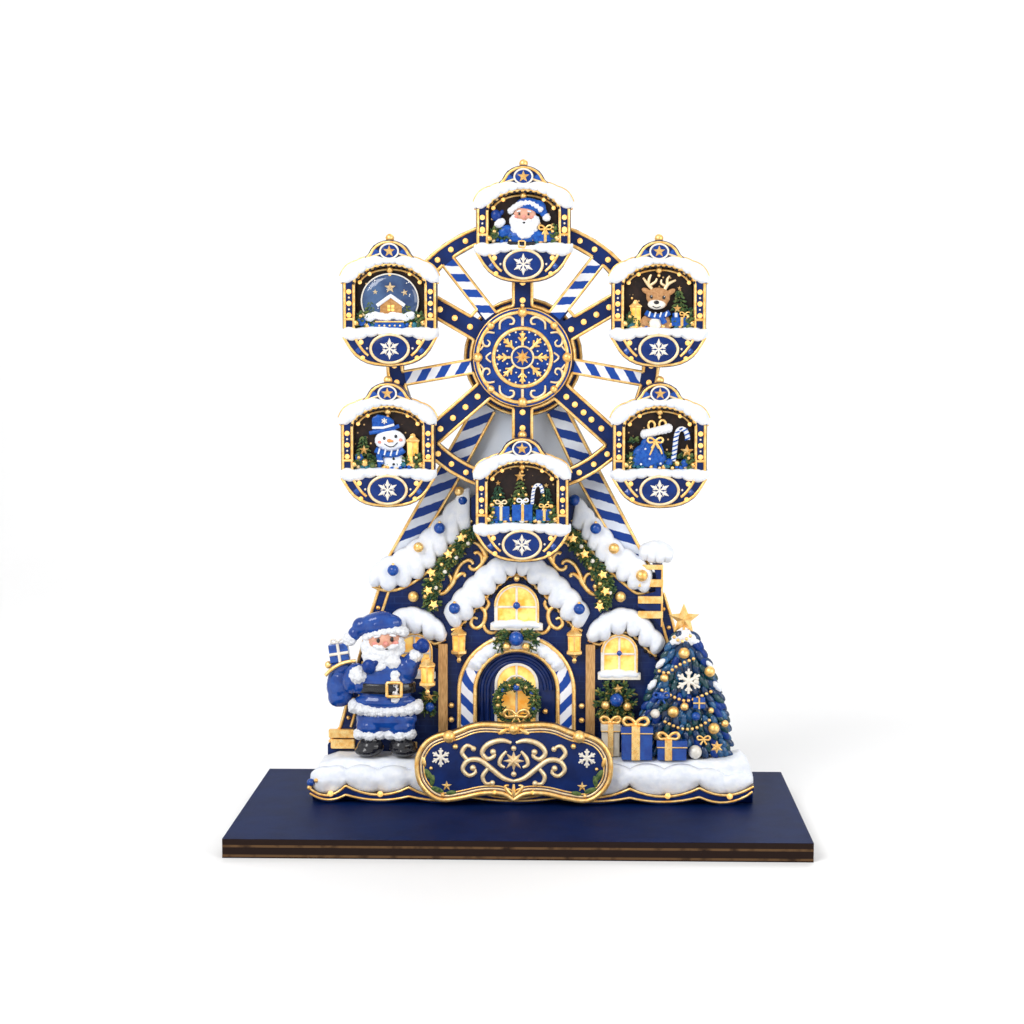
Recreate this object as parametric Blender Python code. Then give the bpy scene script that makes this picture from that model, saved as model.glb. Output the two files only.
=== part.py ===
"""Wooden ferris wheel decoration: a painted plywood Christmas scene with a wheel that is turned by hand.

Metres, +Z up. The front faces -Y. The origin is the middle of the base board's underside.
"""

import math

import bmesh
import bpy
from mathutils import Vector

# Base board and sheet stock
BASE_WIDTH = 0.182
BASE_DEPTH = 0.100
BASE_THICKNESS = 0.006
PLY = 0.003
GAP = 0.0003

# Layers, as distances behind the base board's middle line
TOWER_FRONT = 0.019
WHEEL_FRONT = 0.009
PLINTH_FRONT = -0.002
SIGN_THICKNESS = 0.003
SNOW_BANK_FRONT = 0.0013

# Places that the front view is built round
HUB_X = 0.0003
HUB_HEIGHT = 0.1533
HOUSE_X = -0.0018
SIGN_X = -0.0022
SNOW_TOP = 0.020

# Wheel
RIM_OUTER_RADIUS = 0.0453
RIM_WIDTH = 0.0058
WHEEL_HUB_RADIUS = 0.0155
NAVY_SPOKE_WIDTH = 0.0070
CANDY_SPOKE_WIDTH = 0.0052
SPOKE_CROTCH = 0.0008
EAR_RADIUS = 0.0042
MEDALLION_RADIUS = 0.0162
MEDALLION_THICKNESS = 0.0030
MEDALLION_BALL_RADIUS = 0.0016
REAR_DISC_RADIUS = 0.0198

# Axle and pins
AXLE_RADIUS = 0.0015
AXLE_HEAD_RADIUS = 0.0030
AXLE_HEAD_THICKNESS = 0.0012
NUT_RADIUS = 0.0032
NUT_THICKNESS = 0.0024
SPACER_RADIUS = 0.0045
PIN_RADIUS = 0.0010
PIN_HEAD_RADIUS = 0.0020
PIN_HEAD_THICKNESS = 0.0005
COLLAR_THICKNESS = 0.0008

# Gondolas: heights are measured from the middle of the oval medallion
GONDOLA_DEPTH = 0.0054
GONDOLA_BACK_THICKNESS = 0.0020
GONDOLA_HALF_WIDTH = 0.0154
GONDOLA_EAVES_HEIGHT = 0.0215
GONDOLA_KEEL_DEPTH = 0.0059
NICHE_HALF_WIDTH = 0.0112
NICHE_FLOOR = 0.0056
NICHE_ARCH_RISE = 0.0062
NICHE_CROWN_MARGIN = 0.0005
CARD_THICKNESS = 0.0008
OVAL_HALF_WIDTH = 0.0066
OVAL_HALF_HEIGHT = 0.0049
FINIAL_RADIUS = 0.0015

# Stand details
DISC_TO_LEG_GAP = 0.0004
TAB_WIDTH = 0.024
TAB_SPREAD = 0.034
POST_WIDTH = 0.0031
POST_TOP = 0.0570
POST_OFFSET = 0.0248
WINDOW_DEPTH = 0.0020
GABLE_WINDOW_HALF_WIDTH = 0.0075
WING_WINDOW_HALF_WIDTH = 0.0062
WING_WINDOW_OFFSET = 0.0345
DOOR_ARCH_RADIUS = 0.0200
DOOR_HALF_WIDTH = 0.0130
DOOR_SPRING_HEIGHT = 0.0415
DOOR_ARCH_DEPTH = 0.0038
DOOR_DEPTH = 0.0020
WREATH_RADIUS = 0.0057
WREATH_THICKNESS = 0.0019
LANTERN_HALF_WIDTH = 0.0029
LANTERN_HEIGHT = 0.0128
WALL_LANTERN_OFFSET = 0.0194
WALL_LANTERN_FOOT = 0.0505
TREE_X = 0.0543
TREE_Y = 0.0094
TREE_FLATNESS = 0.24

# Each gondola: its node's ending, the angle of its pin, how far the pin lies outside the rim, how far
# its oval hangs below the pin, and how much shorter its posts are than the others'
GONDOLAS = (
    ("top", 89.54, 0.0048, 0.0199, 0.0034),
    ("upper_left", 152.18, 0.00355, 0.0199, 0.0),
    ("upper_right", 26.98, 0.00452, 0.0199, 0.0),
    ("lower_left", 207.95, 0.00462, 0.0199, 0.0),
    ("lower_right", 332.53, 0.00542, 0.0199, 0.0),
    ("bottom", 270.0, -0.002, 0.018, 0.0),
)
NAVY_SPOKE_ANGLES = (30, 90, 150, 221, 270, 318)
CANDY_SPOKE_ANGLES = (52, 128, 190, 350)

# Derived layers
wheel_back = WHEEL_FRONT + PLY
face_front = TOWER_FRONT - GAP - PLY
face_back = TOWER_FRONT - GAP
relief_back = face_front - GAP
tower_back = TOWER_FRONT + PLY
board_top = BASE_THICKNESS
standing = board_top + GAP
on_snow = SNOW_TOP + GAP
plinth_back = PLINTH_FRONT + PLY
sign_back = PLINTH_FRONT - GAP
sign_front = sign_back - SIGN_THICKNESS
gondola_back = -COLLAR_THICKNESS - 2 * GAP
gondola_front = gondola_back - GONDOLA_DEPTH
niche_back = gondola_back - GONDOLA_BACK_THICKNESS
medallion_back = -GAP
medallion_front = medallion_back - MEDALLION_THICKNESS

# Finishes: colour, roughness, metallic
FINISHES = {
    "navy": ((0.010, 0.028, 0.150), 0.30, 0.0),
    "gold": ((0.780, 0.520, 0.200), 0.32, 0.9),
    "snow": ((0.900, 0.910, 0.930), 0.60, 0.0),
    "pale": ((0.560, 0.620, 0.720), 0.45, 0.0),
    "ply": ((0.560, 0.380, 0.220), 0.60, 0.0),
    "stripe": ((0.100, 0.200, 0.600), 0.35, 0.0),
    "window": ((0.950, 0.680, 0.260), 0.35, 0.0),
    "green": ((0.060, 0.140, 0.080), 0.60, 0.0),
    "wood": ((0.420, 0.230, 0.100), 0.55, 0.0),
    "steel": ((0.620, 0.620, 0.640), 0.30, 1.0),
    "blue": ((0.020, 0.080, 0.420), 0.25, 0.0),
    "teal": ((0.020, 0.110, 0.200), 0.30, 0.0),
    "skin": ((0.800, 0.480, 0.340), 0.50, 0.0),
}


def clear_scene():
    for old in list(bpy.data.objects):
        bpy.data.objects.remove(old)


def paint(body, finish):
    colour, roughness, metallic = FINISHES[finish]
    coat = bpy.data.materials.new(body.name + "_" + finish)
    coat.use_nodes = True
    shader = coat.node_tree.nodes["Principled BSDF"]
    shader.inputs["Base Color"].default_value = (*colour, 1.0)
    shader.inputs["Roughness"].default_value = roughness
    shader.inputs["Metallic"].default_value = metallic
    coat.diffuse_color = (*colour, 1.0)
    body.data.materials.append(coat)


def new_object(name, shape):
    mesh = bpy.data.meshes.new(name)
    bmesh.ops.recalc_face_normals(shape, faces=shape.faces)
    shape.to_mesh(mesh)
    shape.free()
    body = bpy.data.objects.new(name, mesh)
    return body


def solid(name, shape, finish, place=(0.0, 0.0, 0.0), parent=None):
    body = new_object(name, shape)
    bpy.context.scene.collection.objects.link(body)
    body.location = place
    body.parent = parent
    paint(body, finish)
    return body


def helpers(body, kind, shapes):
    """A hidden collection of shapes that a Boolean adds to the body or cuts from it."""
    group = bpy.data.collections.new(body.name + "_" + kind)
    bpy.context.scene.collection.children.link(group)
    group.hide_render = True
    for index, shape in enumerate(shapes):
        helper = new_object(f"{body.name}_{kind}_{index}", shape)
        group.objects.link(helper)
        helper.parent = body
        helper.hide_render = True
        helper.display_type = "WIRE"
    return group


def fused(name, shapes, finish, cuts=(), place=(0.0, 0.0, 0.0), parent=None):
    """One solid made of overlapping shapes, less the cuts."""
    body = solid(name, shapes[0], finish, place, parent)
    steps = [("added", "UNION", shapes[1:]), ("cut", "DIFFERENCE", cuts)]
    for kind, operation, others in steps:
        if others:
            step = body.modifiers.new(kind, "BOOLEAN")
            step.operation = operation
            step.solver = "EXACT"
            step.operand_type = "COLLECTION"
            step.collection = helpers(body, kind, others)
    return body


def arc(centre_x, centre_z, radius_x, radius_z, start, end, steps):
    """Points along an elliptic arc in the front view, angles in degrees from +X towards +Z."""
    points = []
    for step in range(steps + 1):
        angle = math.radians(start + (end - start) * step / steps)
        points.append((centre_x + radius_x * math.cos(angle), centre_z + radius_z * math.sin(angle)))
    return points


def scallops(cusps, bulge, steps=3):
    """An edge of round lumps: each pair of cusps is joined by an arc that bulges to its right."""
    points = []
    for (x0, z0), (x1, z1) in zip(cusps, cusps[1:]):
        for step in range(steps):
            share = step / steps
            out = 4 * bulge * share * (1 - share)
            x = x0 + (x1 - x0) * share + (z1 - z0) * out
            z = z0 + (z1 - z0) * share - (x1 - x0) * out
            points.append((x, z))
    points.append(cusps[-1])
    return points


def mirrored(points, middle=0.0):
    return [(2 * middle - x, z) for x, z in points]


def both_sides(half, middle=0.0):
    """A closed outline from its right half, which runs from the bottom middle to the top middle."""
    left = [point for point in reversed(mirrored(half, middle)) if abs(point[0] - middle) > 1e-6]
    return list(half) + left


def plate(outline, front, back, holes=()):
    """A flat sheet with this outline in the front view."""
    shape = bmesh.new()
    edges = []
    for loop in [outline, *holes]:
        corners = [shape.verts.new((x, front, z)) for x, z in loop]
        edges += [shape.edges.new((a, b)) for a, b in zip(corners, corners[1:] + corners[:1])]
    bmesh.ops.triangle_fill(shape, edges=edges, use_beauty=True)
    grown = bmesh.ops.extrude_face_region(shape, geom=shape.faces[:])
    moved = [item for item in grown["geom"] if isinstance(item, bmesh.types.BMVert)]
    bmesh.ops.translate(shape, verts=moved, vec=(0.0, back - front, 0.0))
    return shape


def rings(loops):
    """A closed solid through loops of equal length, capped at both ends."""
    shape = bmesh.new()
    rows = [[shape.verts.new(point) for point in loop] for loop in loops]
    for row, following in zip(rows, rows[1:]):
        count = len(row)
        for index in range(count):
            after = (index + 1) % count
            shape.faces.new((row[index], row[after], following[after], following[index]))
    shape.faces.new(rows[0])
    shape.faces.new(rows[-1])
    bmesh.ops.triangulate(shape, faces=shape.faces[:])
    return shape


def snow_strip(lower, upper, start_front, end_front, back):
    """A band of snow between two edges, flat behind and rounded in front."""
    profile = ((0.0, 0.0), (0.0, 0.45), (0.22, 0.88), (0.5, 1.0), (0.78, 0.88), (1.0, 0.45), (1.0, 0.0))
    loops = []
    for index, ((x0, z0), (x1, z1)) in enumerate(zip(lower, upper)):
        front = start_front + (end_front - start_front) * index / (len(lower) - 1)
        loop = []
        for across, out in profile:
            loop.append((x0 + (x1 - x0) * across, back + (front - back) * out, z0 + (z1 - z0) * across))
        loops.append(loop)
    return rings(loops)


def lathe(profile, centre, axis="Y", segments=24, squash=1.0):
    """A turned solid. The profile lists (radius, position along the axis), from one end to the other."""
    shape = bmesh.new()
    rows = []
    for radius, along in profile:
        row = []
        for index in range(segments if radius > 0 else 1):
            angle = 2 * math.pi * index / segments
            across, up = radius * math.cos(angle), radius * math.sin(angle)
            offset = (across, along, up) if axis == "Y" else (across, up * squash, along)
            row.append(shape.verts.new(Vector(centre) + Vector(offset)))
        rows.append(row)
    for row, following in zip(rows, rows[1:]):
        for index in range(segments):
            after = (index + 1) % segments
            ring = [row[index % len(row)], row[after % len(row)], following[after % len(following)]]
            ring.append(following[index % len(following)])
            shape.faces.new(list(dict.fromkeys(ring)))
    for row in (rows[0], rows[-1]):
        if len(row) > 1:
            shape.faces.new(row)
    bmesh.ops.triangulate(shape, faces=shape.faces[:])
    return shape


def blob(x, y, z, half_x, half_y, half_z, segments=9, rows=5):
    """An ellipsoid of a cast figure."""
    shape = bmesh.new()
    bmesh.ops.create_uvsphere(shape, u_segments=segments, v_segments=rows, radius=1.0)
    bmesh.ops.triangulate(shape, faces=shape.faces[:])
    for corner in shape.verts:
        corner.co = (x + corner.co.x * half_x, y + corner.co.y * half_y, z + corner.co.z * half_z)
    return shape


def block(x0, x1, y0, y1, z0, z1):
    return plate([(x0, z0), (x1, z0), (x1, z1), (x0, z1)], y0, y1)


def circle(x, z, radius, steps=24):
    return arc(x, z, radius, radius, 0, 360, steps)[:-1]


def arch(half_width, foot, spring, rise, middle=0.0, steps=10):
    """An outline with straight sides and a round top."""
    return [(middle - half_width, foot), (middle + half_width, foot)] + arc(
        middle, spring, half_width, rise, 0, 180, steps
    )


def turned(points, angle):
    """Points given as (along, across) of a line that leaves the hub at this angle."""
    c, s = math.cos(angle), math.sin(angle)
    return [(along * c - across * s, along * s + across * c) for along, across in points]


# The stand: base board, tower, legs and house front
def base_board():
    slots = []
    for side in (-1, 1):
        x = side * TAB_SPREAD
        half = TAB_WIDTH / 2 + GAP
        front, back = TOWER_FRONT - GAP, tower_back + GAP
        slots.append(block(x - half, x + half, front, back, -GAP, BASE_THICKNESS + GAP))
    board = block(-BASE_WIDTH / 2, BASE_WIDTH / 2, -BASE_DEPTH / 2, BASE_DEPTH / 2, 0.0, BASE_THICKNESS)
    fused("base_board", [board], "navy", slots)


# The roof's edge right of the ridge, down to the eaves that the legs stand on
RIGHT_ROOF = [(0.0180, 0.1040), (0.0245, 0.0945), (0.0315, 0.0868), (0.0365, 0.0832), (0.0395, 0.0812)]
eaves_height = RIGHT_ROOF[-1][1]

# Outer edges of the A-frame, from the foot up to the hub disc. Places on the legs are (x, share of the
# way from the eaves to the hub)
LEFT_EDGE = [(-0.0660, 0.0220), (-0.0622, 0.0280), (-0.0608, 0.0330), (-0.0515, 0.0670), (-0.0475, 0.0795)]
LEFT_LEG_TOP = [(-0.0460, 0.0472), (-0.0280, 0.4896), (-0.0152, 0.81)]
RIGHT_EDGE = [(0.0655, 0.0220), (0.0622, 0.0280), (0.0600, 0.0330), (0.0504, 0.0669), (0.0470, 0.0750)]
RIGHT_LEG_TOP = [(0.0391, 0.1331), (0.0262, 0.4743), (0.0146, 0.7961)]


def on_leg(places):
    height = HUB_HEIGHT - eaves_height
    return [(x, eaves_height + share * height) for x, share in places]


def tower_panel():
    left, right = on_leg(LEFT_LEG_TOP), on_leg(RIGHT_LEG_TOP)
    start = math.degrees(math.atan2(right[-1][1] - HUB_HEIGHT, right[-1][0] - HUB_X))
    end = 360 + math.degrees(math.atan2(left[-1][1] - HUB_HEIGHT, left[-1][0] - HUB_X))
    radius = REAR_DISC_RADIUS - DISC_TO_LEG_GAP
    outline = [(RIGHT_EDGE[0][0], standing)] + RIGHT_EDGE + right[:-1]
    outline += arc(HUB_X, HUB_HEIGHT, radius, radius, start, end, 20)
    outline += list(reversed(LEFT_EDGE + left[:-1])) + [(LEFT_EDGE[0][0], standing)]
    for side in (-1, 1):
        x = side * TAB_SPREAD
        foot = GAP
        outline += [(x - TAB_WIDTH / 2, standing), (x - TAB_WIDTH / 2, foot)]
        outline += [(x + TAB_WIDTH / 2, foot), (x + TAB_WIDTH / 2, standing)]
    bore = circle(HUB_X, HUB_HEIGHT, AXLE_RADIUS + GAP, 12)
    solid("tower_panel", plate(outline, TOWER_FRONT, tower_back, [bore]), "pale")


def hub_edge(x, radius):
    """The height at which a circle round the hub crosses this x, on its lower side."""
    return HUB_HEIGHT - math.sqrt(radius**2 - (x - HUB_X) ** 2)


def legs():
    clear = REAR_DISC_RADIUS + DISC_TO_LEG_GAP
    left_top = [(x, hub_edge(x, clear)) for x in (-0.0146, -0.0118, -0.0090)]
    left = [(-0.0466, eaves_height), *on_leg(LEFT_LEG_TOP[:-1]), *left_top]
    left += on_leg([(-0.0210, 0.448), (-0.0320, 0.1914), (-0.0384, 0.0541)])
    solid("leg_left", plate(left, face_front, face_back), "stripe")
    right_top = [(x, hub_edge(x, clear)) for x in (0.0085, 0.0114, 0.0140)]
    right = on_leg([(0.0329, 0.0749), (0.0290, 0.1914), (0.0193, 0.4272)]) + right_top
    foot = eaves_height + 2 * GAP
    right += [*reversed(on_leg(RIGHT_LEG_TOP[:-1])), (0.0437, foot), (0.0402, foot)]
    solid("leg_right", plate(right, face_front, face_back), "stripe")


def rear_hub_disc():
    disc = circle(HUB_X, HUB_HEIGHT, REAR_DISC_RADIUS, 32)
    bore = circle(HUB_X, HUB_HEIGHT, AXLE_RADIUS + GAP, 12)
    solid("rear_hub_disc", plate(disc, face_front, face_back, [bore]), "navy")


def house_front():
    left_roof = [(-0.0395, 0.0832), (-0.0350, 0.0870), (-0.0295, 0.0923), (-0.0240, 0.0985)]
    left_roof += [(-0.0180, 0.1055)]
    ridge = [(-0.0100, 0.1120), (0.0, 0.1145), (0.0100, 0.1110)]
    behind_chimney = [(0.0466, eaves_height), RIGHT_EDGE[-1]]
    outline = [(LEFT_EDGE[0][0], standing)] + LEFT_EDGE + left_roof + ridge + RIGHT_ROOF + behind_chimney
    outline += list(reversed(RIGHT_EDGE[:-1])) + [(RIGHT_EDGE[0][0], standing)]
    solid("house_front", plate(outline, face_front, face_back), "navy")


# Snow that lies on the roofs
def roof_snow():
    left_lower = [(-0.0516, 0.0784), (-0.0478, 0.0768), (-0.0420, 0.0768), (-0.0370, 0.0791)]
    left_lower += [(-0.0326, 0.0823), (-0.0288, 0.0863), (-0.0250, 0.0905), (-0.0210, 0.0948)]
    left_lower += [(-0.0175, 0.0995)]
    left_upper = [(-0.0512, 0.0815), (-0.0482, 0.0845), (-0.0435, 0.0868), (-0.0390, 0.0896)]
    left_upper += [(-0.0348, 0.0928), (-0.0308, 0.0965), (-0.0268, 0.1008), (-0.0225, 0.1060)]
    left_upper += [(-0.0175, 0.1100)]
    low, high = scallops(left_lower, 0.22), scallops(left_upper, -0.08)
    solid("roof_snow_left", snow_strip(low, high, 0.0106, 0.0140, relief_back), "snow")
    right_lower = [(0.0430, 0.0762), (0.0388, 0.0758), (0.0352, 0.0785), (0.0314, 0.0814), (0.0276, 0.0848)]
    right_lower += [(0.0245, 0.0884), (0.0221, 0.0920), (0.0199, 0.0953), (0.0172, 0.1000)]
    right_upper = [(0.0437, 0.0800), (0.0418, 0.0842), (0.0384, 0.0872), (0.0342, 0.0896), (0.0308, 0.0930)]
    right_upper += [(0.0274, 0.0968), (0.0245, 0.1002), (0.0220, 0.1034), (0.0180, 0.1070)]
    low, high = scallops(right_lower, -0.22), scallops(right_upper, 0.08)
    solid("roof_snow_right", snow_strip(low, high, 0.0106, 0.0140, relief_back), "snow")


def gable_snow():
    lower = [(0.0, 0.0818), (0.0034, 0.0806), (0.0070, 0.0774), (0.0108, 0.0738), (0.0147, 0.0692)]
    lower += [(0.0184, 0.0649), (0.0222, 0.0630)]
    upper = [(0.0, 0.0882), (0.0052, 0.0866), (0.0102, 0.0838), (0.0144, 0.0802), (0.0182, 0.0762)]
    upper += [(0.0220, 0.0718), (0.0246, 0.0676)]
    low, high = scallops(lower, 0.22), scallops(upper, -0.08)
    low = [(HOUSE_X + x, z) for x, z in list(reversed(mirrored(low)))[:-1] + low]
    high = [(HOUSE_X + x, z) for x, z in list(reversed(mirrored(high)))[:-1] + high]
    solid("gable_snow", snow_strip(low, high, 0.0108, 0.0108, relief_back), "snow")


def wing_snow():
    lower = [(0.0234, 0.0602), (0.0276, 0.0584), (0.0316, 0.0614), (0.0368, 0.0626), (0.0410, 0.0602)]
    lower += [(0.0446, 0.0562), (0.0480, 0.0542)]
    upper = [(0.0240, 0.0616), (0.0274, 0.0660), (0.0318, 0.0686), (0.0372, 0.0692), (0.0422, 0.0668)]
    upper += [(0.0464, 0.0624), (0.0500, 0.0576)]
    low, high = scallops(lower, 0.22), scallops(upper, -0.08)
    for side, name in ((1, "wing_snow_right"), (-1, "wing_snow_left")):
        near = [(HOUSE_X + side * x, z) for x, z in low]
        far = [(HOUSE_X + side * x, z) for x, z in high]
        solid(name, snow_strip(near, far, 0.0108, 0.0108, relief_back), "snow")


def chimney():
    outline = [(0.0388, 0.0702), (0.0412, 0.0690), (0.0448, 0.0652), (0.0469, 0.0630), (0.0469, 0.0846)]
    outline += [(0.0436, 0.0846), (0.0449, 0.0803), (0.0446, 0.0752), (0.0388, 0.0736)]
    solid("chimney", plate(outline, 0.0126, relief_back), "navy")
    lower = [(0.0392, 0.0884), (0.0432, 0.0855), (0.0470, 0.0855), (0.0502, 0.0862)]
    upper = [(0.0396, 0.0902), (0.0430, 0.0914), (0.0472, 0.0912), (0.0506, 0.0888)]
    low, high = scallops(lower, 0.10), scallops(upper, -0.10)
    solid("chimney_snow", snow_strip(low, high, 0.0112, 0.0112, relief_back), "snow")


# Windows, door and what hangs on the walls
def window(name, x, half_width, foot, spring, sill_overhang):
    front = relief_back - WINDOW_DEPTH
    frame = plate(arch(half_width, foot, spring, half_width, x), front, relief_back)
    sill_height = 0.0026
    wide = half_width + sill_overhang
    low, high = foot - sill_height / 2, foot + sill_height / 2
    sill = block(x - wide, x + wide, front - 0.0008, relief_back - 0.0002, low, high)
    fused(name, [frame, sill], "window")


def windows():
    window("gable_window", HOUSE_X, GABLE_WINDOW_HALF_WIDTH, 0.0632, 0.0700, 0.0013)
    window("wing_window_right", HOUSE_X + WING_WINDOW_OFFSET, WING_WINDOW_HALF_WIDTH, 0.0466, 0.0545, 0.0010)
    window("wing_window_left", HOUSE_X - WING_WINDOW_OFFSET, WING_WINDOW_HALF_WIDTH, 0.0466, 0.0545, 0.0010)


def door():
    outer = arch(DOOR_ARCH_RADIUS, on_snow, DOOR_SPRING_HEIGHT, DOOR_ARCH_RADIUS - 0.0005, HOUSE_X, 16)
    inner = arch(DOOR_HALF_WIDTH + GAP, on_snow, DOOR_SPRING_HEIGHT, DOOR_HALF_WIDTH + GAP, HOUSE_X, 12)
    band = outer[1:] + outer[:1] + inner[:1] + list(reversed(inner[2:])) + inner[1:2]
    solid("door_arch", plate(band, relief_back - DOOR_ARCH_DEPTH, relief_back), "stripe")
    leaf = arch(DOOR_HALF_WIDTH, on_snow, DOOR_SPRING_HEIGHT, DOOR_HALF_WIDTH, HOUSE_X, 12)
    solid("door", plate(leaf, relief_back - DOOR_DEPTH, relief_back), "navy")
    wreath_y = relief_back - DOOR_DEPTH - GAP - WREATH_THICKNESS
    ring = bmesh.new()
    sections = []
    for index in range(16):
        angle = 2 * math.pi * index / 16
        section = []
        for step in range(6):
            turn = 2 * math.pi * step / 6
            radius = WREATH_RADIUS + WREATH_THICKNESS * math.cos(turn)
            offset = (radius * math.cos(angle), WREATH_THICKNESS * math.sin(turn), radius * math.sin(angle))
            section.append(ring.verts.new(offset))
        sections.append(section)
    for index, section in enumerate(sections):
        following = sections[(index + 1) % 16]
        for step in range(6):
            after = (step + 1) % 6
            ring.faces.new((section[step], section[after], following[after], following[step]))
    bmesh.ops.triangulate(ring, faces=ring.faces[:])
    solid("door_wreath", ring, "green", (HOUSE_X, wreath_y, 0.0378))


def lantern(name, x, y, foot, flat_back):
    """A six-sided lantern with a cap, a glass and a drop below."""
    high = LANTERN_HEIGHT
    wide = LANTERN_HALF_WIDTH
    profile = [(0.0, 0.0), (0.0009, 0.0006), (0.0009, 0.0020), (0.55 * wide, 0.0030), (wide, 0.0036)]
    profile += [(wide, 0.0044), (0.68 * wide, 0.0046), (0.82 * wide, 0.74 * high), (wide, 0.76 * high)]
    profile.append((wide, 0.80 * high))
    profile += [(0.45 * wide, 0.90 * high), (0.0009, 0.93 * high), (0.0009, 0.98 * high), (0.0, high)]
    body = lathe(profile, (0.0, 0.0, 0.0), "Z", 8)
    cuts = [block(-2 * wide, 2 * wide, flat_back, 2 * wide, -wide, high + wide)] if flat_back else []
    fused(name, [body], "gold", cuts, (x, y, foot))


def lanterns():
    depth = 0.0014
    for side, name in ((-1, "wall_lantern_left"), (1, "wall_lantern_right")):
        lantern(name, HOUSE_X + side * WALL_LANTERN_OFFSET, relief_back - depth, WALL_LANTERN_FOOT, depth)
    lantern("hand_lantern", -0.0310, 0.0022, 0.0417, 0.0)


def posts():
    for side, name in ((-1, "wall_post_left"), (1, "wall_post_right")):
        x = HOUSE_X + side * POST_OFFSET
        half = POST_WIDTH / 2
        shape = block(x - half, x + half, relief_back - 0.0020, relief_back, on_snow, POST_TOP)
        solid(name, shape, "wood")


def greenery():
    back = relief_back
    left = [(-0.0150, 0.0950), (-0.0192, 0.0902), (-0.0228, 0.0860), (-0.0262, 0.0816), (-0.0290, 0.0770)]
    left += [(-0.0300, 0.0730), (-0.0292, 0.0700)]
    right = [(0.0150, 0.0946), (0.0178, 0.0900), (0.0204, 0.0866), (0.0238, 0.0826), (0.0266, 0.0782)]
    right += [(0.0272, 0.0740), (0.0262, 0.0706)]
    half = 0.0021
    for name, line, side in (("garland_left", left, -1), ("garland_right", right, 1)):
        near, far = [], []
        for index, (x, z) in enumerate(line):
            before, after = line[max(index - 1, 0)], line[min(index + 1, len(line) - 1)]
            along = Vector((after[0] - before[0], after[1] - before[1])).normalized()
            near.append((x - along.y * half * side, z + along.x * half * side))
            far.append((x + along.y * half * side, z - along.x * half * side))
        solid(name, snow_strip(near, far, 0.0142, 0.0122, back), "green")
    cluster = lathe([(0.0, -0.0028), (0.0040, -0.0022), (0.0066, 0.0)], (0.0314, back, 0.0376), "Y", 12)
    solid("wing_greenery", cluster, "green")


# What stands in front of the house
def plinth():
    cusps = [-0.0700, -0.0580, -0.0370, -0.0165, 0.0120, 0.0360, 0.0590, 0.0768]
    tops = [0.0112, 0.0122, 0.0118, 0.0112, 0.0112, 0.0118, 0.0122, 0.0130]
    feet = [0.0090, 0.0086, 0.0082, 0.0080, 0.0080, 0.0082, 0.0086, 0.0106]
    lower = []
    upper = []
    for index in range(len(cusps) - 1):
        for step in range(5):
            share = step / 5
            sag = 4 * share * (1 - share)
            x = cusps[index] + (cusps[index + 1] - cusps[index]) * share
            foot = feet[index] + (feet[index + 1] - feet[index]) * share
            top = tops[index] + (tops[index + 1] - tops[index]) * share
            middle_foot = (feet[index] + feet[index + 1]) / 2
            lower.append((x, foot - sag * (middle_foot - standing)))
            upper.append((x, top - sag * 0.0028))
    lower.append((cusps[-1], feet[-1]))
    upper.append((cusps[-1], tops[-1]))
    solid("plinth", plate(lower + list(reversed(upper)), PLINTH_FRONT, plinth_back), "navy")


def snow_bank():
    stations = (
        (-0.0695, 0.0140), (-0.0670, 0.0182), (-0.0620, 0.0200), (-0.0540, SNOW_TOP), (-0.0450, SNOW_TOP),
        (-0.0360, SNOW_TOP), (-0.0200, 0.0150), (0.0160, 0.0150), (0.0290, SNOW_TOP), (0.0400, SNOW_TOP),
        (0.0500, SNOW_TOP), (0.0600, SNOW_TOP), (0.0680, 0.0203), (0.0730, 0.0214), (0.0756, 0.0192),
        (0.0770, 0.0150),
    )
    back = relief_back
    loops = []
    for x, top in stations:
        round_over = 0.0026
        loops.append(
            [
                (x, SNOW_BANK_FRONT, standing),
                (x, SNOW_BANK_FRONT, top - round_over),
                (x, SNOW_BANK_FRONT + 0.3 * round_over, top - 0.3 * round_over),
                (x, SNOW_BANK_FRONT + round_over, top),
                (x, back, top),
                (x, back, standing),
            ]
        )
    solid("snow_bank", rings(loops), "snow")


def sign_plaque():
    half = [(0.0, 0.0076), (0.0030, 0.0093), (0.0060, 0.0099), (0.0110, 0.0096), (0.0170, 0.0082)]
    half += [(0.0235, 0.0074), (0.0280, 0.0093), (0.0315, 0.0135), (0.0326, 0.0185), (0.0320, 0.0235)]
    half += [(0.0290, 0.0280), (0.0245, 0.0304), (0.0202, 0.0310), (0.0180, 0.0318), (0.0140, 0.0334)]
    half += [(0.0090, 0.0341), (0.0, 0.0336)]
    outline = both_sides([(SIGN_X + x, z) for x, z in half], SIGN_X)
    solid("sign_plaque", plate(outline, sign_front, sign_back), "navy")


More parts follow.
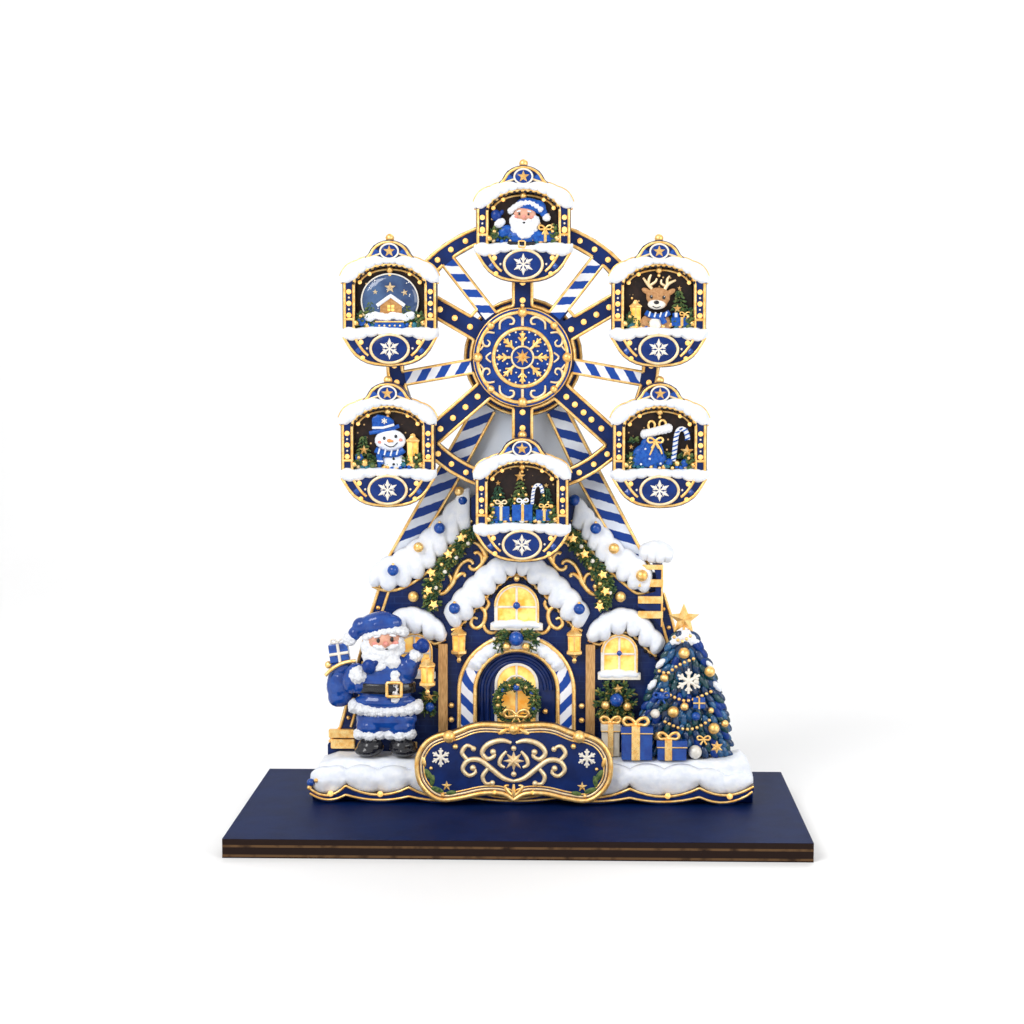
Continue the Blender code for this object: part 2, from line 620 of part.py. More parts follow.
def santa_figure():
    """One casting: boots, coat, arms, beard, cap and the sack on the back."""
    y = 0.0060
    sole = block(-0.0545, -0.0463, y - 0.0036, y + 0.0028, on_snow, 0.0232)
    other_sole = block(-0.0436, -0.0352, y - 0.0036, y + 0.0028, on_snow, 0.0236)
    gifts_in_sack = block(-0.0652, -0.0582, y + 0.0008, y + 0.0050, 0.0500, 0.0582)
    coat = [
        blob(-0.0452, y, 0.0450, 0.0100, 0.0048, 0.0080, 12, 7),
        blob(-0.0452, y, 0.0376, 0.0122, 0.0052, 0.0038, 12, 5),
        blob(-0.0450, y, 0.0325, 0.0110, 0.0046, 0.0060, 12, 5),
    ]
    legs_and_boots = [
        blob(-0.0508, y, 0.0295, 0.0060, 0.0044, 0.0029),
        blob(-0.0400, y, 0.0300, 0.0056, 0.0044, 0.0029),
        blob(-0.0504, y - 0.0004, 0.0238, 0.0052, 0.0041, 0.0034),
        blob(-0.0394, y - 0.0004, 0.0242, 0.0052, 0.0041, 0.0034),
    ]
    head = [
        blob(-0.0462, y - 0.0020, 0.0545, 0.0078, 0.0034, 0.0064, 12, 7),
        blob(-0.0462, y, 0.0598, 0.0076, 0.0044, 0.0062, 12, 7),
        blob(-0.0478, y, 0.0640, 0.0080, 0.0042, 0.0042, 12, 5),
        blob(-0.0543, y, 0.0622, 0.0032, 0.0034, 0.0042),
        blob(-0.0578, y, 0.0598, 0.0025, 0.0025, 0.0025),
    ]
    arms = [
        blob(-0.0562, y, 0.0472, 0.0042, 0.0040, 0.0052),
        blob(-0.0540, y - 0.0018, 0.0482, 0.0042, 0.0036, 0.0043),
        blob(-0.0506, y - 0.0034, 0.0512, 0.0027, 0.0022, 0.0028),
        blob(-0.0388, y, 0.0505, 0.0042, 0.0038, 0.0048),
        blob(-0.0350, y - 0.0010, 0.0546, 0.0035, 0.0032, 0.0036),
        blob(-0.0326, y - 0.0018, 0.0582, 0.0027, 0.0022, 0.0027),
    ]
    sack = blob(-0.0605, y + 0.0030, 0.0445, 0.0052, 0.0036, 0.0080, 10, 6)
    soles_and_sack = [sole, other_sole, sack, gifts_in_sack]
    fused("santa_figure", coat + legs_and_boots + head + arms + soles_and_sack, "blue")


def tree():
    profile = [(0.0, 0.0), (0.0145, 0.0003), (0.0174, 0.0050), (0.0130, 0.0125), (0.0152, 0.0156)]
    profile += [(0.0100, 0.0232), (0.0122, 0.0258), (0.0070, 0.0325), (0.0086, 0.0352), (0.0036, 0.0404)]
    profile += [(0.0010, 0.0416), (0.0005, 0.0426), (0.0, 0.0430)]
    body = lathe(profile, (0.0, 0.0, 0.0), "Z", 14, TREE_FLATNESS)
    solid("tree", body, "teal", (TREE_X, TREE_Y, on_snow))
    star_height = on_snow + 0.0461
    points = []
    for index in range(10):
        angle = math.radians(90 + 36 * index)
        radius = 0.0055 if index % 2 == 0 else 0.0024
        points.append((radius * math.cos(angle), radius * math.sin(angle)))
    shape = plate(points, -0.0006, 0.0006)
    solid("tree_star", shape, "gold", (TREE_X - 0.0003, TREE_Y, star_height))


def gift(name, x, y, width, depth, height, finish):
    """A wrapped box with a lid and a bow of two loops."""
    lid = 0.0022
    shapes = [block(-width / 2, width / 2, -depth / 2, depth / 2, 0.0, height - lid / 2)]
    over = 0.0003
    half_width, half_depth = width / 2 + over, depth / 2 + over
    shapes.append(block(-half_width, half_width, -half_depth, half_depth, height - lid, height))
    for side in (-1, 1):
        shapes.append(blob(side * 0.0022, 0.0, height + 0.0012, 0.0026, 0.0009, 0.0020, 8, 5))
    fused(name, shapes, finish, (), (x, y, on_snow))


def gifts():
    gift("gift_large", 0.0384, 0.0034, 0.0102, 0.0036, 0.0112, "blue")
    gift("gift_small", 0.0500, 0.0031, 0.0096, 0.0030, 0.0066, "blue")
    gift("gift_rear", 0.0298, 0.0092, 0.0060, 0.0040, 0.0108, "gold")


# The wheel, its hub and its axle, in places measured from the hub
def wheel_outline():
    outline = []
    ears = []
    for _, angle, outside, _, _ in GONDOLAS:
        if outside > 0:
            ears.append((math.radians(angle), RIM_OUTER_RADIUS + outside))
    ears.sort()
    half = math.asin(EAR_RADIUS / RIM_OUTER_RADIUS)
    for index, (angle, reach) in enumerate(ears):
        tip = [(reach + x, z) for x, z in arc(0.0, 0.0, EAR_RADIUS, EAR_RADIUS, -90, 90, 6)]
        outline += turned([(RIM_OUTER_RADIUS * math.cos(half), -EAR_RADIUS)] + tip, angle)
        following = ears[(index + 1) % len(ears)][0] + (2 * math.pi if index == len(ears) - 1 else 0.0)
        start, end = math.degrees(angle + half), math.degrees(following - half)
        steps = max(4, round((end - start) / 8))
        outline += arc(0.0, 0.0, RIM_OUTER_RADIUS, RIM_OUTER_RADIUS, start, end, steps)[:-1]
    return outline


def wheel_windows():
    """The open sectors between the spokes."""
    spokes = [(angle, NAVY_SPOKE_WIDTH / 2) for angle in NAVY_SPOKE_ANGLES]
    spokes = sorted(spokes + [(angle, CANDY_SPOKE_WIDTH / 2) for angle in CANDY_SPOKE_ANGLES])
    windows = []
    for (start, first), (end, second) in zip(spokes, spokes[1:] + [(spokes[0][0] + 360, spokes[0][1])]):
        edges = []
        meeting = (first + second + SPOKE_CROTCH) / math.radians(end - start)
        for radius in (max(WHEEL_HUB_RADIUS, meeting), RIM_OUTER_RADIUS - RIM_WIDTH):
            low = start + math.degrees(math.asin(first / radius))
            high = end - math.degrees(math.asin(second / radius))
            edges.append(arc(0.0, 0.0, radius, radius, low, high, max(1, round((high - low) / 9))))
        windows.append(edges[0] + list(reversed(edges[1])))
    return windows


def pin_place(angle, outside):
    reach = RIM_OUTER_RADIUS + outside
    return reach * math.cos(math.radians(angle)), reach * math.sin(math.radians(angle))


def wheel(axis):
    holes = wheel_windows() + [circle(0.0, 0.0, AXLE_RADIUS + GAP, 12)]
    for _, angle, outside, _, _ in GONDOLAS:
        holes.append(circle(*pin_place(angle, outside), PIN_RADIUS + GAP, 8))
    solid("wheel_frame", plate(wheel_outline(), 0.0, PLY, holes), "navy", parent=axis)
    rim = [(MEDALLION_RADIUS, medallion_back), (MEDALLION_RADIUS, medallion_front + 0.0004)]
    rim += [(MEDALLION_RADIUS - 0.0012, medallion_front), (0.0, medallion_front)]
    recess_radius, recess_floor = AXLE_HEAD_RADIUS + GAP, medallion_back - AXLE_HEAD_THICKNESS - GAP
    recess = [(0.0, recess_floor), (recess_radius, recess_floor), (recess_radius, medallion_back)]
    disc = lathe(recess + rim, (0.0, 0.0, 0.0), "Y", 32)
    balls = []
    for index in range(8):
        angle = math.radians(45 * index)
        reach = MEDALLION_RADIUS - 0.0009
        size = MEDALLION_BALL_RADIUS
        x, z = reach * math.cos(angle), reach * math.sin(angle)
        balls.append(blob(x, medallion_front + 0.0002, z, size, size, size, 6, 4))
    fused("hub_medallion", [disc, *balls], "gold", parent=axis)
    for ending, angle, outside, _, _ in GONDOLAS:
        x, z = pin_place(angle, outside)
        head_front = niche_back + GAP / 3
        head_back = head_front + PIN_HEAD_THICKNESS
        tail_front = PLY + GAP
        tail_back = tail_front + PIN_HEAD_THICKNESS
        wide = PIN_HEAD_RADIUS
        profile = [(0.0, head_front), (wide, head_front), (wide, head_back), (PIN_RADIUS, head_back)]
        collar_front = gondola_back + GAP
        collar_back = collar_front + COLLAR_THICKNESS
        profile += [(PIN_RADIUS, collar_front), (wide, collar_front), (wide, collar_back)]
        profile.append((PIN_RADIUS, collar_back))
        profile += [(PIN_RADIUS, tail_front), (wide, tail_front), (wide, tail_back), (0.0, tail_back)]
        pin = lathe(profile, (0.0, 0.0, 0.0), "Y", 10)
        solid("pin_" + ending, pin, "steel", (x, 0.0, z), axis)


def axle():
    """A screw through the wheel, the spacer, the disc and the panel, with a nut behind."""
    head_back = WHEEL_FRONT - GAP
    head_front = head_back - AXLE_HEAD_THICKNESS
    tip = tower_back + GAP + NUT_THICKNESS + 0.0010
    profile = [(0.0, head_front), (AXLE_HEAD_RADIUS, head_front), (AXLE_HEAD_RADIUS, head_back)]
    profile += [(AXLE_RADIUS, head_back), (AXLE_RADIUS, tip), (0.0, tip)]
    place = (HUB_X, 0.0, HUB_HEIGHT)
    solid("axle_screw", lathe(profile, (0.0, 0.0, 0.0), "Y", 16), "steel", place)
    bore = circle(0.0, 0.0, AXLE_RADIUS + GAP, 12)
    spacer = plate(circle(0.0, 0.0, SPACER_RADIUS, 20), wheel_back + GAP, face_front - GAP, [bore])
    solid("axle_spacer", spacer, "steel", place)
    nut = plate(circle(0.0, 0.0, NUT_RADIUS, 6), tower_back + GAP, tower_back + GAP + NUT_THICKNESS, [bore])
    solid("axle_nut", nut, "steel", place)


# A gondola, in places measured from its pin
def gondola_shell(ending, hang, short, axis):
    def high(z):
        """A height above the oval, lowered where the posts are shorter."""
        return z - hang - (short if z > 0.012 else 0.0)

    wide = GONDOLA_HALF_WIDTH
    eaves = GONDOLA_EAVES_HEIGHT
    half = [(0.0, -GONDOLA_KEEL_DEPTH), (0.0050, -0.0055), (0.0095, -0.0039), (0.0130, -0.0006)]
    half += [(wide - 0.0002, 0.0036)]
    half += [(wide, 0.0060), (wide, eaves), (wide - 0.0008, eaves + 0.0042), (0.0082, eaves + 0.0080)]
    half += [(0.0062, eaves + 0.0106), (0.0036, eaves + 0.0129), (0.0, eaves + 0.0138)]
    outline = both_sides([(x, high(z)) for x, z in half])
    shell = plate(outline, gondola_front, gondola_back)
    lower = [(0.0022, 0.0278), (0.0062, 0.0266), (0.0098, 0.0244), (0.0124, 0.0216), (wide + 0.0006, 0.0212)]
    upper = [(0.0026, 0.0306), (0.0074, 0.0300), (0.0108, 0.0288), (0.0146, 0.0272), (wide + 0.0010, 0.0236)]
    lower = list(reversed(mirrored(lower))) + lower
    upper = list(reversed(mirrored(upper))) + upper
    low = scallops([(x, high(z)) for x, z in lower], 0.10, 2)
    top = scallops([(x, high(z)) for x, z in upper], -0.05, 2)
    snow_front = gondola_front - 0.0014
    roof = snow_strip(low, top, snow_front, snow_front, gondola_front + 0.0016)
    lower = [(0.0060, 0.0030), (0.0118, 0.0022), (wide + 0.0008, 0.0040)]
    upper = [(0.0060, 0.0064), (0.0118, 0.0074), (wide + 0.0008, 0.0066)]
    lower = list(reversed(mirrored(lower))) + lower
    upper = list(reversed(mirrored(upper))) + upper
    low = scallops([(x, z - hang) for x, z in lower], 0.05, 2)
    top = scallops([(x, z - hang) for x, z in upper], -0.05, 2)
    ledge = snow_strip(low, top, snow_front, snow_front, gondola_front + 0.0013)
    rim = arc(0.0, -hang, OVAL_HALF_WIDTH, OVAL_HALF_HEIGHT, 0, 360, 20)[:-1]
    oval = plate(rim, gondola_front - 0.0012, gondola_front + 0.0010)
    size = FINIAL_RADIUS
    finial = blob(0.0, gondola_front + 0.0026, high(eaves + 0.0144), size, size, size, 8, 6)
    spring = eaves - 0.0010
    opening = arch(NICHE_HALF_WIDTH, NICHE_FLOOR - hang, high(spring), NICHE_ARCH_RISE, 0.0, 12)
    niche = plate(opening, gondola_front - 0.0030, niche_back)
    start, radius = niche_back - 0.0010, PIN_RADIUS + GAP
    bore = [(0.0, start), (radius, start), (radius, GAP), (0.0, GAP)]
    bore = lathe(bore, (0.0, 0.0, 0.0), "Y", 8)
    # The pin's head sits in a shallow seat in the niche's back
    start, radius = niche_back - 0.0012, PIN_HEAD_RADIUS + GAP
    floor = niche_back + GAP / 3 + PIN_HEAD_THICKNESS + GAP
    seat = [(0.0, start), (radius, start), (radius, floor), (0.0, floor)]
    seat = lathe(seat, (0.0, 0.0, 0.0), "Y", 12)
    fused("gondola_" + ending, [shell, roof, ledge, oval, finial], "navy", [niche, bore, seat], parent=axis)


def card(hang, short):
    """The backing card of a scene, cut to the niche with a clearance all round."""
    spring = GONDOLA_EAVES_HEIGHT - 0.0010 - short
    outline = arch(NICHE_HALF_WIDTH - GAP, 0.0078 - hang, spring - hang, NICHE_ARCH_RISE - GAP, 0.0, 12)
    back = niche_back - GAP
    return plate(outline, back - CARD_THICKNESS, back)


def scene_figures(ending, hang, short):
    """The raised figures of a scene: (x, height above the oval, half width, half height, relief)."""
    shown = {
        "top": (
            (0.0005, 0.0118, 0.0058, 0.0040, 0.0030), (0.0010, 0.0142, 0.0052, 0.0052, 0.0036),
            (0.0022, 0.0180, 0.0050, 0.0034, 0.0034), (-0.0068, 0.0150, 0.0022, 0.0030, 0.0026),
            (0.0080, 0.0103, 0.0028, 0.0024, 0.0028),
        ),
        "upper_left": (
            (0.0, 0.0152, 0.0096, 0.0082, 0.0030), (0.0, 0.0094, 0.0070, 0.0016, 0.0034),
            (-0.0094, 0.0100, 0.0014, 0.0018, 0.0026), (0.0094, 0.0100, 0.0014, 0.0018, 0.0026),
        ),
        "upper_right": (
            (0.0005, 0.0108, 0.0038, 0.0030, 0.0030), (0.0004, 0.0162, 0.0048, 0.0042, 0.0036),
            (-0.0068, 0.0120, 0.0024, 0.0044, 0.0028), (0.0078, 0.0108, 0.0030, 0.0028, 0.0028),
            (0.0072, 0.0150, 0.0020, 0.0036, 0.0020),
        ),
        "lower_left": (
            (0.0, 0.0112, 0.0058, 0.0034, 0.0030), (0.0, 0.0160, 0.0052, 0.0044, 0.0036),
            (0.0004, 0.0215, 0.0044, 0.0030, 0.0030), (0.0080, 0.0115, 0.0022, 0.0042, 0.0026),
            (-0.0080, 0.0120, 0.0026, 0.0042, 0.0022),
        ),
        "lower_right": (
            (-0.0030, 0.0128, 0.0060, 0.0052, 0.0034), (-0.0022, 0.0190, 0.0040, 0.0024, 0.0034),
            (0.0064, 0.0160, 0.0024, 0.0064, 0.0024), (0.0068, 0.0094, 0.0022, 0.0018, 0.0028),
        ),
        "bottom": (
            (0.0, 0.0155, 0.0050, 0.0076, 0.0024), (-0.0068, 0.0140, 0.0034, 0.0058, 0.0020),
            (0.0070, 0.0150, 0.0026, 0.0060, 0.0020), (0.0, 0.0100, 0.0034, 0.0026, 0.0034),
            (-0.0070, 0.0096, 0.0028, 0.0022, 0.0032), (0.0070, 0.0096, 0.0028, 0.0022, 0.0032),
        ),
    }[ending]
    plane = niche_back - GAP - CARD_THICKNESS / 2
    shapes = [card(hang, short)]
    for x, height, half_x, half_z, out in shown:
        profile = [(0.0, -out), (0.62, -0.78 * out), (1.0, -0.25 * out), (1.0, 0.0)]
        shape = lathe(profile, (0.0, 0.0, 0.0), "Y", 10)
        for corner in shape.verts:
            middle = height - hang - short * 0.5
            corner.co = (x + corner.co.x * half_x, plane + corner.co.y, middle + corner.co.z * half_z)
        shapes.append(shape)
    return shapes


SCENE_NAMES = {
    "top": ("scene_waving_santa", "blue"),
    "upper_left": ("scene_snow_globe", "pale"),
    "upper_right": ("scene_reindeer", "skin"),
    "lower_left": ("scene_snowman", "snow"),
    "lower_right": ("scene_gift_sack", "blue"),
    "bottom": ("scene_trees", "green"),
}


def empty(name, place, parent=None):
    marker = bpy.data.objects.new(name, None)
    bpy.context.scene.collection.objects.link(marker)
    marker.location = place
    marker.parent = parent
    marker.empty_display_size = 0.01
    return marker


def main():
    clear_scene()
    base_board()
    tower_panel()
    legs()
    rear_hub_disc()
    house_front()
    roof_snow()
    gable_snow()
    wing_snow()
    chimney()
    windows()
    door()
    lanterns()
    posts()
    greenery()
    plinth()
    snow_bank()
    sign_plaque()
    santa_figure()
    tree()
    gifts()
    axle()
    wheel_axis = empty("wheel_axis", (HUB_X, WHEEL_FRONT, HUB_HEIGHT))
    wheel(wheel_axis)
    for ending, angle, outside, hang, short in GONDOLAS:
        x, z = pin_place(angle, outside)
        gondola_axis = empty("gondola_axis_" + ending, (x, 0.0, z), wheel_axis)
        gondola_shell(ending, hang, short, gondola_axis)
        name, finish = SCENE_NAMES[ending]
        fused(name, scene_figures(ending, hang, short), finish, parent=gondola_axis)


main()
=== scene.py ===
import math
from random import Random

import bmesh
import bpy
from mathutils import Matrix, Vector, noise


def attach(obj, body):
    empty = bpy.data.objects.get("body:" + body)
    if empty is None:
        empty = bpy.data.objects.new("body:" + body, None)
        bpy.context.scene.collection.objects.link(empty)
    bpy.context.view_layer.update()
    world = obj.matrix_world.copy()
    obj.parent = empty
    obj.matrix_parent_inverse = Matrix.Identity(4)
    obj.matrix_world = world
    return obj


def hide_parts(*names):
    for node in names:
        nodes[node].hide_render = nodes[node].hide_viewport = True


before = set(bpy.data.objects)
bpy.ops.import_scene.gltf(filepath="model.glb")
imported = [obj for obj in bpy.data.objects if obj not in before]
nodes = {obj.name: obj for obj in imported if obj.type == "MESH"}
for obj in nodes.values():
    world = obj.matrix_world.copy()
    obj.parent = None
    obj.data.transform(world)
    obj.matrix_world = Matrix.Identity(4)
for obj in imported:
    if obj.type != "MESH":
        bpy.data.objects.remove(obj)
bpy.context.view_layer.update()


# Base board: one sheet of plywood, lacquered navy on its faces. Its sawn edges are scorched dark, and the
# veneers show in them as thin tan lines. The tower's two tabs are glued into slots in it.
MM = 0.001


def add(tree, kind, inputs=(), **settings):
    """A node with its settings; each input is given a value, or the output that feeds it."""
    made = tree.nodes.new(kind)
    for key, value in settings.items():
        setattr(made, key, value)
    for socket, value in dict(inputs).items():
        if isinstance(value, bpy.types.NodeSocket):
            tree.links.new(value, made.inputs[socket])
        elif isinstance(socket, str) and isinstance(made.inputs[socket].default_value, float):
            made.inputs[socket].default_value = float(value)
        else:
            made.inputs[socket].default_value = value
    return made


def sums(tree, operation, *values):
    """The output of a Math node, whose inputs are numbers or outputs."""
    return add(tree, "ShaderNodeMath", dict(enumerate(values)), operation=operation).outputs[0]


def node_group(kind, name, inputs, outputs):
    """A node group with these sockets: (label, type, value) going in and (label, type) coming out."""
    tree = bpy.data.node_groups.new(name, kind)
    for label, socket, *value in inputs:
        made = tree.interface.new_socket(label, in_out="INPUT", socket_type="NodeSocket" + socket)
        if value:
            made.default_value = value[0]
    for label, socket in outputs:
        tree.interface.new_socket(label, in_out="OUTPUT", socket_type="NodeSocket" + socket)
    return tree, add(tree, "NodeGroupInput").outputs, add(tree, "NodeGroupOutput").inputs


def brushed_paint_group():
    """Paint laid by hand: mottled between two colours, with a fine grain in its gloss and its surface."""
    tree, given, made = node_group(
        "ShaderNodeTree",
        "Brushed Paint",
        [
            ("Vector", "Vector"),
            ("Colour", "Color"),
            ("Shade", "Color"),
            ("Patch Size", "Float", 0.004),
            ("Grain Size", "Float", 0.0003),
            ("Low Gloss", "Float", 0.5),
            ("High Gloss", "Float", 0.3),
        ],
        [("Colour", "Color"), ("Roughness", "Float"), ("Height", "Float")],
    )
    patch_scale = sums(tree, "DIVIDE", 1.0, given["Patch Size"])
    grain_scale = sums(tree, "DIVIDE", 1.0, given["Grain Size"])
    patches = add(
        tree, "ShaderNodeTexNoise", {"Vector": given["Vector"], "Scale": patch_scale, "Detail": 3.0}
    )
    grain = add(tree, "ShaderNodeTexNoise", {"Vector": given["Vector"], "Scale": grain_scale, "Detail": 2.0})
    spread = add(
        tree, "ShaderNodeMapRange", {"Value": patches.outputs[0], "From Min": 0.35, "From Max": 0.65}
    )
    mixed = add(
        tree,
        "ShaderNodeMix",
        {0: spread.outputs[0], 6: given["Colour"], 7: given["Shade"]},
        data_type="RGBA",
    )
    gloss = add(
        tree,
        "ShaderNodeMapRange",
        {"Value": grain.outputs[0], "To Min": given["High Gloss"], "To Max": given["Low Gloss"]},
    )
    height = sums(tree, "ADD", patches.outputs[0], sums(tree, "MULTIPLY", grain.outputs[0], 0.5))
    tree.links.new(mixed.outputs[2], made["Colour"])
    tree.links.new(gloss.outputs[0], made["Roughness"])
    tree.links.new(height, made["Height"])
    return tree


brushed_paint = brushed_paint_group()


def finish(name, colour, shade, patch=4.0, grain=0.3, rough=(0.3, 0.5), bump=0.1, glow=0.0, **shader):
    """A painted finish; patch and grain are the sizes of its mottling and grain in millimetres."""
    made = bpy.data.materials.new(name)
    made.use_nodes = True
    tree = made.node_tree
    principled = tree.nodes["Principled BSDF"]
    place = add(tree, "ShaderNodeTexCoord")
    paint = add(
        tree,
        "ShaderNodeGroup",
        {
            "Vector": place.outputs["Object"],
            "Colour": (*colour, 1.0),
            "Shade": (*shade, 1.0),
            "Patch Size": patch * MM,
            "Grain Size": grain * MM,
            "Low Gloss": rough[1],
            "High Gloss": rough[0],
        },
        node_tree=brushed_paint,
        name="Paint",
    )
    relief = add(
        tree, "ShaderNodeBump", {"Height": paint.outputs["Height"], "Strength": bump, "Distance": 0.0002}
    )
    tree.links.new(paint.outputs["Colour"], principled.inputs["Base Color"])
    tree.links.new(paint.outputs["Roughness"], principled.inputs["Roughness"])
    tree.links.new(relief.outputs[0], principled.inputs["Normal"])
    principled.inputs["Specular IOR Level"].default_value = 0.25
    # glow gives the paint's colour off as emission: a painted glow on parts that are no lamps.
    if glow:
        tree.links.new(paint.outputs["Colour"], principled.inputs["Emission Color"])
        principled.inputs["Emission Strength"].default_value = glow
    for socket, value in shader.items():
        principled.inputs[socket.replace("_", " ")].default_value = value
    made.diffuse_color = (*colour, 1.0)
    return made


def cut_edge_group():
    """Scorched plywood edges between a sheet's two faces: dark, with the veneers as tan lines."""
    tree, given, made = node_group(
        "ShaderNodeTree",
        "Cut Edge",
        [
            ("Face Colour", "Color"),
            ("Depth", "Float"),
            ("Front", "Float", 0.0),
            ("Back", "Float", 0.003),
            ("Veneers", "Float", 3.0),
            ("Tan", "Color", (0.30, 0.16, 0.06, 1.0)),
        ],
        [("Colour", "Color")],
    )
    skin = 0.00004
    past_front = sums(tree, "GREATER_THAN", given["Depth"], sums(tree, "ADD", given["Front"], skin))
    before_back = sums(tree, "LESS_THAN", given["Depth"], sums(tree, "SUBTRACT", given["Back"], skin))
    edge = sums(tree, "MULTIPLY", past_front, before_back)
    thick = sums(tree, "SUBTRACT", given["Back"], given["Front"])
    share = sums(tree, "DIVIDE", sums(tree, "SUBTRACT", given["Depth"], given["Front"]), thick)
    wave = sums(
        tree, "SINE", sums(tree, "MULTIPLY", share, sums(tree, "MULTIPLY", given["Veneers"], 2 * math.pi))
    )
    line = sums(tree, "GREATER_THAN", wave, 0.72)
    place = add(tree, "ShaderNodeTexCoord")
    patchy = add(
        tree, "ShaderNodeTexNoise", {"Vector": place.outputs["Object"], "Scale": 220.0, "Detail": 4.0}
    )
    worn = add(tree, "ShaderNodeMapRange", {"Value": patchy.outputs[0], "From Min": 0.28, "From Max": 0.5})
    line = sums(tree, "MULTIPLY", line, worn.outputs[0])
    burnt = add(
        tree, "ShaderNodeMix", {0: line, 6: (0.018, 0.010, 0.008, 1.0), 7: given["Tan"]}, data_type="RGBA"
    )
    whole = add(
        tree, "ShaderNodeMix", {0: edge, 6: given["Face Colour"], 7: burnt.outputs[2]}, data_type="RGBA"
    )
    tree.links.new(whole.outputs[2], made["Colour"])
    return tree


cut_edge = cut_edge_group()


def sheet_finish(name, front, back, axis="Y", veneers=3.0, tan=(0.30, 0.16, 0.06, 1.0), **paint):
    """A finish for plywood: painted faces, and scorched edges between front and back, in millimetres."""
    made = finish(name, **paint)
    tree = made.node_tree
    parts = add(tree, "ShaderNodeSeparateXYZ", {0: tree.nodes["Texture Coordinate"].outputs["Object"]})
    edges = add(
        tree,
        "ShaderNodeGroup",
        {
            "Face Colour": tree.nodes["Paint"].outputs["Colour"],
            "Depth": parts.outputs[axis],
            "Front": front * MM,
            "Back": back * MM,
            "Veneers": veneers,
            "Tan": tan,
        },
        node_tree=cut_edge,
    )
    tree.links.new(edges.outputs["Colour"], tree.nodes["Principled BSDF"].inputs["Base Color"])
    return made


def painted(node, material):
    """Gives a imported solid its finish."""
    nodes[node].data.materials.clear()
    nodes[node].data.materials.append(material)


NAVY = dict(
    colour=(0.002, 0.019, 0.125), shade=(0.001, 0.011, 0.078), grain=0.3, rough=(0.28, 0.46), bump=0.2
)
board_lacquer = sheet_finish(
    "board_lacquer", 0.0, 6.0, "Z", 2.0, (0.11, 0.060, 0.028, 1.0), colour=(0.001, 0.011, 0.068),
    shade=(0.001, 0.008, 0.050), patch=9.0, grain=0.35, rough=(0.45, 0.62), bump=0.3, Specular_IOR_Level=0.06
)
painted("base_board", board_lacquer)


# Tower: the tall A-shaped sheet that everything hangs on, and the two legs' raised
# edges. Plywood, cut by laser and sprayed; the legs carry slanting candy stripes between
# gilt lines. Glued flat to the panel, which is pale in front and navy behind.
def mesh_of(shape, name, material, smooth=False):
    """A new object from a bmesh, its faces turned outwards; smooth is the most corners of a smooth face."""
    bmesh.ops.remove_doubles(shape, verts=shape.verts[:], dist=1e-7)
    bmesh.ops.recalc_face_normals(shape, faces=shape.faces[:])
    mesh = bpy.data.meshes.new(name)
    shape.to_mesh(mesh)
    shape.free()
    made = bpy.data.objects.new(name, mesh)
    bpy.context.scene.collection.objects.link(made)
    mesh.materials.append(material)
    for face in mesh.polygons:
        face.use_smooth = len(face.vertices) <= smooth
    return made


def joined(name, pieces):
    """One object from several, each keeping its materials."""
    whole = bmesh.new()
    finishes = []
    for piece in pieces:
        bpy.context.view_layer.update()
        mesh = piece.data
        start = len(whole.faces)
        whole.from_mesh(mesh)
        whole.faces.ensure_lookup_table()
        place = []
        for material in mesh.materials:
            if material not in finishes:
                finishes.append(material)
            place.append(finishes.index(material))
        for face in whole.faces[start:]:
            face.material_index = place[face.material_index] if place else 0
        bpy.data.objects.remove(piece)
    mesh = bpy.data.meshes.new(name)
    whole.to_mesh(mesh)
    whole.free()
    made = bpy.data.objects.new(name, mesh)
    bpy.context.scene.collection.objects.link(made)
    for material in finishes:
        mesh.materials.append(material)
    return made


def hand_in(piece, body, slot, *stands_for):
    """A finished piece rides its body, and stands for these solids."""
    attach(piece, body)
    if stands_for:
        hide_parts(*stands_for)


def striped_group():
    """Slanting candy stripes: two colours in turn, with a soft hand-painted edge."""
    tree, given, made = node_group(
        "ShaderNodeTree",
        "Candy Stripes",
        [
            ("Vector", "Vector"),
            ("Band", "Float", 0.006),
            ("Lean", "Float", 0.7),
            ("Blue", "Color", (0.012, 0.05, 0.30, 1.0)),
            ("White", "Color", (0.80, 0.82, 0.86, 1.0)),
        ],
        [("Colour", "Color"), ("Mask", "Float")],
    )
    parts = add(tree, "ShaderNodeSeparateXYZ", {0: given["Vector"]})
    wobble = add(tree, "ShaderNodeTexNoise", {"Vector": given["Vector"], "Scale": 600.0, "Detail": 2.0})
    along = sums(tree, "ADD", parts.outputs["Z"], sums(tree, "MULTIPLY", parts.outputs["X"], given["Lean"]))
    along = sums(tree, "ADD", along, sums(tree, "MULTIPLY", wobble.outputs[0], 0.0006))
    turn = sums(tree, "SINE", sums(tree, "DIVIDE", sums(tree, "MULTIPLY", along, 2 * math.pi), given["Band"]))
    mask = add(tree, "ShaderNodeMapRange", {"Value": turn, "From Min": -0.08, "From Max": 0.08}).outputs[0]
    mixed = add(tree, "ShaderNodeMix", {0: mask, 6: given["Blue"], 7: given["White"]}, data_type="RGBA")
    tree.links.new(mixed.outputs[2], made["Colour"])
    tree.links.new(mask, made["Mask"])
    return tree


candy_stripes = striped_group()


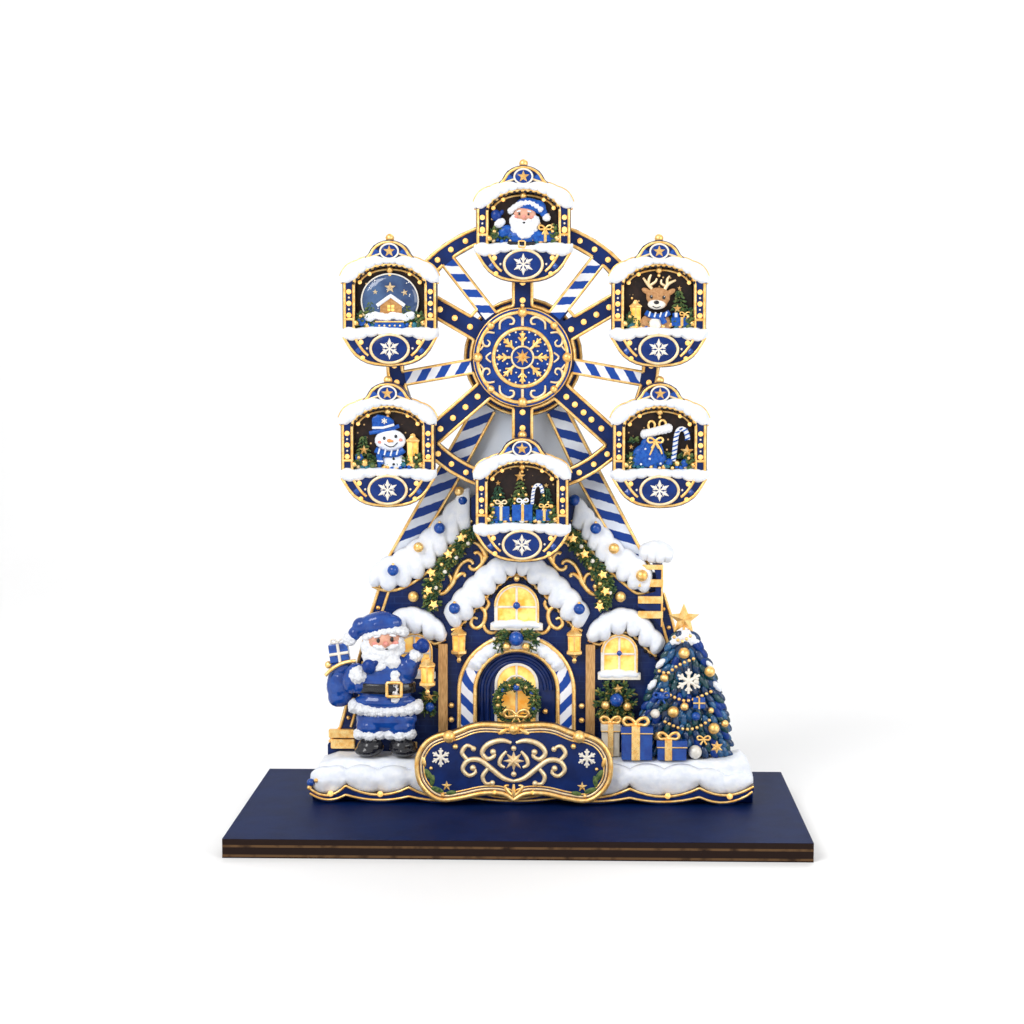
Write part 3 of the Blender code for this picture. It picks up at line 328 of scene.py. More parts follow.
def striped(material, place, band, lean, blue=(0.004, 0.040, 0.25), white=(0.72, 0.77, 0.85)):
    """Lays candy stripes on a finish; band is the width of one blue and one white stripe, in millimetres."""
    tree = material.node_tree
    stripes = add(
        tree,
        "ShaderNodeGroup",
        {"Vector": place, "Band": band * MM, "Lean": lean, "Blue": (*blue, 1.0), "White": (*white, 1.0)},
        node_tree=candy_stripes,
    )
    dim = {0: 1.0, 6: stripes.outputs["Colour"], 7: (0.88, 0.88, 0.92, 1.0)}
    soft = add(tree, "ShaderNodeMix", dim, data_type="RGBA", blend_type="MULTIPLY")
    tree.links.new(soft.outputs[2], tree.nodes["Paint"].inputs["Shade"])
    tree.links.new(stripes.outputs["Colour"], tree.nodes["Paint"].inputs["Colour"])
    return material


PALE = dict(colour=(0.84, 0.90, 0.99), shade=(0.78, 0.86, 0.98))
pale_panel = sheet_finish("pale_panel", 19.0, 22.0, **PALE, patch=7.0, rough=(0.4, 0.6))
tree = pale_panel.node_tree
depth = add(tree, "ShaderNodeSeparateXYZ", {0: tree.nodes["Texture Coordinate"].outputs["Object"]})
behind = sums(tree, "GREATER_THAN", depth.outputs["Y"], 21.96 * MM)
for socket in ("Colour", "Shade"):
    front, back = PALE[socket.lower()], NAVY[socket.lower()]
    sides = add(tree, "ShaderNodeMix", {0: behind, 6: (*front, 1.0), 7: (*back, 1.0)}, data_type="RGBA")
    tree.links.new(sides.outputs[2], tree.nodes["Paint"].inputs[socket])
painted("tower_panel", pale_panel)
for side, lean in (("left", -0.38), ("right", 0.28)):
    leg = sheet_finish(
        "leg_stripes_" + side, 15.7, 18.7, colour=NAVY["colour"], shade=NAVY["shade"], bump=0.15
    )
    painted(
        "leg_" + side, striped(leg, leg.node_tree.nodes["Texture Coordinate"].outputs["Object"], 5.8, lean)
    )
navy_sheet = sheet_finish("navy_sheet", 15.7, 18.7, **NAVY, patch=6.0)
painted("rear_hub_disc", navy_sheet)


# Gilt edging of the tower: thin raised lines of gold paint that follow the legs and the disc,
# laid with a fine nozzle, and round gold studs pressed into them while they are wet.
def raised_line_tree():
    """Every chain of edges becomes a round line; the width attribute of its points thins or thickens it."""
    tree, given, made = node_group(
        "GeometryNodeTree",
        "Raised Line",
        [
            ("Geometry", "Geometry"),
            ("Radius", "Float", 0.0004),
            ("Sides", "Int", 6),
            ("Length", "Float", 0.0006),
            ("Material", "Material"),
        ],
        [("Geometry", "Geometry")],
    )
    curve = add(tree, "GeometryNodeMeshToCurve", {"Mesh": given["Geometry"]})
    even = add(tree, "GeometryNodeResampleCurve", {
        "Curve": curve.outputs[0], "Length": given["Length"]
    }, mode="LENGTH")
    width = add(tree, "GeometryNodeInputNamedAttribute", {"Name": "width"}, data_type="FLOAT")
    thick = sums(tree, "MULTIPLY", width.outputs[0], given["Radius"])
    ring = add(tree, "GeometryNodeCurvePrimitiveCircle", {"Resolution": given["Sides"], "Radius": 1.0})
    tube = add(
        tree,
        "GeometryNodeCurveToMesh",
        {"Curve": even.outputs[0], "Profile Curve": ring.outputs[0], "Fill Caps": True, "Scale": thick},
    )
    smooth = add(tree, "GeometryNodeSetShadeSmooth", {0: tube.outputs[0]})
    real = add(tree, "GeometryNodeRealizeInstances", {0: smooth.outputs[0]})
    dressed = add(
        tree, "GeometryNodeSetMaterial", {"Geometry": real.outputs[0], "Material": given["Material"]}
    )
    tree.links.new(dressed.outputs[0], made["Geometry"])
    return tree


def instances_out(tree, instances, given, made):
    """Instances leave the tree as one smooth mesh in the given material."""
    real = add(tree, "GeometryNodeRealizeInstances", {0: instances.outputs[0]})
    smooth = add(tree, "GeometryNodeSetShadeSmooth", {0: real.outputs[0]})
    dressed = add(
        tree, "GeometryNodeSetMaterial", {"Geometry": smooth.outputs[0], "Material": given["Material"]}
    )
    tree.links.new(dressed.outputs[0], made["Geometry"])
    return tree


def bead_tree():
    """Every point becomes a round bead; the width attribute of the points is its radius."""
    tree, given, made = node_group(
        "GeometryNodeTree",
        "Beads",
        [
            ("Geometry", "Geometry"), ("Detail", "Int", 2), ("Flatness", "Float", 1.0),
            ("Material", "Material")
        ],
        [("Geometry", "Geometry")],
    )
    bead = add(tree, "GeometryNodeMeshIcoSphere", {"Radius": 1.0, "Subdivisions": given["Detail"]})
    flat = add(tree, "ShaderNodeCombineXYZ", {0: 1.0, 1: given["Flatness"], 2: 1.0})
    bead = add(tree, "GeometryNodeTransform", {"Geometry": bead.outputs[0], "Scale": flat.outputs[0]})
    size = add(tree, "GeometryNodeInputNamedAttribute", {"Name": "width"}, data_type="FLOAT")
    spots = add(
        tree,
        "GeometryNodeInstanceOnPoints",
        {"Points": given["Geometry"], "Instance": bead.outputs[0], "Scale": size.outputs[0]},
    )
    return instances_out(tree, spots, given, made)


raised_line, bead_row = raised_line_tree(), bead_tree()


def grown(name, tree, paths, aims=None, **settings):
    """A plain mesh that the tree makes from these paths of (x, y, z, width) in millimetres."""
    mesh = bpy.data.meshes.new(name)
    places, edges, widths = [], [], []
    for path in paths:
        for index, (x, y, z, *width) in enumerate(path):
            if index:
                edges.append((len(places) - 1, len(places)))
            places.append((x * MM, y * MM, z * MM))
            widths.append(width[0] if width else 1.0)
    mesh.from_pydata(places, edges, [])
    mesh.attributes.new("width", "FLOAT", "POINT").data.foreach_set("value", widths)
    if aims:
        mesh.attributes.new("aim", "FLOAT_VECTOR", "POINT").data.foreach_set("vector", aims)
    source = bpy.data.objects.new(name + "_path", mesh)
    bpy.context.scene.collection.objects.link(source)
    maker = source.modifiers.new("maker", "NODES")
    maker.node_group = tree
    for item in tree.interface.items_tree:
        if item.item_type == "SOCKET" and item.in_out == "INPUT" and item.name in settings:
            maker[item.identifier] = settings[item.name]
    return settled(source, name)


def settled(source, name):
    """The object as its modifiers leave it, as a new plain object."""
    bpy.context.view_layer.update()
    seen = source.evaluated_get(bpy.context.evaluated_depsgraph_get())
    mesh = bpy.data.meshes.new_from_object(seen)
    mesh.name = name
    old = source.data
    bpy.data.objects.remove(source)
    bpy.data.meshes.remove(old)
    made = bpy.data.objects.new(name, mesh)
    bpy.context.scene.collection.objects.link(made)
    return made


def drawn(name, paths, material, radius=0.4, sides=6, length=0.6):
    """Raised lines along these paths."""
    return grown(
        name, raised_line, paths, Radius=radius * MM, Sides=sides, Length=length * MM, Material=material
    )


def beads(name, spots, material, detail=2, flatness=1.0):
    """Round beads at these places of (x, y, z, radius) in millimetres."""
    spots = [[(x, y, z, radius * MM)] for x, y, z, radius in spots]
    return grown(name, bead_row, spots, Detail=detail, Flatness=flatness, Material=material)


def at(y, points):
    """Places in the front view, given as (x, z) or (x, z, width), set at this depth."""
    return [(x, y, z, *width) for x, z, *width in points]


def ring(x, z, across, up=None, start=0.0, end=360.0, steps=48):
    """Points along an ellipse in the front view."""
    up = across if up is None else up
    turns = [math.radians(start + (end - start) * step / steps) for step in range(steps + 1)]
    return [(x + across * math.cos(turn), z + up * math.sin(turn)) for turn in turns]


def flowing(points, steps=5):
    """A smooth line through these points; it is closed where its first point is also its last."""
    closed = points[0] == points[-1]
    made = []
    count = len(points)
    for index in range(count - 1):
        before = points[index - 1] if index else (points[-2] if closed else points[0])
        after = points[index + 2] if index + 2 < count else (points[1] if closed else points[-1])
        for step in range(steps):
            t = step / steps
            spot = []
            for p0, p1, p2, p3 in zip(before, points[index], points[index + 1], after):
                bend = (2 * p0 - 5 * p1 + 4 * p2 - p3) * t * t + (3 * p1 - p0 - 3 * p2 + p3) * t**3
                spot.append(0.5 * (2 * p1 + (p2 - p0) * t + bend))
            made.append(tuple(spot))
    return made + [points[-1]]


def evenly(points, spacing, start=0.5):
    """Places along a line at this spacing, the first one after this share of it."""
    spots, want, done = [], spacing * start, 0.0
    for (x0, z0, *_), (x1, z1, *_) in zip(points, points[1:]):
        length = math.hypot(x1 - x0, z1 - z0)
        while length > 0 and want <= done + length:
            share = (want - done) / length
            spots.append((x0 + (x1 - x0) * share, z0 + (z1 - z0) * share))
            want += spacing
        done += length
    return spots


gilt = finish("gilt", (0.88, 0.47, 0.12), (1.0, 0.70, 0.29), 1.6, 0.2, (0.2, 0.4), 0.3, Metallic=0.6)
cream_gilt = finish(
    "cream_gilt", (0.84, 0.60, 0.32), (0.90, 0.74, 0.48), 1.2, 0.2, (0.28, 0.46), 0.3, Metallic=0.45
)
HUB_X, HUB_Z = 0.3, 153.3
LEG_LINE_Y = 15.6
left_leg = [[(-46.2, 82.0), (-45.6, 84.8), (-27.6, 116.6), (-14.4, 139.4)]]
left_leg.append([(-37.6, 86.4), (-31.6, 95.4), (-20.6, 113.7), (-9.2, 135.0)])
right_leg = [[(43.4, 82.4), (38.7, 90.6), (25.8, 115.2), (13.6, 138.2)]]
right_leg.append([(32.4, 88.0), (28.6, 95.2), (18.9, 112.2), (8.6, 134.4)])
foot_left = [(-65.4, 23.0), (-61.6, 28.2), (-60.2, 33.0), (-51.0, 67.0), (-47.4, 78.0)]
foot_right = [(64.9, 23.0), (61.6, 28.2), (59.4, 33.0), (49.9, 67.0), (47.4, 74.4)]
paths = [at(LEG_LINE_Y, path) for path in left_leg + right_leg + [foot_left, foot_right]]
paths += [
    at(LEG_LINE_Y, [(x + 3.6, z) for x, z in foot_left[1:]]),
    at(LEG_LINE_Y, [(x - 3.6, z) for x, z in foot_right[1:]])
]
paths += [at(LEG_LINE_Y, ring(HUB_X, HUB_Z, radius)) for radius in (19.2, 17.4)]
studs = []
for path in (foot_left, foot_right):
    lean = 1.8 if path is foot_left else -1.8
    studs += [(x + lean, LEG_LINE_Y, z, 0.75) for x, z in evenly(path, 6.5)]
tower_trim = joined(
    "tower_trim", [drawn("tower_lines", paths, gilt, 0.55), beads("tower_studs", studs, gilt)]
)
hand_in(tower_trim, "stand", "gold_cast")


# House front: one sheet of plywood with the roofs' slopes cut into its top edge. The walls are navy, scored
# with faint rows of bricks, and gilt lines are laid along the roofs' edges. Glued on the tower.
def brick_group():
    """Rows of bricks scored into a wall: a mask of their joints, staggered row by row."""
    tree, given, made = node_group(
        "ShaderNodeTree",
        "Scored Bricks",
        [
            ("Vector", "Vector"), ("Length", "Float", 0.0052), ("Height", "Float", 0.0022),
            ("Joint", "Float", 0.06)
        ],
        [("Joint", "Float")],
    )
    parts = add(tree, "ShaderNodeSeparateXYZ", {0: given["Vector"]})
    row = sums(tree, "DIVIDE", parts.outputs["Z"], given["Height"])
    shift = sums(tree, "MULTIPLY", sums(tree, "MODULO", sums(tree, "FLOOR", row), 2.0), 0.5)
    brick = sums(
        tree, "ADD", sums(tree, "DIVIDE", sums(tree, "ADD", parts.outputs["X"], 1.0), given["Length"]), shift
    )
    near_bed = sums(tree, "LESS_THAN", sums(tree, "FRACT", row), sums(tree, "MULTIPLY", given["Joint"], 2.0))
    near_end = sums(tree, "LESS_THAN", sums(tree, "FRACT", brick), given["Joint"])
    tree.links.new(sums(tree, "MAXIMUM", near_bed, near_end), made["Joint"])
    return tree


wall_navy = sheet_finish("wall_navy", 15.7, 18.7, **NAVY, patch=6.0)
tree = wall_navy.node_tree
bricks = add(
    tree,
    "ShaderNodeGroup",
    {"Vector": tree.nodes["Texture Coordinate"].outputs["Object"]},
    node_tree=brick_group(),
)
scored = add(
    tree,
    "ShaderNodeMix",
    {0: bricks.outputs[0], 6: tree.nodes["Paint"].outputs["Colour"], 7: (0.008, 0.028, 0.125, 1.0)},
    data_type="RGBA",
)
edges = [node for node in tree.nodes if node.type == "GROUP" and node.node_tree == cut_edge][0]
tree.links.new(scored.outputs[2], edges.inputs["Face Colour"])
painted("house_front", wall_navy)
roof_left = [
    (-50.5, 76.4), (-46.8, 75.0), (-42.0, 75.2), (-36.6, 77.6), (-32.0, 81.0), (-28.2, 85.0), (-24.4, 89.4)
]
roof_left += [(-20.4, 93.8), (-16.8, 98.6)]
roof_right = [
    (42.6, 74.8), (38.8, 74.2), (34.8, 77.0), (31.0, 80.2), (27.0, 83.8), (24.0, 87.6), (21.6, 91.2)
]
roof_right += [(19.4, 94.6), (16.6, 98.9)]
under_gable = [(22.0, 61.4), (18.2, 63.6), (14.3, 68.0), (10.4, 72.4), (6.6, 76.0), (3.2, 79.2), (0.0, 80.4)]
under_wing = [
    (24.0, 58.4), (27.8, 56.8), (31.8, 59.8), (36.8, 61.0), (40.6, 58.6), (44.2, 54.8), (47.0, 53.0)
]


HOUSE_X = -1.8


def both_ways(half, middle=HOUSE_X):
    """A line from its right half, from the outside in to the middle, in places measured from the middle."""
    right = [(middle + x, z, *rest) for x, z, *rest in half]
    return right + [(2 * middle - x, z, *rest) for x, z, *rest in reversed(right) if x != middle]


def other_side(points, middle=HOUSE_X):
    """The same line mirrored about the middle."""
    return [(2 * middle - x, z, *rest) for x, z, *rest in points]


gable_line = both_ways(under_gable)
wing_lines = [[(HOUSE_X + x, z) for x, z in under_wing]]
wing_lines.append(other_side(wing_lines[0]))
house_paths = [at(15.4, flowing(path)) for path in (roof_left, roof_right, gable_line, *wing_lines)]
scallop_beads = []
for path in (gable_line, *wing_lines):
    smooth = flowing(path)
    scallop_beads += [(x, 15.2, z - 0.9, 0.7) for x, z in evenly(smooth, 2.2)]
soot_black = finish(
    "soot_black", (0.010, 0.008, 0.012), (0.02, 0.015, 0.02), patch=1.0, rough=(0.35, 0.6), bump=0.2
)
house_trim = joined(
    "house_trim",
    [drawn("roof_lines", house_paths, gilt, 0.6), beads("scallop_points", scallop_beads, soot_black, 2)],
)
hand_in(house_trim, "stand", "gold_cast")


# Snow: a thick white paste that was piled along the roofs, pulled into lumps along its lower edge and left to
# set. Glitter was dusted on it, and its crust is grainy.
def snow_finish():
    """White paste with a grainy crust and specks that glint."""
    made = finish("snow_paste", (0.76, 0.80, 0.88), (0.86, 0.88, 0.92), 2.2, 0.35, (0.45, 0.7), 0.75)
    tree = made.node_tree
    principled = tree.nodes["Principled BSDF"]
    principled.inputs["Subsurface Weight"].default_value = 0.15
    principled.inputs["Subsurface Radius"].default_value = (0.002, 0.002, 0.003)
    place = tree.nodes["Texture Coordinate"].outputs["Object"]
    flakes = add(tree, "ShaderNodeTexVoronoi", {"Vector": place, "Scale": 2600.0})
    spark = sums(tree, "LESS_THAN", flakes.outputs["Distance"], 0.16)
    gloss = sums(
        tree, "SUBTRACT", tree.nodes["Paint"].outputs["Roughness"], sums(tree, "MULTIPLY", spark, 0.35)
    )
    tree.links.new(gloss, principled.inputs["Roughness"])
    return made


snow_paste = snow_finish()


LUMP_STEPS = 8


def scalloped(cusps, bulge):
    """An edge of round lumps: each pair of cusps is joined by an arc that bulges to its right."""
    points = []
    for (x0, z0), (x1, z1) in zip(cusps, cusps[1:]):
        for step in range(LUMP_STEPS):
            share = step / LUMP_STEPS
            out = 4 * bulge * share * (1 - share)
            points.append(
                (x0 + (x1 - x0) * share + (z1 - z0) * out, z0 + (z1 - z0) * share - (x1 - x0) * out)
            )
    return points + [cusps[-1]]


def skinned(shape, rows):
    """Faces between rings of points that follow each other; a ring may be a single point."""
    for row, following in zip(rows, rows[1:]):
        around = max(len(row), len(following))
        for index in range(around):
            after = (index + 1) % around
            corners = [row[index % len(row)], row[after % len(row)]]
            corners += [following[after % len(following)], following[index % len(following)]]
            shape.faces.new(list(dict.fromkeys(corners)))


def snow_along(name, low, high, front, back, front_end=None, rough=0.3, across=12, groove=0.3):
    """A band of snow between two edges, flat behind; in front each lump between two cusps is rounded."""
    front_end = front if front_end is None else front_end
    lows, highs = scalloped(*low), scalloped(*high)
    count = len(lows)
    shape = bmesh.new()
    rows = []
    for index, ((x0, z0), (x1, z1)) in enumerate(zip(lows, highs)):
        share = index / (count - 1)
        crest = front + (front_end - front) * share
        taper = min(1.0, 0.45 + 2.4 * min(index, count - 1 - index) / count * 4)
        lobe = index % LUMP_STEPS / LUMP_STEPS
        dip = groove * (1 - 4 * lobe * (1 - lobe)) ** 2
        row = []
        for step in range(across + 1):
            turn = math.pi * step / across
            over = 0.5 - 0.5 * math.cos(turn) * (0.86 + 0.14 * abs(math.cos(turn)))
            out = math.sin(turn) ** 0.6 * taper * (1 - dip * (1 - over) ** 2.4)
            x, z = x0 + (x1 - x0) * over, z0 + (z1 - z0) * over
            lump = noise.noise(Vector((x, z, 3.1)) * 0.42) + 0.5 * noise.noise(Vector((x, z, 8.3)) * 1.1)
            y = back + (crest - back) * out + rough * lump * out
            y = max(y, front - 0.25)
            row.append(shape.verts.new((x * MM, y * MM, z * MM)))
        rows.append(row)
    skinned(shape, rows)
    shape.faces.new(rows[0])
    shape.faces.new(list(reversed(rows[-1])))
    return mesh_of(shape, name, snow_paste, 4)


WALL_Y, LOWER_BULGE, UPPER_BULGE = 15.4, 0.36, 0.12
left_low = [
    (-51.6, 78.4), (-47.8, 76.8), (-42.0, 76.8), (-37.0, 79.1), (-32.6, 82.3), (-28.8, 86.3), (-25.0, 90.5)
]
left_low += [(-21.0, 94.8), (-17.5, 99.5)]
left_high = [
    (-51.2, 81.5), (-48.2, 84.5), (-43.5, 86.8), (-39.0, 89.6), (-34.8, 92.8), (-30.8, 96.5), (-26.8, 100.8)
]
left_high += [(-22.5, 106.0), (-17.5, 110.0)]
piece = snow_along("snow_roof_left", (left_low, LOWER_BULGE), (left_high, -UPPER_BULGE), 10.6, WALL_Y, 14.0)
hand_in(piece, "stand", "snow", "roof_snow_left")
right_low = [(43.0, 76.2), (38.8, 75.8), (35.2, 78.5), (31.4, 81.4), (27.6, 84.8), (24.5, 88.4), (22.1, 92.0)]
right_low += [(19.9, 95.3), (17.2, 100.0)]
right_high = [
    (43.7, 80.0), (41.8, 84.2), (38.4, 87.2), (34.2, 89.6), (30.8, 93.0), (27.4, 96.8), (24.5, 100.2)
]
right_high += [(22.0, 103.4), (18.0, 107.0)]
piece = snow_along(
    "snow_roof_right", (right_low, -LOWER_BULGE), (right_high, UPPER_BULGE), 10.6, WALL_Y, 14.0
)
hand_in(piece, "stand", "snow", "roof_snow_right")
gable_low = [(0.0, 81.8), (3.4, 80.6), (7.0, 77.4), (10.8, 73.8), (14.7, 69.2), (18.4, 64.9), (22.2, 63.0)]
gable_high = [(0.0, 88.2), (5.2, 86.6), (10.2, 83.8), (14.4, 80.2), (18.2, 76.2), (22.0, 71.8), (24.6, 67.6)]
low = both_ways(list(reversed(gable_low)))[::-1]
high = both_ways(list(reversed(gable_high)))[::-1]
piece = snow_along("snow_gable", (low, LOWER_BULGE), (high, -UPPER_BULGE), 10.8, WALL_Y)
hand_in(piece, "stand", "snow", "gable_snow")
wing_low = [(23.4, 60.2), (27.6, 58.4), (31.6, 61.4), (36.8, 62.6), (41.0, 60.2), (44.6, 56.2), (48.0, 54.2)]
wing_high = [(24.0, 61.6), (27.4, 66.0), (31.8, 68.6), (37.2, 69.2), (42.2, 66.8), (46.4, 62.4), (50.0, 57.6)]
for side, end in ((1, "right"), (-1, "left")):
    low = [(HOUSE_X + side * x, z) for x, z in wing_low]
    high = [(HOUSE_X + side * x, z) for x, z in wing_high]
    piece = snow_along(
        "snow_wing_" + end, (low, LOWER_BULGE * side), (high, -UPPER_BULGE * side), 10.8, WALL_Y
    )
    hand_in(piece, "stand", "snow", "wing_snow_" + end)
chimney_low = [(39.0, 87.2), (41.8, 85.4), (44.4, 84.9), (47.4, 84.9), (50.4, 86.0)]
chimney_high = [(39.4, 90.0), (42.0, 91.4), (45.0, 92.0), (48.2, 91.2), (50.8, 88.6)]
piece = snow_along("snow_chimney", (chimney_low, 0.2), (chimney_high, -UPPER_BULGE), 10.6, WALL_Y)
hand_in(piece, "stand", "snow", "chimney_snow")


# Chimney: a block of plywood on the right roof, navy, with three broad gilt courses
# laid across it, a thin one under its snow, and a gilt line down its right edge.
def board(name, outline, front, back, material, holes=(), bevel=0.12):
    """A flat sheet with this outline in the front view and softened corners. Millimetres."""
    shape = bmesh.new()
    edges = []
    for loop in [outline, *holes]:
        loop = loop[:-1] if loop[0] == loop[-1] else loop
        corners = [shape.verts.new((x * MM, front * MM, z * MM)) for x, z in loop]
        edges += [shape.edges.new((a, b)) for a, b in zip(corners, corners[1:] + corners[:1])]
    bmesh.ops.triangle_fill(shape, edges=edges, use_beauty=True)
    grown_faces = bmesh.ops.extrude_face_region(shape, geom=shape.faces[:])
    moved = [item for item in grown_faces["geom"] if isinstance(item, bmesh.types.BMVert)]
    bmesh.ops.translate(shape, verts=moved, vec=(0.0, (back - front) * MM, 0.0))
    made = mesh_of(shape, name + "_sheet", material)
    if not bevel:
        made.name = name
        return made
    soften = made.modifiers.new("soften", "BEVEL")
    soften.width = bevel * MM
    soften.segments = 2
    soften.limit_method = "ANGLE"
    soften.angle_limit = math.radians(50)
    return settled(made, name)


def boxy(x0, x1, z0, z1):
    """A rectangle in the front view."""
    return [(x0, z0), (x1, z0), (x1, z1), (x0, z1)]


chimney_navy = sheet_finish("chimney_navy", 12.6, WALL_Y, **NAVY, patch=3.0)
painted("chimney", chimney_navy)
courses = []
for low, high in ((82.6, 84.3), (76.8, 79.4), (71.2, 73.7), (66.2, 68.7)):
    courses.append(board("course", boxy(38.8, 47.2, low, high), 12.0, 12.9, gilt, (), 0.25))
courses.append(drawn("chimney_edges", [at(12.6, [(46.8, 63.4), (46.8, 84.2)])], gilt, 0.35))
hand_in(joined("chimney_courses", courses), "stand", "gold_cast")


# Windows: a cream frame round warm glazing, cut from thin board and glued on the wall, with bars across the
# panes, a gilt line round the arch, a painted glow in the glazing behind it and a shelf of snow on the sill.
def arched(x, half, foot, spring, rise=None, steps=20):
    """An outline with straight sides and a round top."""
    rise = half if rise is None else rise
    return [(x - half, foot), (x + half, foot)] + ring(x, spring, half, rise, 0, 180, steps)


def ball(shape, x, y, z, half_x, half_y=None, half_z=None, tilt=0.0, around=14, rows=9):
    """An ellipsoid added to the shape, tilted in the front view by degrees towards the left."""
    half_y = half_x if half_y is None else half_y
    half_z = half_x if half_z is None else half_z
    c, s = math.cos(math.radians(tilt)), math.sin(math.radians(tilt))
    bands = []
    for row in range(rows + 1):
        down = math.pi * row / rows
        band = []
        for index in range(around if 0 < row < rows else 1):
            turn = 2 * math.pi * index / around
            a, b = half_x * math.sin(down) * math.cos(turn), half_y * math.sin(down) * math.sin(turn)
            d = half_z * math.cos(down)
            band.append(shape.verts.new(((x + a * c - d * s) * MM, (y + b) * MM, (z + a * s + d * c) * MM)))
        bands.append(band)
    skinned(shape, bands)


def balls(name, places, material):
    """Ellipsoids: each is (x, y, z, half x, half y, half z, tilt), with the last ones left out at will."""
    shape = bmesh.new()
    for place in places:
        ball(shape, *place)
    return mesh_of(shape, name, material, 99)


cream_paint = finish("cream_paint", (0.80, 0.73, 0.62), (0.88, 0.84, 0.76), 1.4, 0.3, (0.35, 0.55), 0.3)
blue_gloss = finish(
    "blue_gloss", (0.004, 0.045, 0.26), (0.010, 0.085, 0.40), 1.5, 0.3, (0.10, 0.22), 0.1, Coat_Weight=0.4
)
# Painted glow: window panes and lantern glass give off their own warm colour as emission; no lamp stands
# behind them.
painted_glow_glass = finish("painted_glow_glass", (0.92, 0.38, 0.04), (1.0, 0.68, 0.20), 3.2, 0.3, (0.3, 0.4), 0.05, glow=0.42)


def window(name, node, x, half, foot, spring, bars, sill):
    """One arched window; bars are the muntins' paths, and sill is half the shelf's width."""
    outer, opening = arched(x, half, foot, spring), arched(x, half - 1.15, foot + 1.0, spring)
    frame_board = board(name + "_frame", outer, 13.4, WALL_Y, cream_paint, [opening], 0.25)
    pane = board(name + "_pane", arched(x, half - 0.6, foot + 0.4, spring), 14.5, 15.2, painted_glow_glass, (), 0.0)
    lines = drawn(name + "_bars", [at(14.3, bar) for bar in bars], cream_paint, 0.42)
    edge = drawn(name + "_rim", [at(13.4, arched(x, half - 0.25, foot, spring))], gilt, 0.38)
    shelf_outline = boxy(x - sill, x + sill, foot - 1.3, foot + 0.4)
    shelf = board(name + "_shelf", shelf_outline, 12.7, 15.2, cream_paint, (), 0.2)
    low = [(x + sill * a, foot - b) for a, b in ((-1, 0.6), (-0.3, 1.2), (0.35, 0.9), (1, 0.5))]
    high = [(x + sill * a, foot + b) for a, b in ((-1, 0.9), (-0.4, 1.8), (0.3, 1.5), (1, 0.8))]
    drift = snow_along(name + "_drift", (low, 0.1), (high, -0.1), 12.4, 15.0, rough=0.2, groove=0.12)
    made = joined(name, [frame_board, pane, lines, edge, shelf, drift])
    hand_in(made, "stand", "window_cast", node)


bars = [[(HOUSE_X, 64.2), (HOUSE_X, 76.6)], [(-8.3, 69.6), (4.7, 69.6)]]
window("window_gable", "gable_window", HOUSE_X, 7.5, 63.2, 70.0, bars, 8.8)
bars = [[(32.7, 47.6), (32.7, 59.8)], [(27.4, 53.8), (38.0, 53.8)]]
window("window_wing_right", "wing_window_right", 32.7, 6.2, 46.6, 54.5, bars, 7.2)
bars = [other_side(bar) for bar in bars]
window("window_wing_left", "wing_window_left", -36.3, 6.2, 46.6, 54.5, bars, 7.2)
spots = [(HOUSE_X, 13.3, 70.2, 1.25), (32.7, 13.4, 54.2, 0.9), (-36.3, 13.4, 54.2, 0.9)]
beads_blue = beads("window_gems", spots, blue_gloss, 3)
spots = [(HOUSE_X, 14.2, 79.2, 1.0), (-6.6, 13.6, 63.6, 0.5), (3.0, 13.6, 63.6, 0.5)]
hand_in(joined("window_beads", [beads_blue, beads("window_gold", spots, gilt, 3)]), "stand", "gold_cast")


# Door: a navy leaf with two raised arches round a tall window of painted glow, set in a striped arch. The
# arch is a ring of board between two gilt lines, painted in slanting candy stripes, with snow laid over its
# head.
DOOR_X, SPRING = HOUSE_X, 41.5


def laid_band(name, outer, inner, front, back, material, from_both_ends=False):
    """A flat band between two lines, with a map of its width and its length in metres."""
    shape = bmesh.new()
    layer = shape.loops.layers.uv.new("strip")
    lengths = [0.0]
    for a, b, c, d in zip(outer, inner, outer[1:], inner[1:]):
        lengths.append(lengths[-1] + 0.5 * math.hypot(c[0] + d[0] - a[0] - b[0], c[1] + d[1] - a[1] - b[1]))
    rows = []
    for (x0, z0), (x1, z1), length in zip(outer, inner, lengths):
        width = math.hypot(x1 - x0, z1 - z0)
        length = min(length, lengths[-1] - length) if from_both_ends else length
        row = []
        for share, y in (
            (0, back), (0, front + 0.15), (0.03, front), (0.97, front), (1, front + 0.15), (1, back)
        ):
            spot = shape.verts.new(((x0 + (x1 - x0) * share) * MM, y * MM, (z0 + (z1 - z0) * share) * MM))
            row.append((spot, (share * width * MM, length * MM)))
        rows.append(row)
    faces = [rows[0], rows[-1][::-1]]
    for row, following in zip(rows, rows[1:]):
        faces += [[row[i], row[(i + 1) % 6], following[(i + 1) % 6], following[i]] for i in range(6)]
    for corners in faces:
        face = shape.faces.new([spot for spot, place in corners])
        for loop, (spot, place) in zip(face.loops, corners):
            loop[layer].uv = place
    return mesh_of(shape, name, material)


def strip_finish(name, band, lean):
    """Candy stripes on a laid band, across its own map."""
    made = finish(name, **NAVY)
    strip_map = add(made.node_tree, "ShaderNodeUVMap", uv_map="strip")
    turn = add(made.node_tree, "ShaderNodeSeparateXYZ", {0: strip_map.outputs[0]})
    flat = add(made.node_tree, "ShaderNodeCombineXYZ", {0: turn.outputs["X"], 2: turn.outputs["Y"]})
    return striped(made, flat.outputs[0], band, lean, (0.008, 0.060, 0.33), (0.86, 0.87, 0.90))


def legged(half, top):
    """The line of an arch from its left foot over its head to its right foot."""
    return [(DOOR_X - half, 20.6)] + ring(DOOR_X, SPRING, half, top, 180, 0, 40) + [(DOOR_X + half, 20.6)]


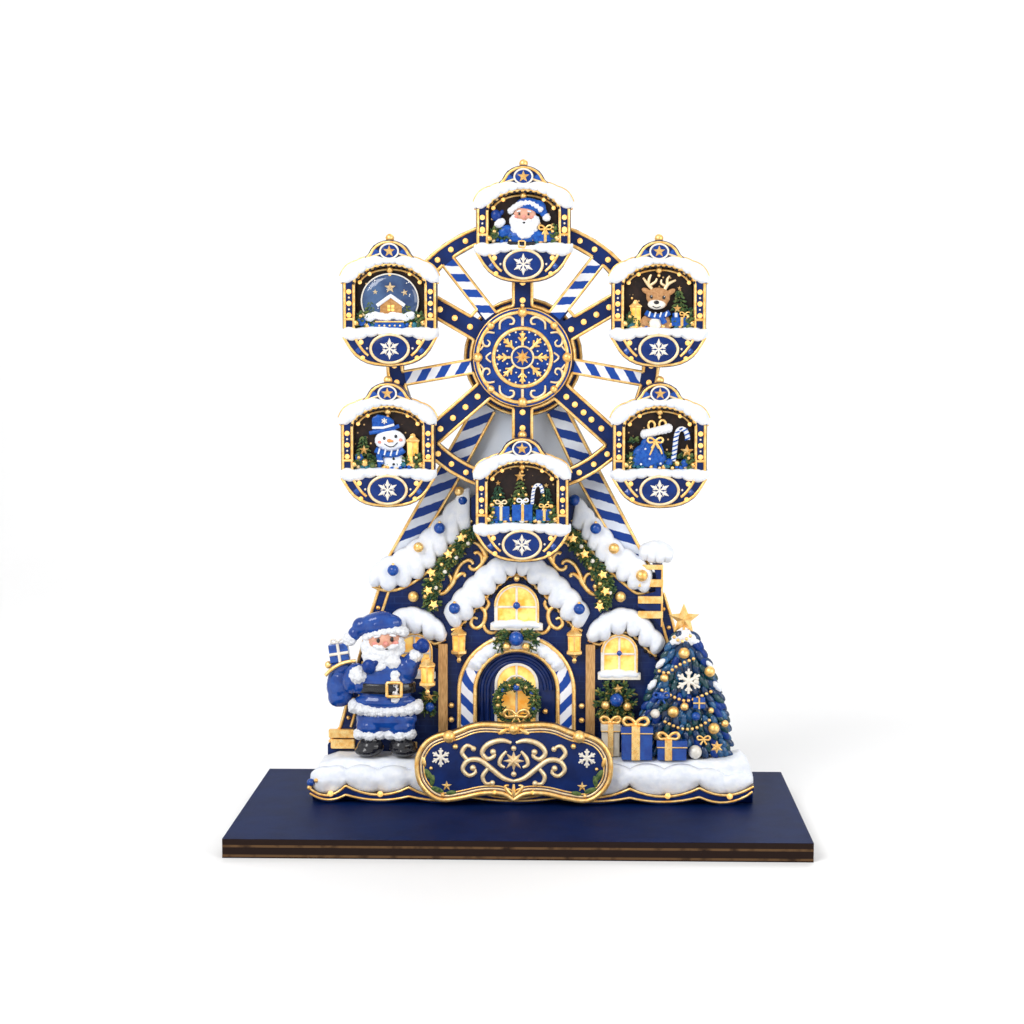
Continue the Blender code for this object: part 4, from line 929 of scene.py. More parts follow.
arch_stripes = strip_finish("arch_stripes", 7.2, 1.0)
parts = [
    laid_band("arch_band", legged(19.6, 19.1), legged(13.4, 13.4), 11.7, WALL_Y, arch_stripes, True),
    drawn("arch_lines", [at(11.7, legged(19.3, 18.8)), at(11.7, legged(13.9, 13.9))], gilt, 0.68, 8),
]
snow_low = ring(DOOR_X, SPRING, 14.4, 14.4, 26, 154, 11)
snow_high = ring(DOOR_X, SPRING, 18.7, 18.2, 28, 152, 11)
parts.append(snow_along("arch_snow", (snow_low[::-1], 0.1), (snow_high[::-1], -0.1), 9.9, 12.4, groove=0.15))
spots = [(DOOR_X + side * 21.9, 12.9, z, 0.95) for side in (-1, 1) for z in (36.3, 31.4)]
hand_in(
    joined("striped_arch", parts + [beads("arch_studs", spots, gilt, 3)]), "stand", "stripe_wood", "door_arch"
)

door_navy = finish("door_navy", **NAVY, patch=3.0, Coat_Weight=0.2)
parts = [board("door_leaf", arched(DOOR_X, 12.95, 20.4, SPRING), 14.0, WALL_Y, door_navy, (), 0.2)]
rings_of_door = [at(13.9, arched(DOOR_X, half, 21.0, SPRING)[2:]) for half in (11.7, 9.6)]
parts.append(
    drawn("door_ridges", [[*path, (path[-1][0], 13.9, 21.0)] for path in rings_of_door], door_navy, 0.75, 8)
)
tall, glazed = arched(DOOR_X, 7.4, 21.5, 43.4), arched(DOOR_X, 6.4, 21.8, 43.4)
parts += [
    board("door_frame", tall, 13.2, 14.3, cream_paint, [glazed], 0.25),
    board("door_panes", arched(DOOR_X, 7.0, 22.0, 43.4), 13.8, 14.2, painted_glow_glass, (), 0.0),
]
bars = [
    [(DOOR_X, 21.8), (DOOR_X, 49.8)], [(DOOR_X - 6.4, 41.6), (DOOR_X + 6.4, 41.6)],
    ring(DOOR_X, 43.0, 3.6, 3.4, 0, 180, 12)
]
parts += [
    drawn("door_bars", [at(13.6, bar) for bar in bars], cream_paint, 0.42),
    balls("door_knob", [(7.9, 12.9, 34.4, 0.9)], gilt),
]
hand_in(joined("door_leaf_whole", parts), "stand", "navy_wood", "door")


# Greenery: tufts of small leaves cut from foil and plastic, wired into a wreath, swags and garlands, with
# olive tips that are partly foil and partly painted highlight. Glass balls, berries, gold stars and star
# lights of painted glow are pushed in among them. Each is glued where it hangs.
def sprig_tree():
    """Leaves along every chain of edges: each grows towards its point's aim, turned a little at random."""
    tree, given, made = node_group(
        "GeometryNodeTree",
        "Sprigs",
        [
            ("Geometry", "Geometry"),
            ("Spacing", "Float", 0.0006),
            ("Leaf Length", "Float", 0.002),
            ("Leaf Width", "Float", 0.0006),
            ("Leaf Thickness", "Float", 0.0003),
            ("Spread", "Float", 0.9),
            ("Seed", "Int", 1),
            ("Material", "Material"),
        ],
        [("Geometry", "Geometry")],
    )
    curve = add(tree, "GeometryNodeMeshToCurve", {"Mesh": given["Geometry"]})
    even = add(tree, "GeometryNodeResampleCurve", {
        "Curve": curve.outputs[0], "Length": given["Spacing"]
    }, mode="LENGTH")
    leaf = add(tree, "GeometryNodeMeshUVSphere", {"Segments": 6, "Rings": 5, "Radius": 0.5})
    shape = add(tree, "ShaderNodeCombineXYZ", {
        0: given["Leaf Width"], 1: given["Leaf Thickness"], 2: given["Leaf Length"]
    })
    lift = add(tree, "ShaderNodeCombineXYZ", {2: sums(tree, "MULTIPLY", given["Leaf Length"], 0.45)})
    leaf = add(
        tree,
        "GeometryNodeTransform",
        {"Geometry": leaf.outputs[0], "Scale": shape.outputs[0], "Translation": lift.outputs[0]},
    )
    aim = add(tree, "GeometryNodeInputNamedAttribute", {"Name": "aim"}, data_type="FLOAT_VECTOR")
    chance = add(
        tree,
        "FunctionNodeRandomValue",
        {0: (-1.0, -1.0, -1.0), 1: (1.0, 1.0, 1.0), "Seed": given["Seed"]},
        data_type="FLOAT_VECTOR",
    )
    spread = add(
        tree, "ShaderNodeVectorMath", {0: chance.outputs[0], "Scale": given["Spread"]}, operation="SCALE"
    )
    towards = add(tree, "ShaderNodeVectorMath", {0: aim.outputs[0], 1: spread.outputs[0]}, operation="ADD")
    turn = add(tree, "FunctionNodeAlignRotationToVector", {"Vector": towards.outputs[0]}, axis="Z")
    size = add(
        tree,
        "FunctionNodeRandomValue",
        {2: 0.75, 3: 1.2, "Seed": sums(tree, "ADD", given["Seed"], 7.0)},
        data_type="FLOAT",
    )
    width = add(tree, "GeometryNodeInputNamedAttribute", {"Name": "width"}, data_type="FLOAT")
    leaves = add(
        tree,
        "GeometryNodeInstanceOnPoints",
        {
            "Points": even.outputs[0],
            "Instance": leaf.outputs[0],
            "Rotation": turn.outputs[0],
            "Scale": sums(tree, "MULTIPLY", size.outputs[1], width.outputs[0]),
        },
    )
    return instances_out(tree, leaves, given, made)


sprig_maker = sprig_tree()


def sprigs(name, paths, material, aims, leaf, spacing, spread, seed):
    """Leaves of (length, width, thickness) along paths; they aim along the path and outwards unless told."""
    directions = []
    for number, path in enumerate(paths):
        for index in range(len(path)):
            if aims:
                directions += aims[number][index] if isinstance(aims[number], list) else aims[number]
            else:
                back, on = path[max(index - 1, 0)], path[min(index + 1, len(path) - 1)]
                along = (Vector(on[:3]) - Vector(back[:3])).normalized()
                directions += (along.x * 0.7, along.y * 0.7 - 0.55, along.z * 0.7)
    length, width, thick = [size * MM for size in leaf]
    sizes = {"Leaf Length": length, "Leaf Width": width, "Leaf Thickness": thick, "Spacing": spacing * MM}
    return grown(name, sprig_maker, paths, directions, Spread=spread, Seed=seed, Material=material, **sizes)


def star(shape, x, y, z, radius, inner=0.42, depth=0.4, turn=0.0, points=5):
    """A faceted star added to the shape: ridges rise to its middle, and its back is flat."""
    rim = []
    for index in range(2 * points):
        angle = math.radians(90 + turn) + math.pi * index / points
        reach = radius if index % 2 == 0 else radius * inner
        rim.append(
            shape.verts.new(((x + reach * math.cos(angle)) * MM, y * MM, (z + reach * math.sin(angle)) * MM))
        )
    front = shape.verts.new((x * MM, (y - depth * radius) * MM, z * MM))
    back = shape.verts.new((x * MM, (y + 0.25 * depth * radius) * MM, z * MM))
    for index in range(2 * points):
        after = rim[(index + 1) % (2 * points)]
        shape.faces.new((rim[index], front, after))
        shape.faces.new((rim[index], after, back))


def stars(name, places, material, **shape_settings):
    """Faceted stars at these places of (x, y, z, radius, turn)."""
    shape = bmesh.new()
    for x, y, z, radius, *turn in places:
        star(shape, x, y, z, radius, turn=turn[0] if turn else 0.0, **shape_settings)
    return mesh_of(shape, name, material)


def bow(name, x, y, z, size, material, tails=True):
    """A tied ribbon: two open loops that curl out from a knot, and two tails."""
    loop = flowing(
        [(0.0, 0.0), (0.34, 0.42), (0.78, 0.52), (0.98, 0.22), (0.76, -0.06), (0.36, -0.04), (0.0, 0.0)], 4
    )
    halves = [loop] + ([[(0.0, 0.0), (0.22, -0.42), (0.46, -0.8)]] if tails else [])
    paths = [
        [(x + side * a * size, y - 0.12 * size * a, z + b * size) for a, b in half]
        for side in (-1, 1) for half in halves
    ]
    ribbon = drawn(name + "_ribbon", paths, material, 0.15 * size, 6, 0.3)
    return joined(name, [ribbon, balls(name + "_knot", [(x, y - 0.08 * size, z, 0.2 * size)], material)])


leaf_green = finish("leaf_green", (0.016, 0.065, 0.028), (0.15, 0.20, 0.055), 1.2, 0.3, (0.3, 0.5), 0.3)
pine_green = finish("pine_green", (0.008, 0.040, 0.032), (0.05, 0.12, 0.055), 1.0, 0.3, (0.35, 0.55), 0.3)
# Olive tips: partly foil, partly painted highlight, a lighter olive standing in for lit leaf tips.
foil_and_painted_highlight = finish(
    "foil_and_painted_highlight", (0.22, 0.18, 0.045), (0.46, 0.36, 0.10), 0.8, 0.3, (0.3, 0.5), 0.3, Metallic=0.3
)
# Painted glow: bulbs, star lights and studs give off their own warm colour as emission; none of them is a
# lamp.
painted_glow_bulb = finish("painted_glow_bulb", (1.0, 0.48, 0.10), (1.0, 0.72, 0.28), 0.8, 0.3, (0.2, 0.3), 0.05, glow=0.6)


def foliage(name, paths, aims, *layers):
    """Leaves, needles and olive tips over the same paths, the tips partly foil and partly painted highlight;
    each layer is (leaf, spacing, spread, seed).
    """
    kinds = (("leaves", leaf_green), ("needles", pine_green), ("tips", foil_and_painted_highlight))
    return [sprigs(f"{name}_{kind}", paths, look, aims, *layer) for (kind, look), layer in zip(kinds, layers)]


WREATH_Z = 37.8
wreath_ring = [(x, 11.2, z) for x, z in ring(DOOR_X, WREATH_Z, 5.9, 5.9, 0, 360, 40)]
wreath_aims = []
for x, y, z in wreath_ring:
    across, up = x - DOOR_X, z - WREATH_Z
    wreath_aims.append((up * 0.13 + across * 0.06, -0.45, -across * 0.13 + up * 0.06))
layers = ((2.9, 1.2, 0.6), 0.10, 0.85, 3), ((2.7, 0.7, 0.4), 0.09, 1.2, 9), ((2.7, 0.9, 0.4), 0.3, 1.0, 29)
parts = foliage("wreath", [wreath_ring], [wreath_aims], *layers)
spots = [(x, 9.9, z, 0.75) for x, z in ring(DOOR_X, WREATH_Z, 6.2, 6.2, 8, 368, 14)[:-1]]
parts += [
    beads("wreath_gold", spots[0::2] + spots[3::4], gilt),
    beads("wreath_blue", spots[1::4], blue_gloss),
    balls("wreath_ball", [(DOOR_X, 10.2, 43.0, 1.3)], blue_gloss),
    bow("wreath_bow", DOOR_X, 9.4, 33.4, 4.2, gilt),
]
hand_in(joined("wreath", parts), "stand", "green_cast", "door_wreath")

left_line = [
    (-14.8, 95.6), (-19.2, 90.2), (-22.8, 86.0), (-26.2, 81.6), (-29.0, 77.0), (-30.0, 73.0), (-29.2, 69.6)
]
right_line = [
    (14.8, 95.2), (17.8, 90.0), (20.4, 86.6), (23.8, 82.6), (26.6, 78.2), (27.2, 74.0), (26.2, 70.2)
]
star_lights = {
    "left": [(-20.2, 93.3), (-24.5, 87.8), (-30.2, 81.5), (-31.3, 75.5), (-29.5, 70.8)],
    "right": [(17.0, 93.2), (21.0, 88.0), (27.0, 81.0), (28.0, 75.5), (26.0, 70.3)],
}
for end, line, seed in (("left", left_line, 11), ("right", right_line, 12)):
    way = flowing(line, 4)
    way = [(x + (-0.9 if end == "left" else 0.9), z) for x, z in way]
    paths = [
        at(y, [(x + off, z + 0.3 * abs(off)) for x, z in way])
        for off, y in ((0.0, 13.0), (-1.3, 13.9), (1.3, 13.9))
    ]
    layers = ((2.6, 1.1, 0.5), 0.24, 1.1, seed), ((2.4, 0.7, 0.4), 0.18, 1.4, seed + 20)
    parts = foliage("garland_" + end, paths, None, *layers, ((2.5, 0.8, 0.4), 0.55, 1.2, seed + 40))
    lights = [(x, 10.9, z, 1.7, 8.0 * i) for i, (x, z) in enumerate(star_lights[end])]
    parts += [
        stars(f"garland_{end}_stars", lights, painted_glow_bulb, inner=0.5),
        beads(f"garland_{end}_bulbs", [(x, 10.5, z, 0.8) for x, y, z, *r in lights], painted_glow_bulb),
    ]
    berries = [
        (x + (1.3 if i % 2 else -1.5), 12.0, z, 0.75)
        for i, (x, z) in enumerate(evenly(way, 3.1, 0.8))
    ]
    parts += [
        beads(f"garland_{end}_gold", berries[0::2], gilt),
        beads(f"garland_{end}_pale", berries[1::2], cream_paint)
    ]
    hand_in(joined("garland_" + end + "_dressed", parts), "stand", "green_cast", "garland_" + end)

paths, aims = [], []
for reach in (0.3, 0.55, 0.8, 1.0):
    for x, z in ring(31.4, 37.2, 5.0 * reach, 5.8 * reach, 0, 330, 11):
        out = Vector((x - 31.4, -2.2, z - 37.2)).normalized()
        paths.append([(x, 14.0, z), (x + out.x, 13.2, z + out.z)])
        aims.append((out.x * 0.9, -0.6, out.z * 0.9))
layers = ((2.6, 1.0, 0.5), 0.4, 0.8, 5), ((2.4, 0.6, 0.4), 0.3, 1.2, 6), ((2.5, 0.8, 0.4), 1.2, 1.0, 36)
parts = foliage("cluster", paths, aims, *layers)
parts.append(balls("cluster_blue", [(31.8, 11.6, 38.6, 2.3)], blue_gloss))
gold = [(28.1, 11.8, 36.8, 1.5), (35.4, 11.8, 36.4, 1.5), (32.2, 12.0, 32.2, 1.2)]
parts += [
    balls("cluster_gold", gold, gilt),
    stars("cluster_star", [(32.3, 11.6, 42.3, 1.9, 6.0)], gilt),
]
hand_in(joined("window_greenery", parts), "stand", "green_cast", "wing_greenery")

branches = [
    [(1.8, 61.2), (3.8, 61.5), (5.6, 60.8)], [(2.2, 59.4), (4.4, 59.4), (6.4, 58.6)],
    [(2.0, 57.4), (4.0, 57.0), (5.8, 56.2)]
]
swag = [at(10.4, [(HOUSE_X + side * x, z) for x, z in branch]) for side in (-1, 1) for branch in branches]
swag.append(at(13.6, [(-33.6, 40.6), (-31.2, 37.2), (-30.2, 33.6)]))
swag.append(at(13.6, [(-28.4, 40.2), (-31.0, 37.0), (-33.2, 34.4)]))
layers = ((2.5, 1.0, 0.5), 0.26, 0.9, 15), ((2.3, 0.6, 0.4), 0.22, 1.2, 16), ((2.3, 0.8, 0.4), 0.7, 1.0, 46)
parts = foliage("swag", swag, None, *layers)
parts += [
    balls("swag_blue", [(HOUSE_X, 9.2, 59.6, 2.5), (-31.0, 12.2, 35.8, 1.6)], blue_gloss),
    balls("swag_gold", [(-5.0, 9.2, 57.0, 1.4), (1.4, 9.2, 57.0, 1.4)], gilt),
    beads("swag_pearls", [
        (-9.2, 9.0, 59.6, 0.6), (5.6, 9.0, 59.6, 0.6), (-8.0, 9.0, 56.6, 0.55), (4.4, 9.0, 56.6, 0.55)
    ], cream_paint),
    stars("swag_star", [(-31.0, 12.0, 39.2, 1.7, 10.0)], gilt),
]
hand_in(joined("door_swag", parts), "stand", "green_cast")


# Scrollwork and baubles: curls of gilt paste, laid with a nozzle on the navy walls, and glass balls set along
# the roofs, the blue ones in the snow with gilt caps.
scrolls = [
    [
        (-29.0, 74.3, 0.5), (-27.7, 73.7, 0.9), (-25.8, 74.5, 1.1), (-24.1, 76.4, 1.2), (-23.0, 78.2, 1.4),
        (-22.4, 80.6, 1.1), (-20.9, 83.5, 1.0), (-19.2, 84.9, 1.0), (-17.7, 85.3, 1.0), (-16.7, 84.6, 0.9),
        (-16.5, 83.9, 0.7)
    ],
    [
        (-23.6, 77.4, 1.0), (-24.2, 79.7, 0.9), (-25.2, 80.8, 0.9), (-26.4, 80.9, 0.9), (-27.2, 80.1, 0.9),
        (-26.9, 79.0, 0.9), (-26.1, 78.9, 0.9)
    ],
    [(-28.3, 74.0, 0.7), (-27.7, 75.2, 0.8), (-27.7, 76.4, 0.8)],
    [(-22.5, 79.0, 1.1), (-21.0, 80.4, 1.0), (-19.8, 80.8, 0.9), (-19.2, 80.3, 0.9), (-19.4, 79.7, 0.8)],
    [
        (-11.9, 87.0, 1.3), (-12.9, 85.1, 1.1), (-14.1, 83.4, 1.0), (-15.5, 82.2, 1.0), (-16.8, 82.2, 1.0),
        (-17.7, 83.0, 0.9), (-17.6, 83.6, 0.8)
    ],
    [(-13.4, 84.6, 1.0), (-13.6, 86.5, 0.9), (-14.1, 87.3, 0.9), (-15.1, 88.0, 0.9), (-16.0, 87.5, 1.0)],
    [
        (-12.0, 86.8, 1.5), (-12.9, 88.6, 1.4), (-13.9, 89.9, 1.2), (-15.4, 91.1, 1.0), (-17.2, 91.5, 0.9),
        (-18.4, 90.9, 0.9), (-18.7, 90.1, 0.8)
    ],
]
scrolls += [other_side(path, -1.5) for path in scrolls]
beside_window = [
    [
        (-17.0, 70.4, 0.7), (-14.4, 69.8, 1.0), (-12.4, 67.4, 1.1), (-13.0, 63.8, 1.1), (-15.4, 62.2, 1.0),
        (-17.2, 63.6, 1.0), (-16.6, 65.8, 0.9), (-15.0, 65.4, 0.6)
    ],
    [(-12.8, 68.0, 0.9), (-11.2, 70.6, 1.0), (-12.6, 72.6, 0.7)],
    [(-13.2, 63.6, 0.9), (-11.8, 61.2, 1.0), (-9.4, 60.6, 0.9), (-8.2, 62.0, 0.6)],
]
scrolls += beside_window + [other_side(path) for path in beside_window]
buds = [
    (-27.7, 76.6, 1.0), (24.7, 76.6, 1.0), (-12.6, 72.8, 0.8), (9.0, 72.8, 0.8), (-8.0, 62.2, 0.8),
    (4.4, 62.2, 0.8)
]
parts = [
    drawn("scroll_lines", [at(15.2, flowing(path)) for path in scrolls], gilt, 0.66, 8),
    beads("scroll_buds", [(x, 15.0, z, r) for x, z, r in buds], gilt, 3),
]
hand_in(joined("wall_scrolls", parts), "stand", "gold_cast")
blue_balls = [
    (-43.0, 10.6, 82.3, 1.9), (-27.5, 12.2, 96.3, 1.9), (-20.0, 15.3, 105.3, 1.9), (17.5, 15.3, 105.6, 1.9),
    (24.6, 12.2, 96.4, 1.9), (-22.5, 10.8, 69.5, 1.9), (19.2, 10.8, 69.5, 1.9)
]
gold_balls = [
    (-34.5, 11.2, 90.0, 1.7), (-21.0, 15.3, 108.4, 1.7), (30.7, 11.4, 89.8, 1.8), (40.0, 10.8, 80.8, 2.0),
    (-36.5, 13.9, 73.0, 1.8), (33.0, 13.9, 73.2, 1.8)
]
caps = [(x, y, z + r * 1.02, 0.55) for x, y, z, r in blue_balls if y < 15]
parts = [
    beads("roof_blue", blue_balls, blue_gloss, 4), beads("roof_gold", gold_balls, gilt, 4),
    beads("roof_caps", caps, gilt)
]
hand_in(joined("roof_baubles", parts), "stand", "blue_cast")


# Lanterns and posts: six-sided brass lanterns with glass of painted glow, two on the walls and one that
# hangs in front, soldered from thin parts, and two bronzed wooden posts beside the door.
def turned_piece(name, profile, x, y, z, material, around, flat, back, squash):
    """A turned solid on an upright axis. The profile lists (radius, height) from below to above."""
    shape = bmesh.new()
    rows = []
    for radius, height in profile:
        row = []
        for index in range(around if radius > 0 else 1):
            angle = 2 * math.pi * (index + 0.5) / around
            depth = y + radius * squash * math.sin(angle)
            depth = min(depth, back) if back is not None else depth
            row.append(shape.verts.new(((x + radius * math.cos(angle)) * MM, depth * MM, (z + height) * MM)))
        rows.append(row)
    skinned(shape, rows)
    for row in (rows[0], rows[-1]):
        if len(row) > 1:
            shape.faces.new(row)
    return mesh_of(shape, name, material, 0 if flat else 4)


def lantern(name, x, y, foot, high=12.8, wide=2.9, back=None, squash=1.0):
    """A six-sided lantern: a base with a drop below, glass of painted glow between bars, and a stepped roof.
    """
    base = [
        (0.0, 0.0), (0.2, 0.02), (0.3, 0.08), (0.17, 0.14), (0.4, 0.2), (1.0, 0.27), (1.0, 0.34), (0.8, 0.35),
        (0.0, 0.35)
    ]
    glass = [(0.0, 0.34), (0.68, 0.34), (0.74, 0.74), (0.0, 0.74)]
    roof = [
        (0.0, 0.735), (0.86, 0.735), (1.0, 0.76), (1.0, 0.80), (0.5, 0.88), (0.3, 0.93), (0.3, 0.95),
        (0.14, 0.965), (0.14, 1.0), (0.0, 1.0)
    ]
    if high < 12:
        base = [(0.0, 0.0), (1.0, 0.0), (1.0, 0.08), (0.75, 0.11), (0.0, 0.11)]
        glass[0], glass[1] = (0.0, 0.10), (0.68, 0.10)
    parts = []
    for label, profile, material in (("base", base, gilt), ("roof", roof, gilt), ("glass", glass, painted_glow_glass)):
        profile = [(radius * wide, height * high) for radius, height in profile]
        parts.append(turned_piece(f"{name}_{label}", profile, x, y, foot, material, 6, True, back, squash))
    bars = []
    for index in range(6):
        angle = 2 * math.pi * (index + 0.5) / 6
        ends = []
        for reach, height in ((0.74 * wide, glass[0][1]), (0.8 * wide, 0.75)):
            depth = y + reach * squash * math.sin(angle)
            ends.append(
                (x + reach * math.cos(angle), min(depth, back) if back else depth, foot + height * high)
            )
        bars.append(ends)
    parts += [
        drawn(name + "_bars", bars, gilt, 0.085 * wide),
        drawn(name + "_loop", [
            at(y, ring(x, foot + 0.93 * high, 0.3 * wide, 0.065 * high, 0, 360, 18))
        ], gilt, 0.07 * wide),
    ]
    return joined(name, parts)


for side, end in ((-1, "left"), (1, "right")):
    lamp_piece = lantern("lantern_wall_" + end, HOUSE_X + side * 19.4, 14.0, 50.5, back=WALL_Y)
    hand_in(lamp_piece, "stand", "gold_cast", "wall_lantern_" + end)
hand_in(lantern("lantern_hand", -31.0, 2.2, 41.7), "stand", "gold_cast", "hand_lantern")
post_bronze = finish(
    "post_bronze", (0.46, 0.24, 0.085), (0.70, 0.42, 0.18), 1.6, 0.3, (0.3, 0.5), 0.35, Metallic=0.6
)
tree = post_bronze.node_tree
stretch = add(tree, "ShaderNodeMapping", {"Vector": tree.nodes["Texture Coordinate"].outputs["Object"]})
stretch.inputs["Scale"].default_value = (6.0, 6.0, 0.6)
tree.links.new(stretch.outputs[0], tree.nodes["Paint"].inputs["Vector"])
for side in ("left", "right"):
    painted("wall_post_" + side, post_bronze)


# Snow bank and plinth: the bank is a block of white paste on a navy foot, and
# carries the figures. The plinth is a scalloped strip of navy board before it,
# with gilt lines along both edges, bulbs of painted glow, and lumps of snow above.
BANK_FOOT_TOP = 9.35


def bank_of_snow():
    """The bank: cross sections along a line of (x, height of the snow), with its foot in navy."""
    stations = [
        (-69.5, 14.0), (-67.0, 18.2), (-62.0, 20.0), (-54.0, 20.0), (-45.0, 20.0), (-36.0, 20.0),
        (-20.0, 15.0)
    ]
    stations += [
        (16.0, 15.0), (29.0, 20.0), (40.0, 20.0), (50.0, 20.0), (60.0, 20.0), (68.0, 20.3), (73.0, 21.4)
    ]
    stations += [(75.6, 19.2), (76.8, 15.6)]
    line = []
    for (x0, z0), (x1, z1) in zip(stations, stations[1:]):
        count = max(2, round((x1 - x0) / 0.8))
        line += [(x0 + (x1 - x0) * i / count, z0 + (z1 - z0) * i / count) for i in range(count)]
    line.append(stations[-1])
    shape = bmesh.new()
    rows = []
    for x, top in line:
        profile = [
            (1.3, 6.3), (1.3, 9.4), (1.3, 11.0), (1.3, 12.0), (1.3, 13.5), (1.3, top - 2.6), (1.6, top - 1.5)
        ]
        profile += [
            (2.1, top - 0.7), (2.9, top - 0.2), (3.9, top), (5.2, top), (6.8, top), (8.4, top), (10.0, top)
        ]
        profile += [(11.8, top), (13.6, top), (WALL_Y, top), (WALL_Y, 9.4), (WALL_Y, 6.3)]
        row = []
        for index, (y, z) in enumerate(profile):
            lump = noise.noise(Vector((x * 0.28, y * 0.35, z * 0.28)))
            if index < 9:
                y += 0.35 + 0.35 * lump
            if 5 < index < len(profile) - 3:
                z += min(0.0, 0.25 * lump - 0.05)
            row.append(shape.verts.new((x * MM, y * MM, z * MM)))
        rows.append(row)
    skinned(shape, rows)
    for row in (rows[0], rows[-1]):
        shape.faces.new(row[1:-1])
        shape.faces.new((row[0], row[1], row[-2], row[-1]))
    bank = mesh_of(shape, "snow_bank_body", snow_paste, 4)
    bank.data.materials.append(plinth_navy)
    for face in bank.data.polygons:
        face.material_index = int(face.center.z < BANK_FOOT_TOP * MM)
    return bank


plinth_navy = sheet_finish("plinth_navy", -2.0, 1.0, **NAVY, patch=4.0, Coat_Weight=0.3)
painted("plinth", plinth_navy)
hand_in(bank_of_snow(), "stand", "snow", "snow_bank")
cusps = [-70.0, -58.0, -37.0, -16.5, 12.0, 36.0, 59.0, 76.8]
tops = [11.2, 12.2, 11.8, 11.2, 11.2, 11.8, 12.2, 13.0]
feet = [9.0, 8.6, 8.2, 8.0, 8.0, 8.2, 8.6, 10.6]
upper_line, lower_line, bulbs = [], [], []
for index in range(7):
    for step in range(8):
        share = step / 8
        sag = 4 * share * (1 - share)
        x = cusps[index] + (cusps[index + 1] - cusps[index]) * share
        top = tops[index] + (tops[index + 1] - tops[index]) * share
        foot = feet[index] + (feet[index + 1] - feet[index]) * share
        lower_line.append((x, foot - sag * ((feet[index] + feet[index + 1]) / 2 - 6.9) + 0.3))
        upper_line.append((x, top - sag * 2.8 + 0.2))
    middle = (cusps[index] + cusps[index + 1]) / 2
    bulbs.append((middle + 1.0, -2.5, 9.3, 1.0))
upper_line.append((cusps[-1], tops[-1]))
lower_line.append((cusps[-1] - 0.4, feet[-1] + 0.3))
paths = [at(-2.1, lower_line), at(-2.0, [(x, z - 0.5) for x, z in upper_line])]
plinth_lines = [
    drawn("plinth_low_line", paths[:1], gilt, 0.42, 8),
    drawn("plinth_high_line", paths[1:], gilt, 0.42, 8),
    beads("plinth_bulbs", bulbs, painted_glow_bulb, 3),
    beads("plinth_blue", [(-69.8, -0.4, 12.6, 1.3)], blue_gloss, 3),
    beads("plinth_gold", [(-70.2, -0.8, 10.9, 0.8), (-68.0, -1.0, 13.4, 0.7)], gilt, 3),
]
hand_in(joined("plinth_trim", plinth_lines), "stand", "gold_cast")
snow_low = [(x, z - 0.3 + 0.4 * math.sin(x * 0.9)) for x, z in upper_line]
snow_high = [(x, 17.2 + 0.5 * math.sin(x * 0.55) - (1.6 if abs(x) > 66 else 0.0)) for x, z in upper_line]
piece = snow_along(
    "snow_skirt", (snow_low[::4], 0.16), (snow_high[::4], -0.14), -1.9, 2.2, rough=0.6, groove=0.2
)
hand_in(piece, "stand", "snow")


# Sign: a shaped plaque of navy board on the plinth, edged with a gilt rim and
# finer lines of cream and gilt inside it. Gilt balls, leaves, snowflakes and
# stars are set round it, and raised scrolls of cream paste fill its middle.
sign_navy = sheet_finish("sign_navy", -5.3, -2.3, **NAVY, patch=5.0)
painted("sign_plaque", sign_navy)
half = [
    (0.0, 7.6), (3.0, 9.3), (6.0, 9.9), (11.0, 9.6), (17.0, 8.2), (23.5, 7.4), (28.0, 9.3), (31.5, 13.5),
    (32.6, 18.5)
]
half += [
    (32.0, 23.5), (29.0, 28.0), (24.5, 30.4), (20.2, 31.0), (18.0, 31.8), (14.0, 33.4), (9.0, 34.1),
    (0.0, 33.6)
]


def inset(points, distance):
    """A closed outline moved inwards by this distance; its last point isn't its first."""
    area = sum(x0 * z1 - x1 * z0 for (x0, z0), (x1, z1) in zip(points, points[1:] + points[:1]))
    side = 1 if area > 0 else -1
    made = []
    for index, (x, z) in enumerate(points):
        (x0, z0), (x1, z1) = points[index - 1], points[(index + 1) % len(points)]
        first = Vector((x - x0, z - z0)).normalized()
        second = Vector((x1 - x, z1 - z)).normalized()
        along = first + second
        along = along.normalized() if along.length > 1e-6 else first
        stretch = min(2.0, 1.0 / max(0.5, along.dot(first)))
        made.append((x - along.y * distance * side * stretch, z + along.x * distance * side * stretch))
    return made


middle = -2.2
sign_outline = [(middle + x, z) for x, z in half] + [(middle - x, z) for x, z in reversed(half[1:-1])]
smooth = flowing(sign_outline + sign_outline[:1], 4)[:-1]
rims = []
for distance, radius, material in ((0.75, 0.82, gilt), (2.1, 0.36, cream_gilt), (3.0, 0.28, gilt)):
    path = inset(smooth, distance)
    rims.append(drawn(f"sign_rim_{distance}", [at(-5.3, path + path[:1])], material, radius, 8))
ornament = [
    flowing([
        (0.0, 14.6, 0.7), (3.4, 15.6, 1.1), (7.2, 18.6, 1.2), (11.2, 21.6, 1.2), (15.0, 21.4, 1.1),
        (16.8, 18.6, 1.0), (14.8, 16.4, 0.9), (12.6, 17.4, 0.8), (13.2, 19.2, 0.6)
    ]),
    flowing([
        (0.8, 27.4, 0.7), (4.0, 28.2, 1.1), (8.2, 27.0, 1.2), (10.4, 24.2, 1.1), (8.6, 22.0, 1.0),
        (6.4, 23.0, 0.9), (6.8, 24.6, 0.6)
    ]),
    flowing([(8.4, 18.8, 0.9), (10.2, 16.2, 1.0), (9.2, 13.8, 0.8), (7.2, 14.0, 0.6)]),
    flowing([(15.2, 21.6, 0.9), (17.0, 24.0, 1.0), (15.4, 26.4, 0.9), (13.2, 25.6, 0.6)]),
    flowing([(3.0, 19.2, 0.6), (4.6, 20.2, 0.9), (4.2, 22.4, 0.9), (2.4, 24.6, 0.6)]),
]
ornament = [[(middle + x, z, w) for x, z, w in path] for path in ornament]
ornament += [other_side(path, middle) for path in ornament]
parts = rims + [drawn("sign_scrolls", [at(-5.5, path) for path in ornament], cream_gilt, 0.75, 8)]
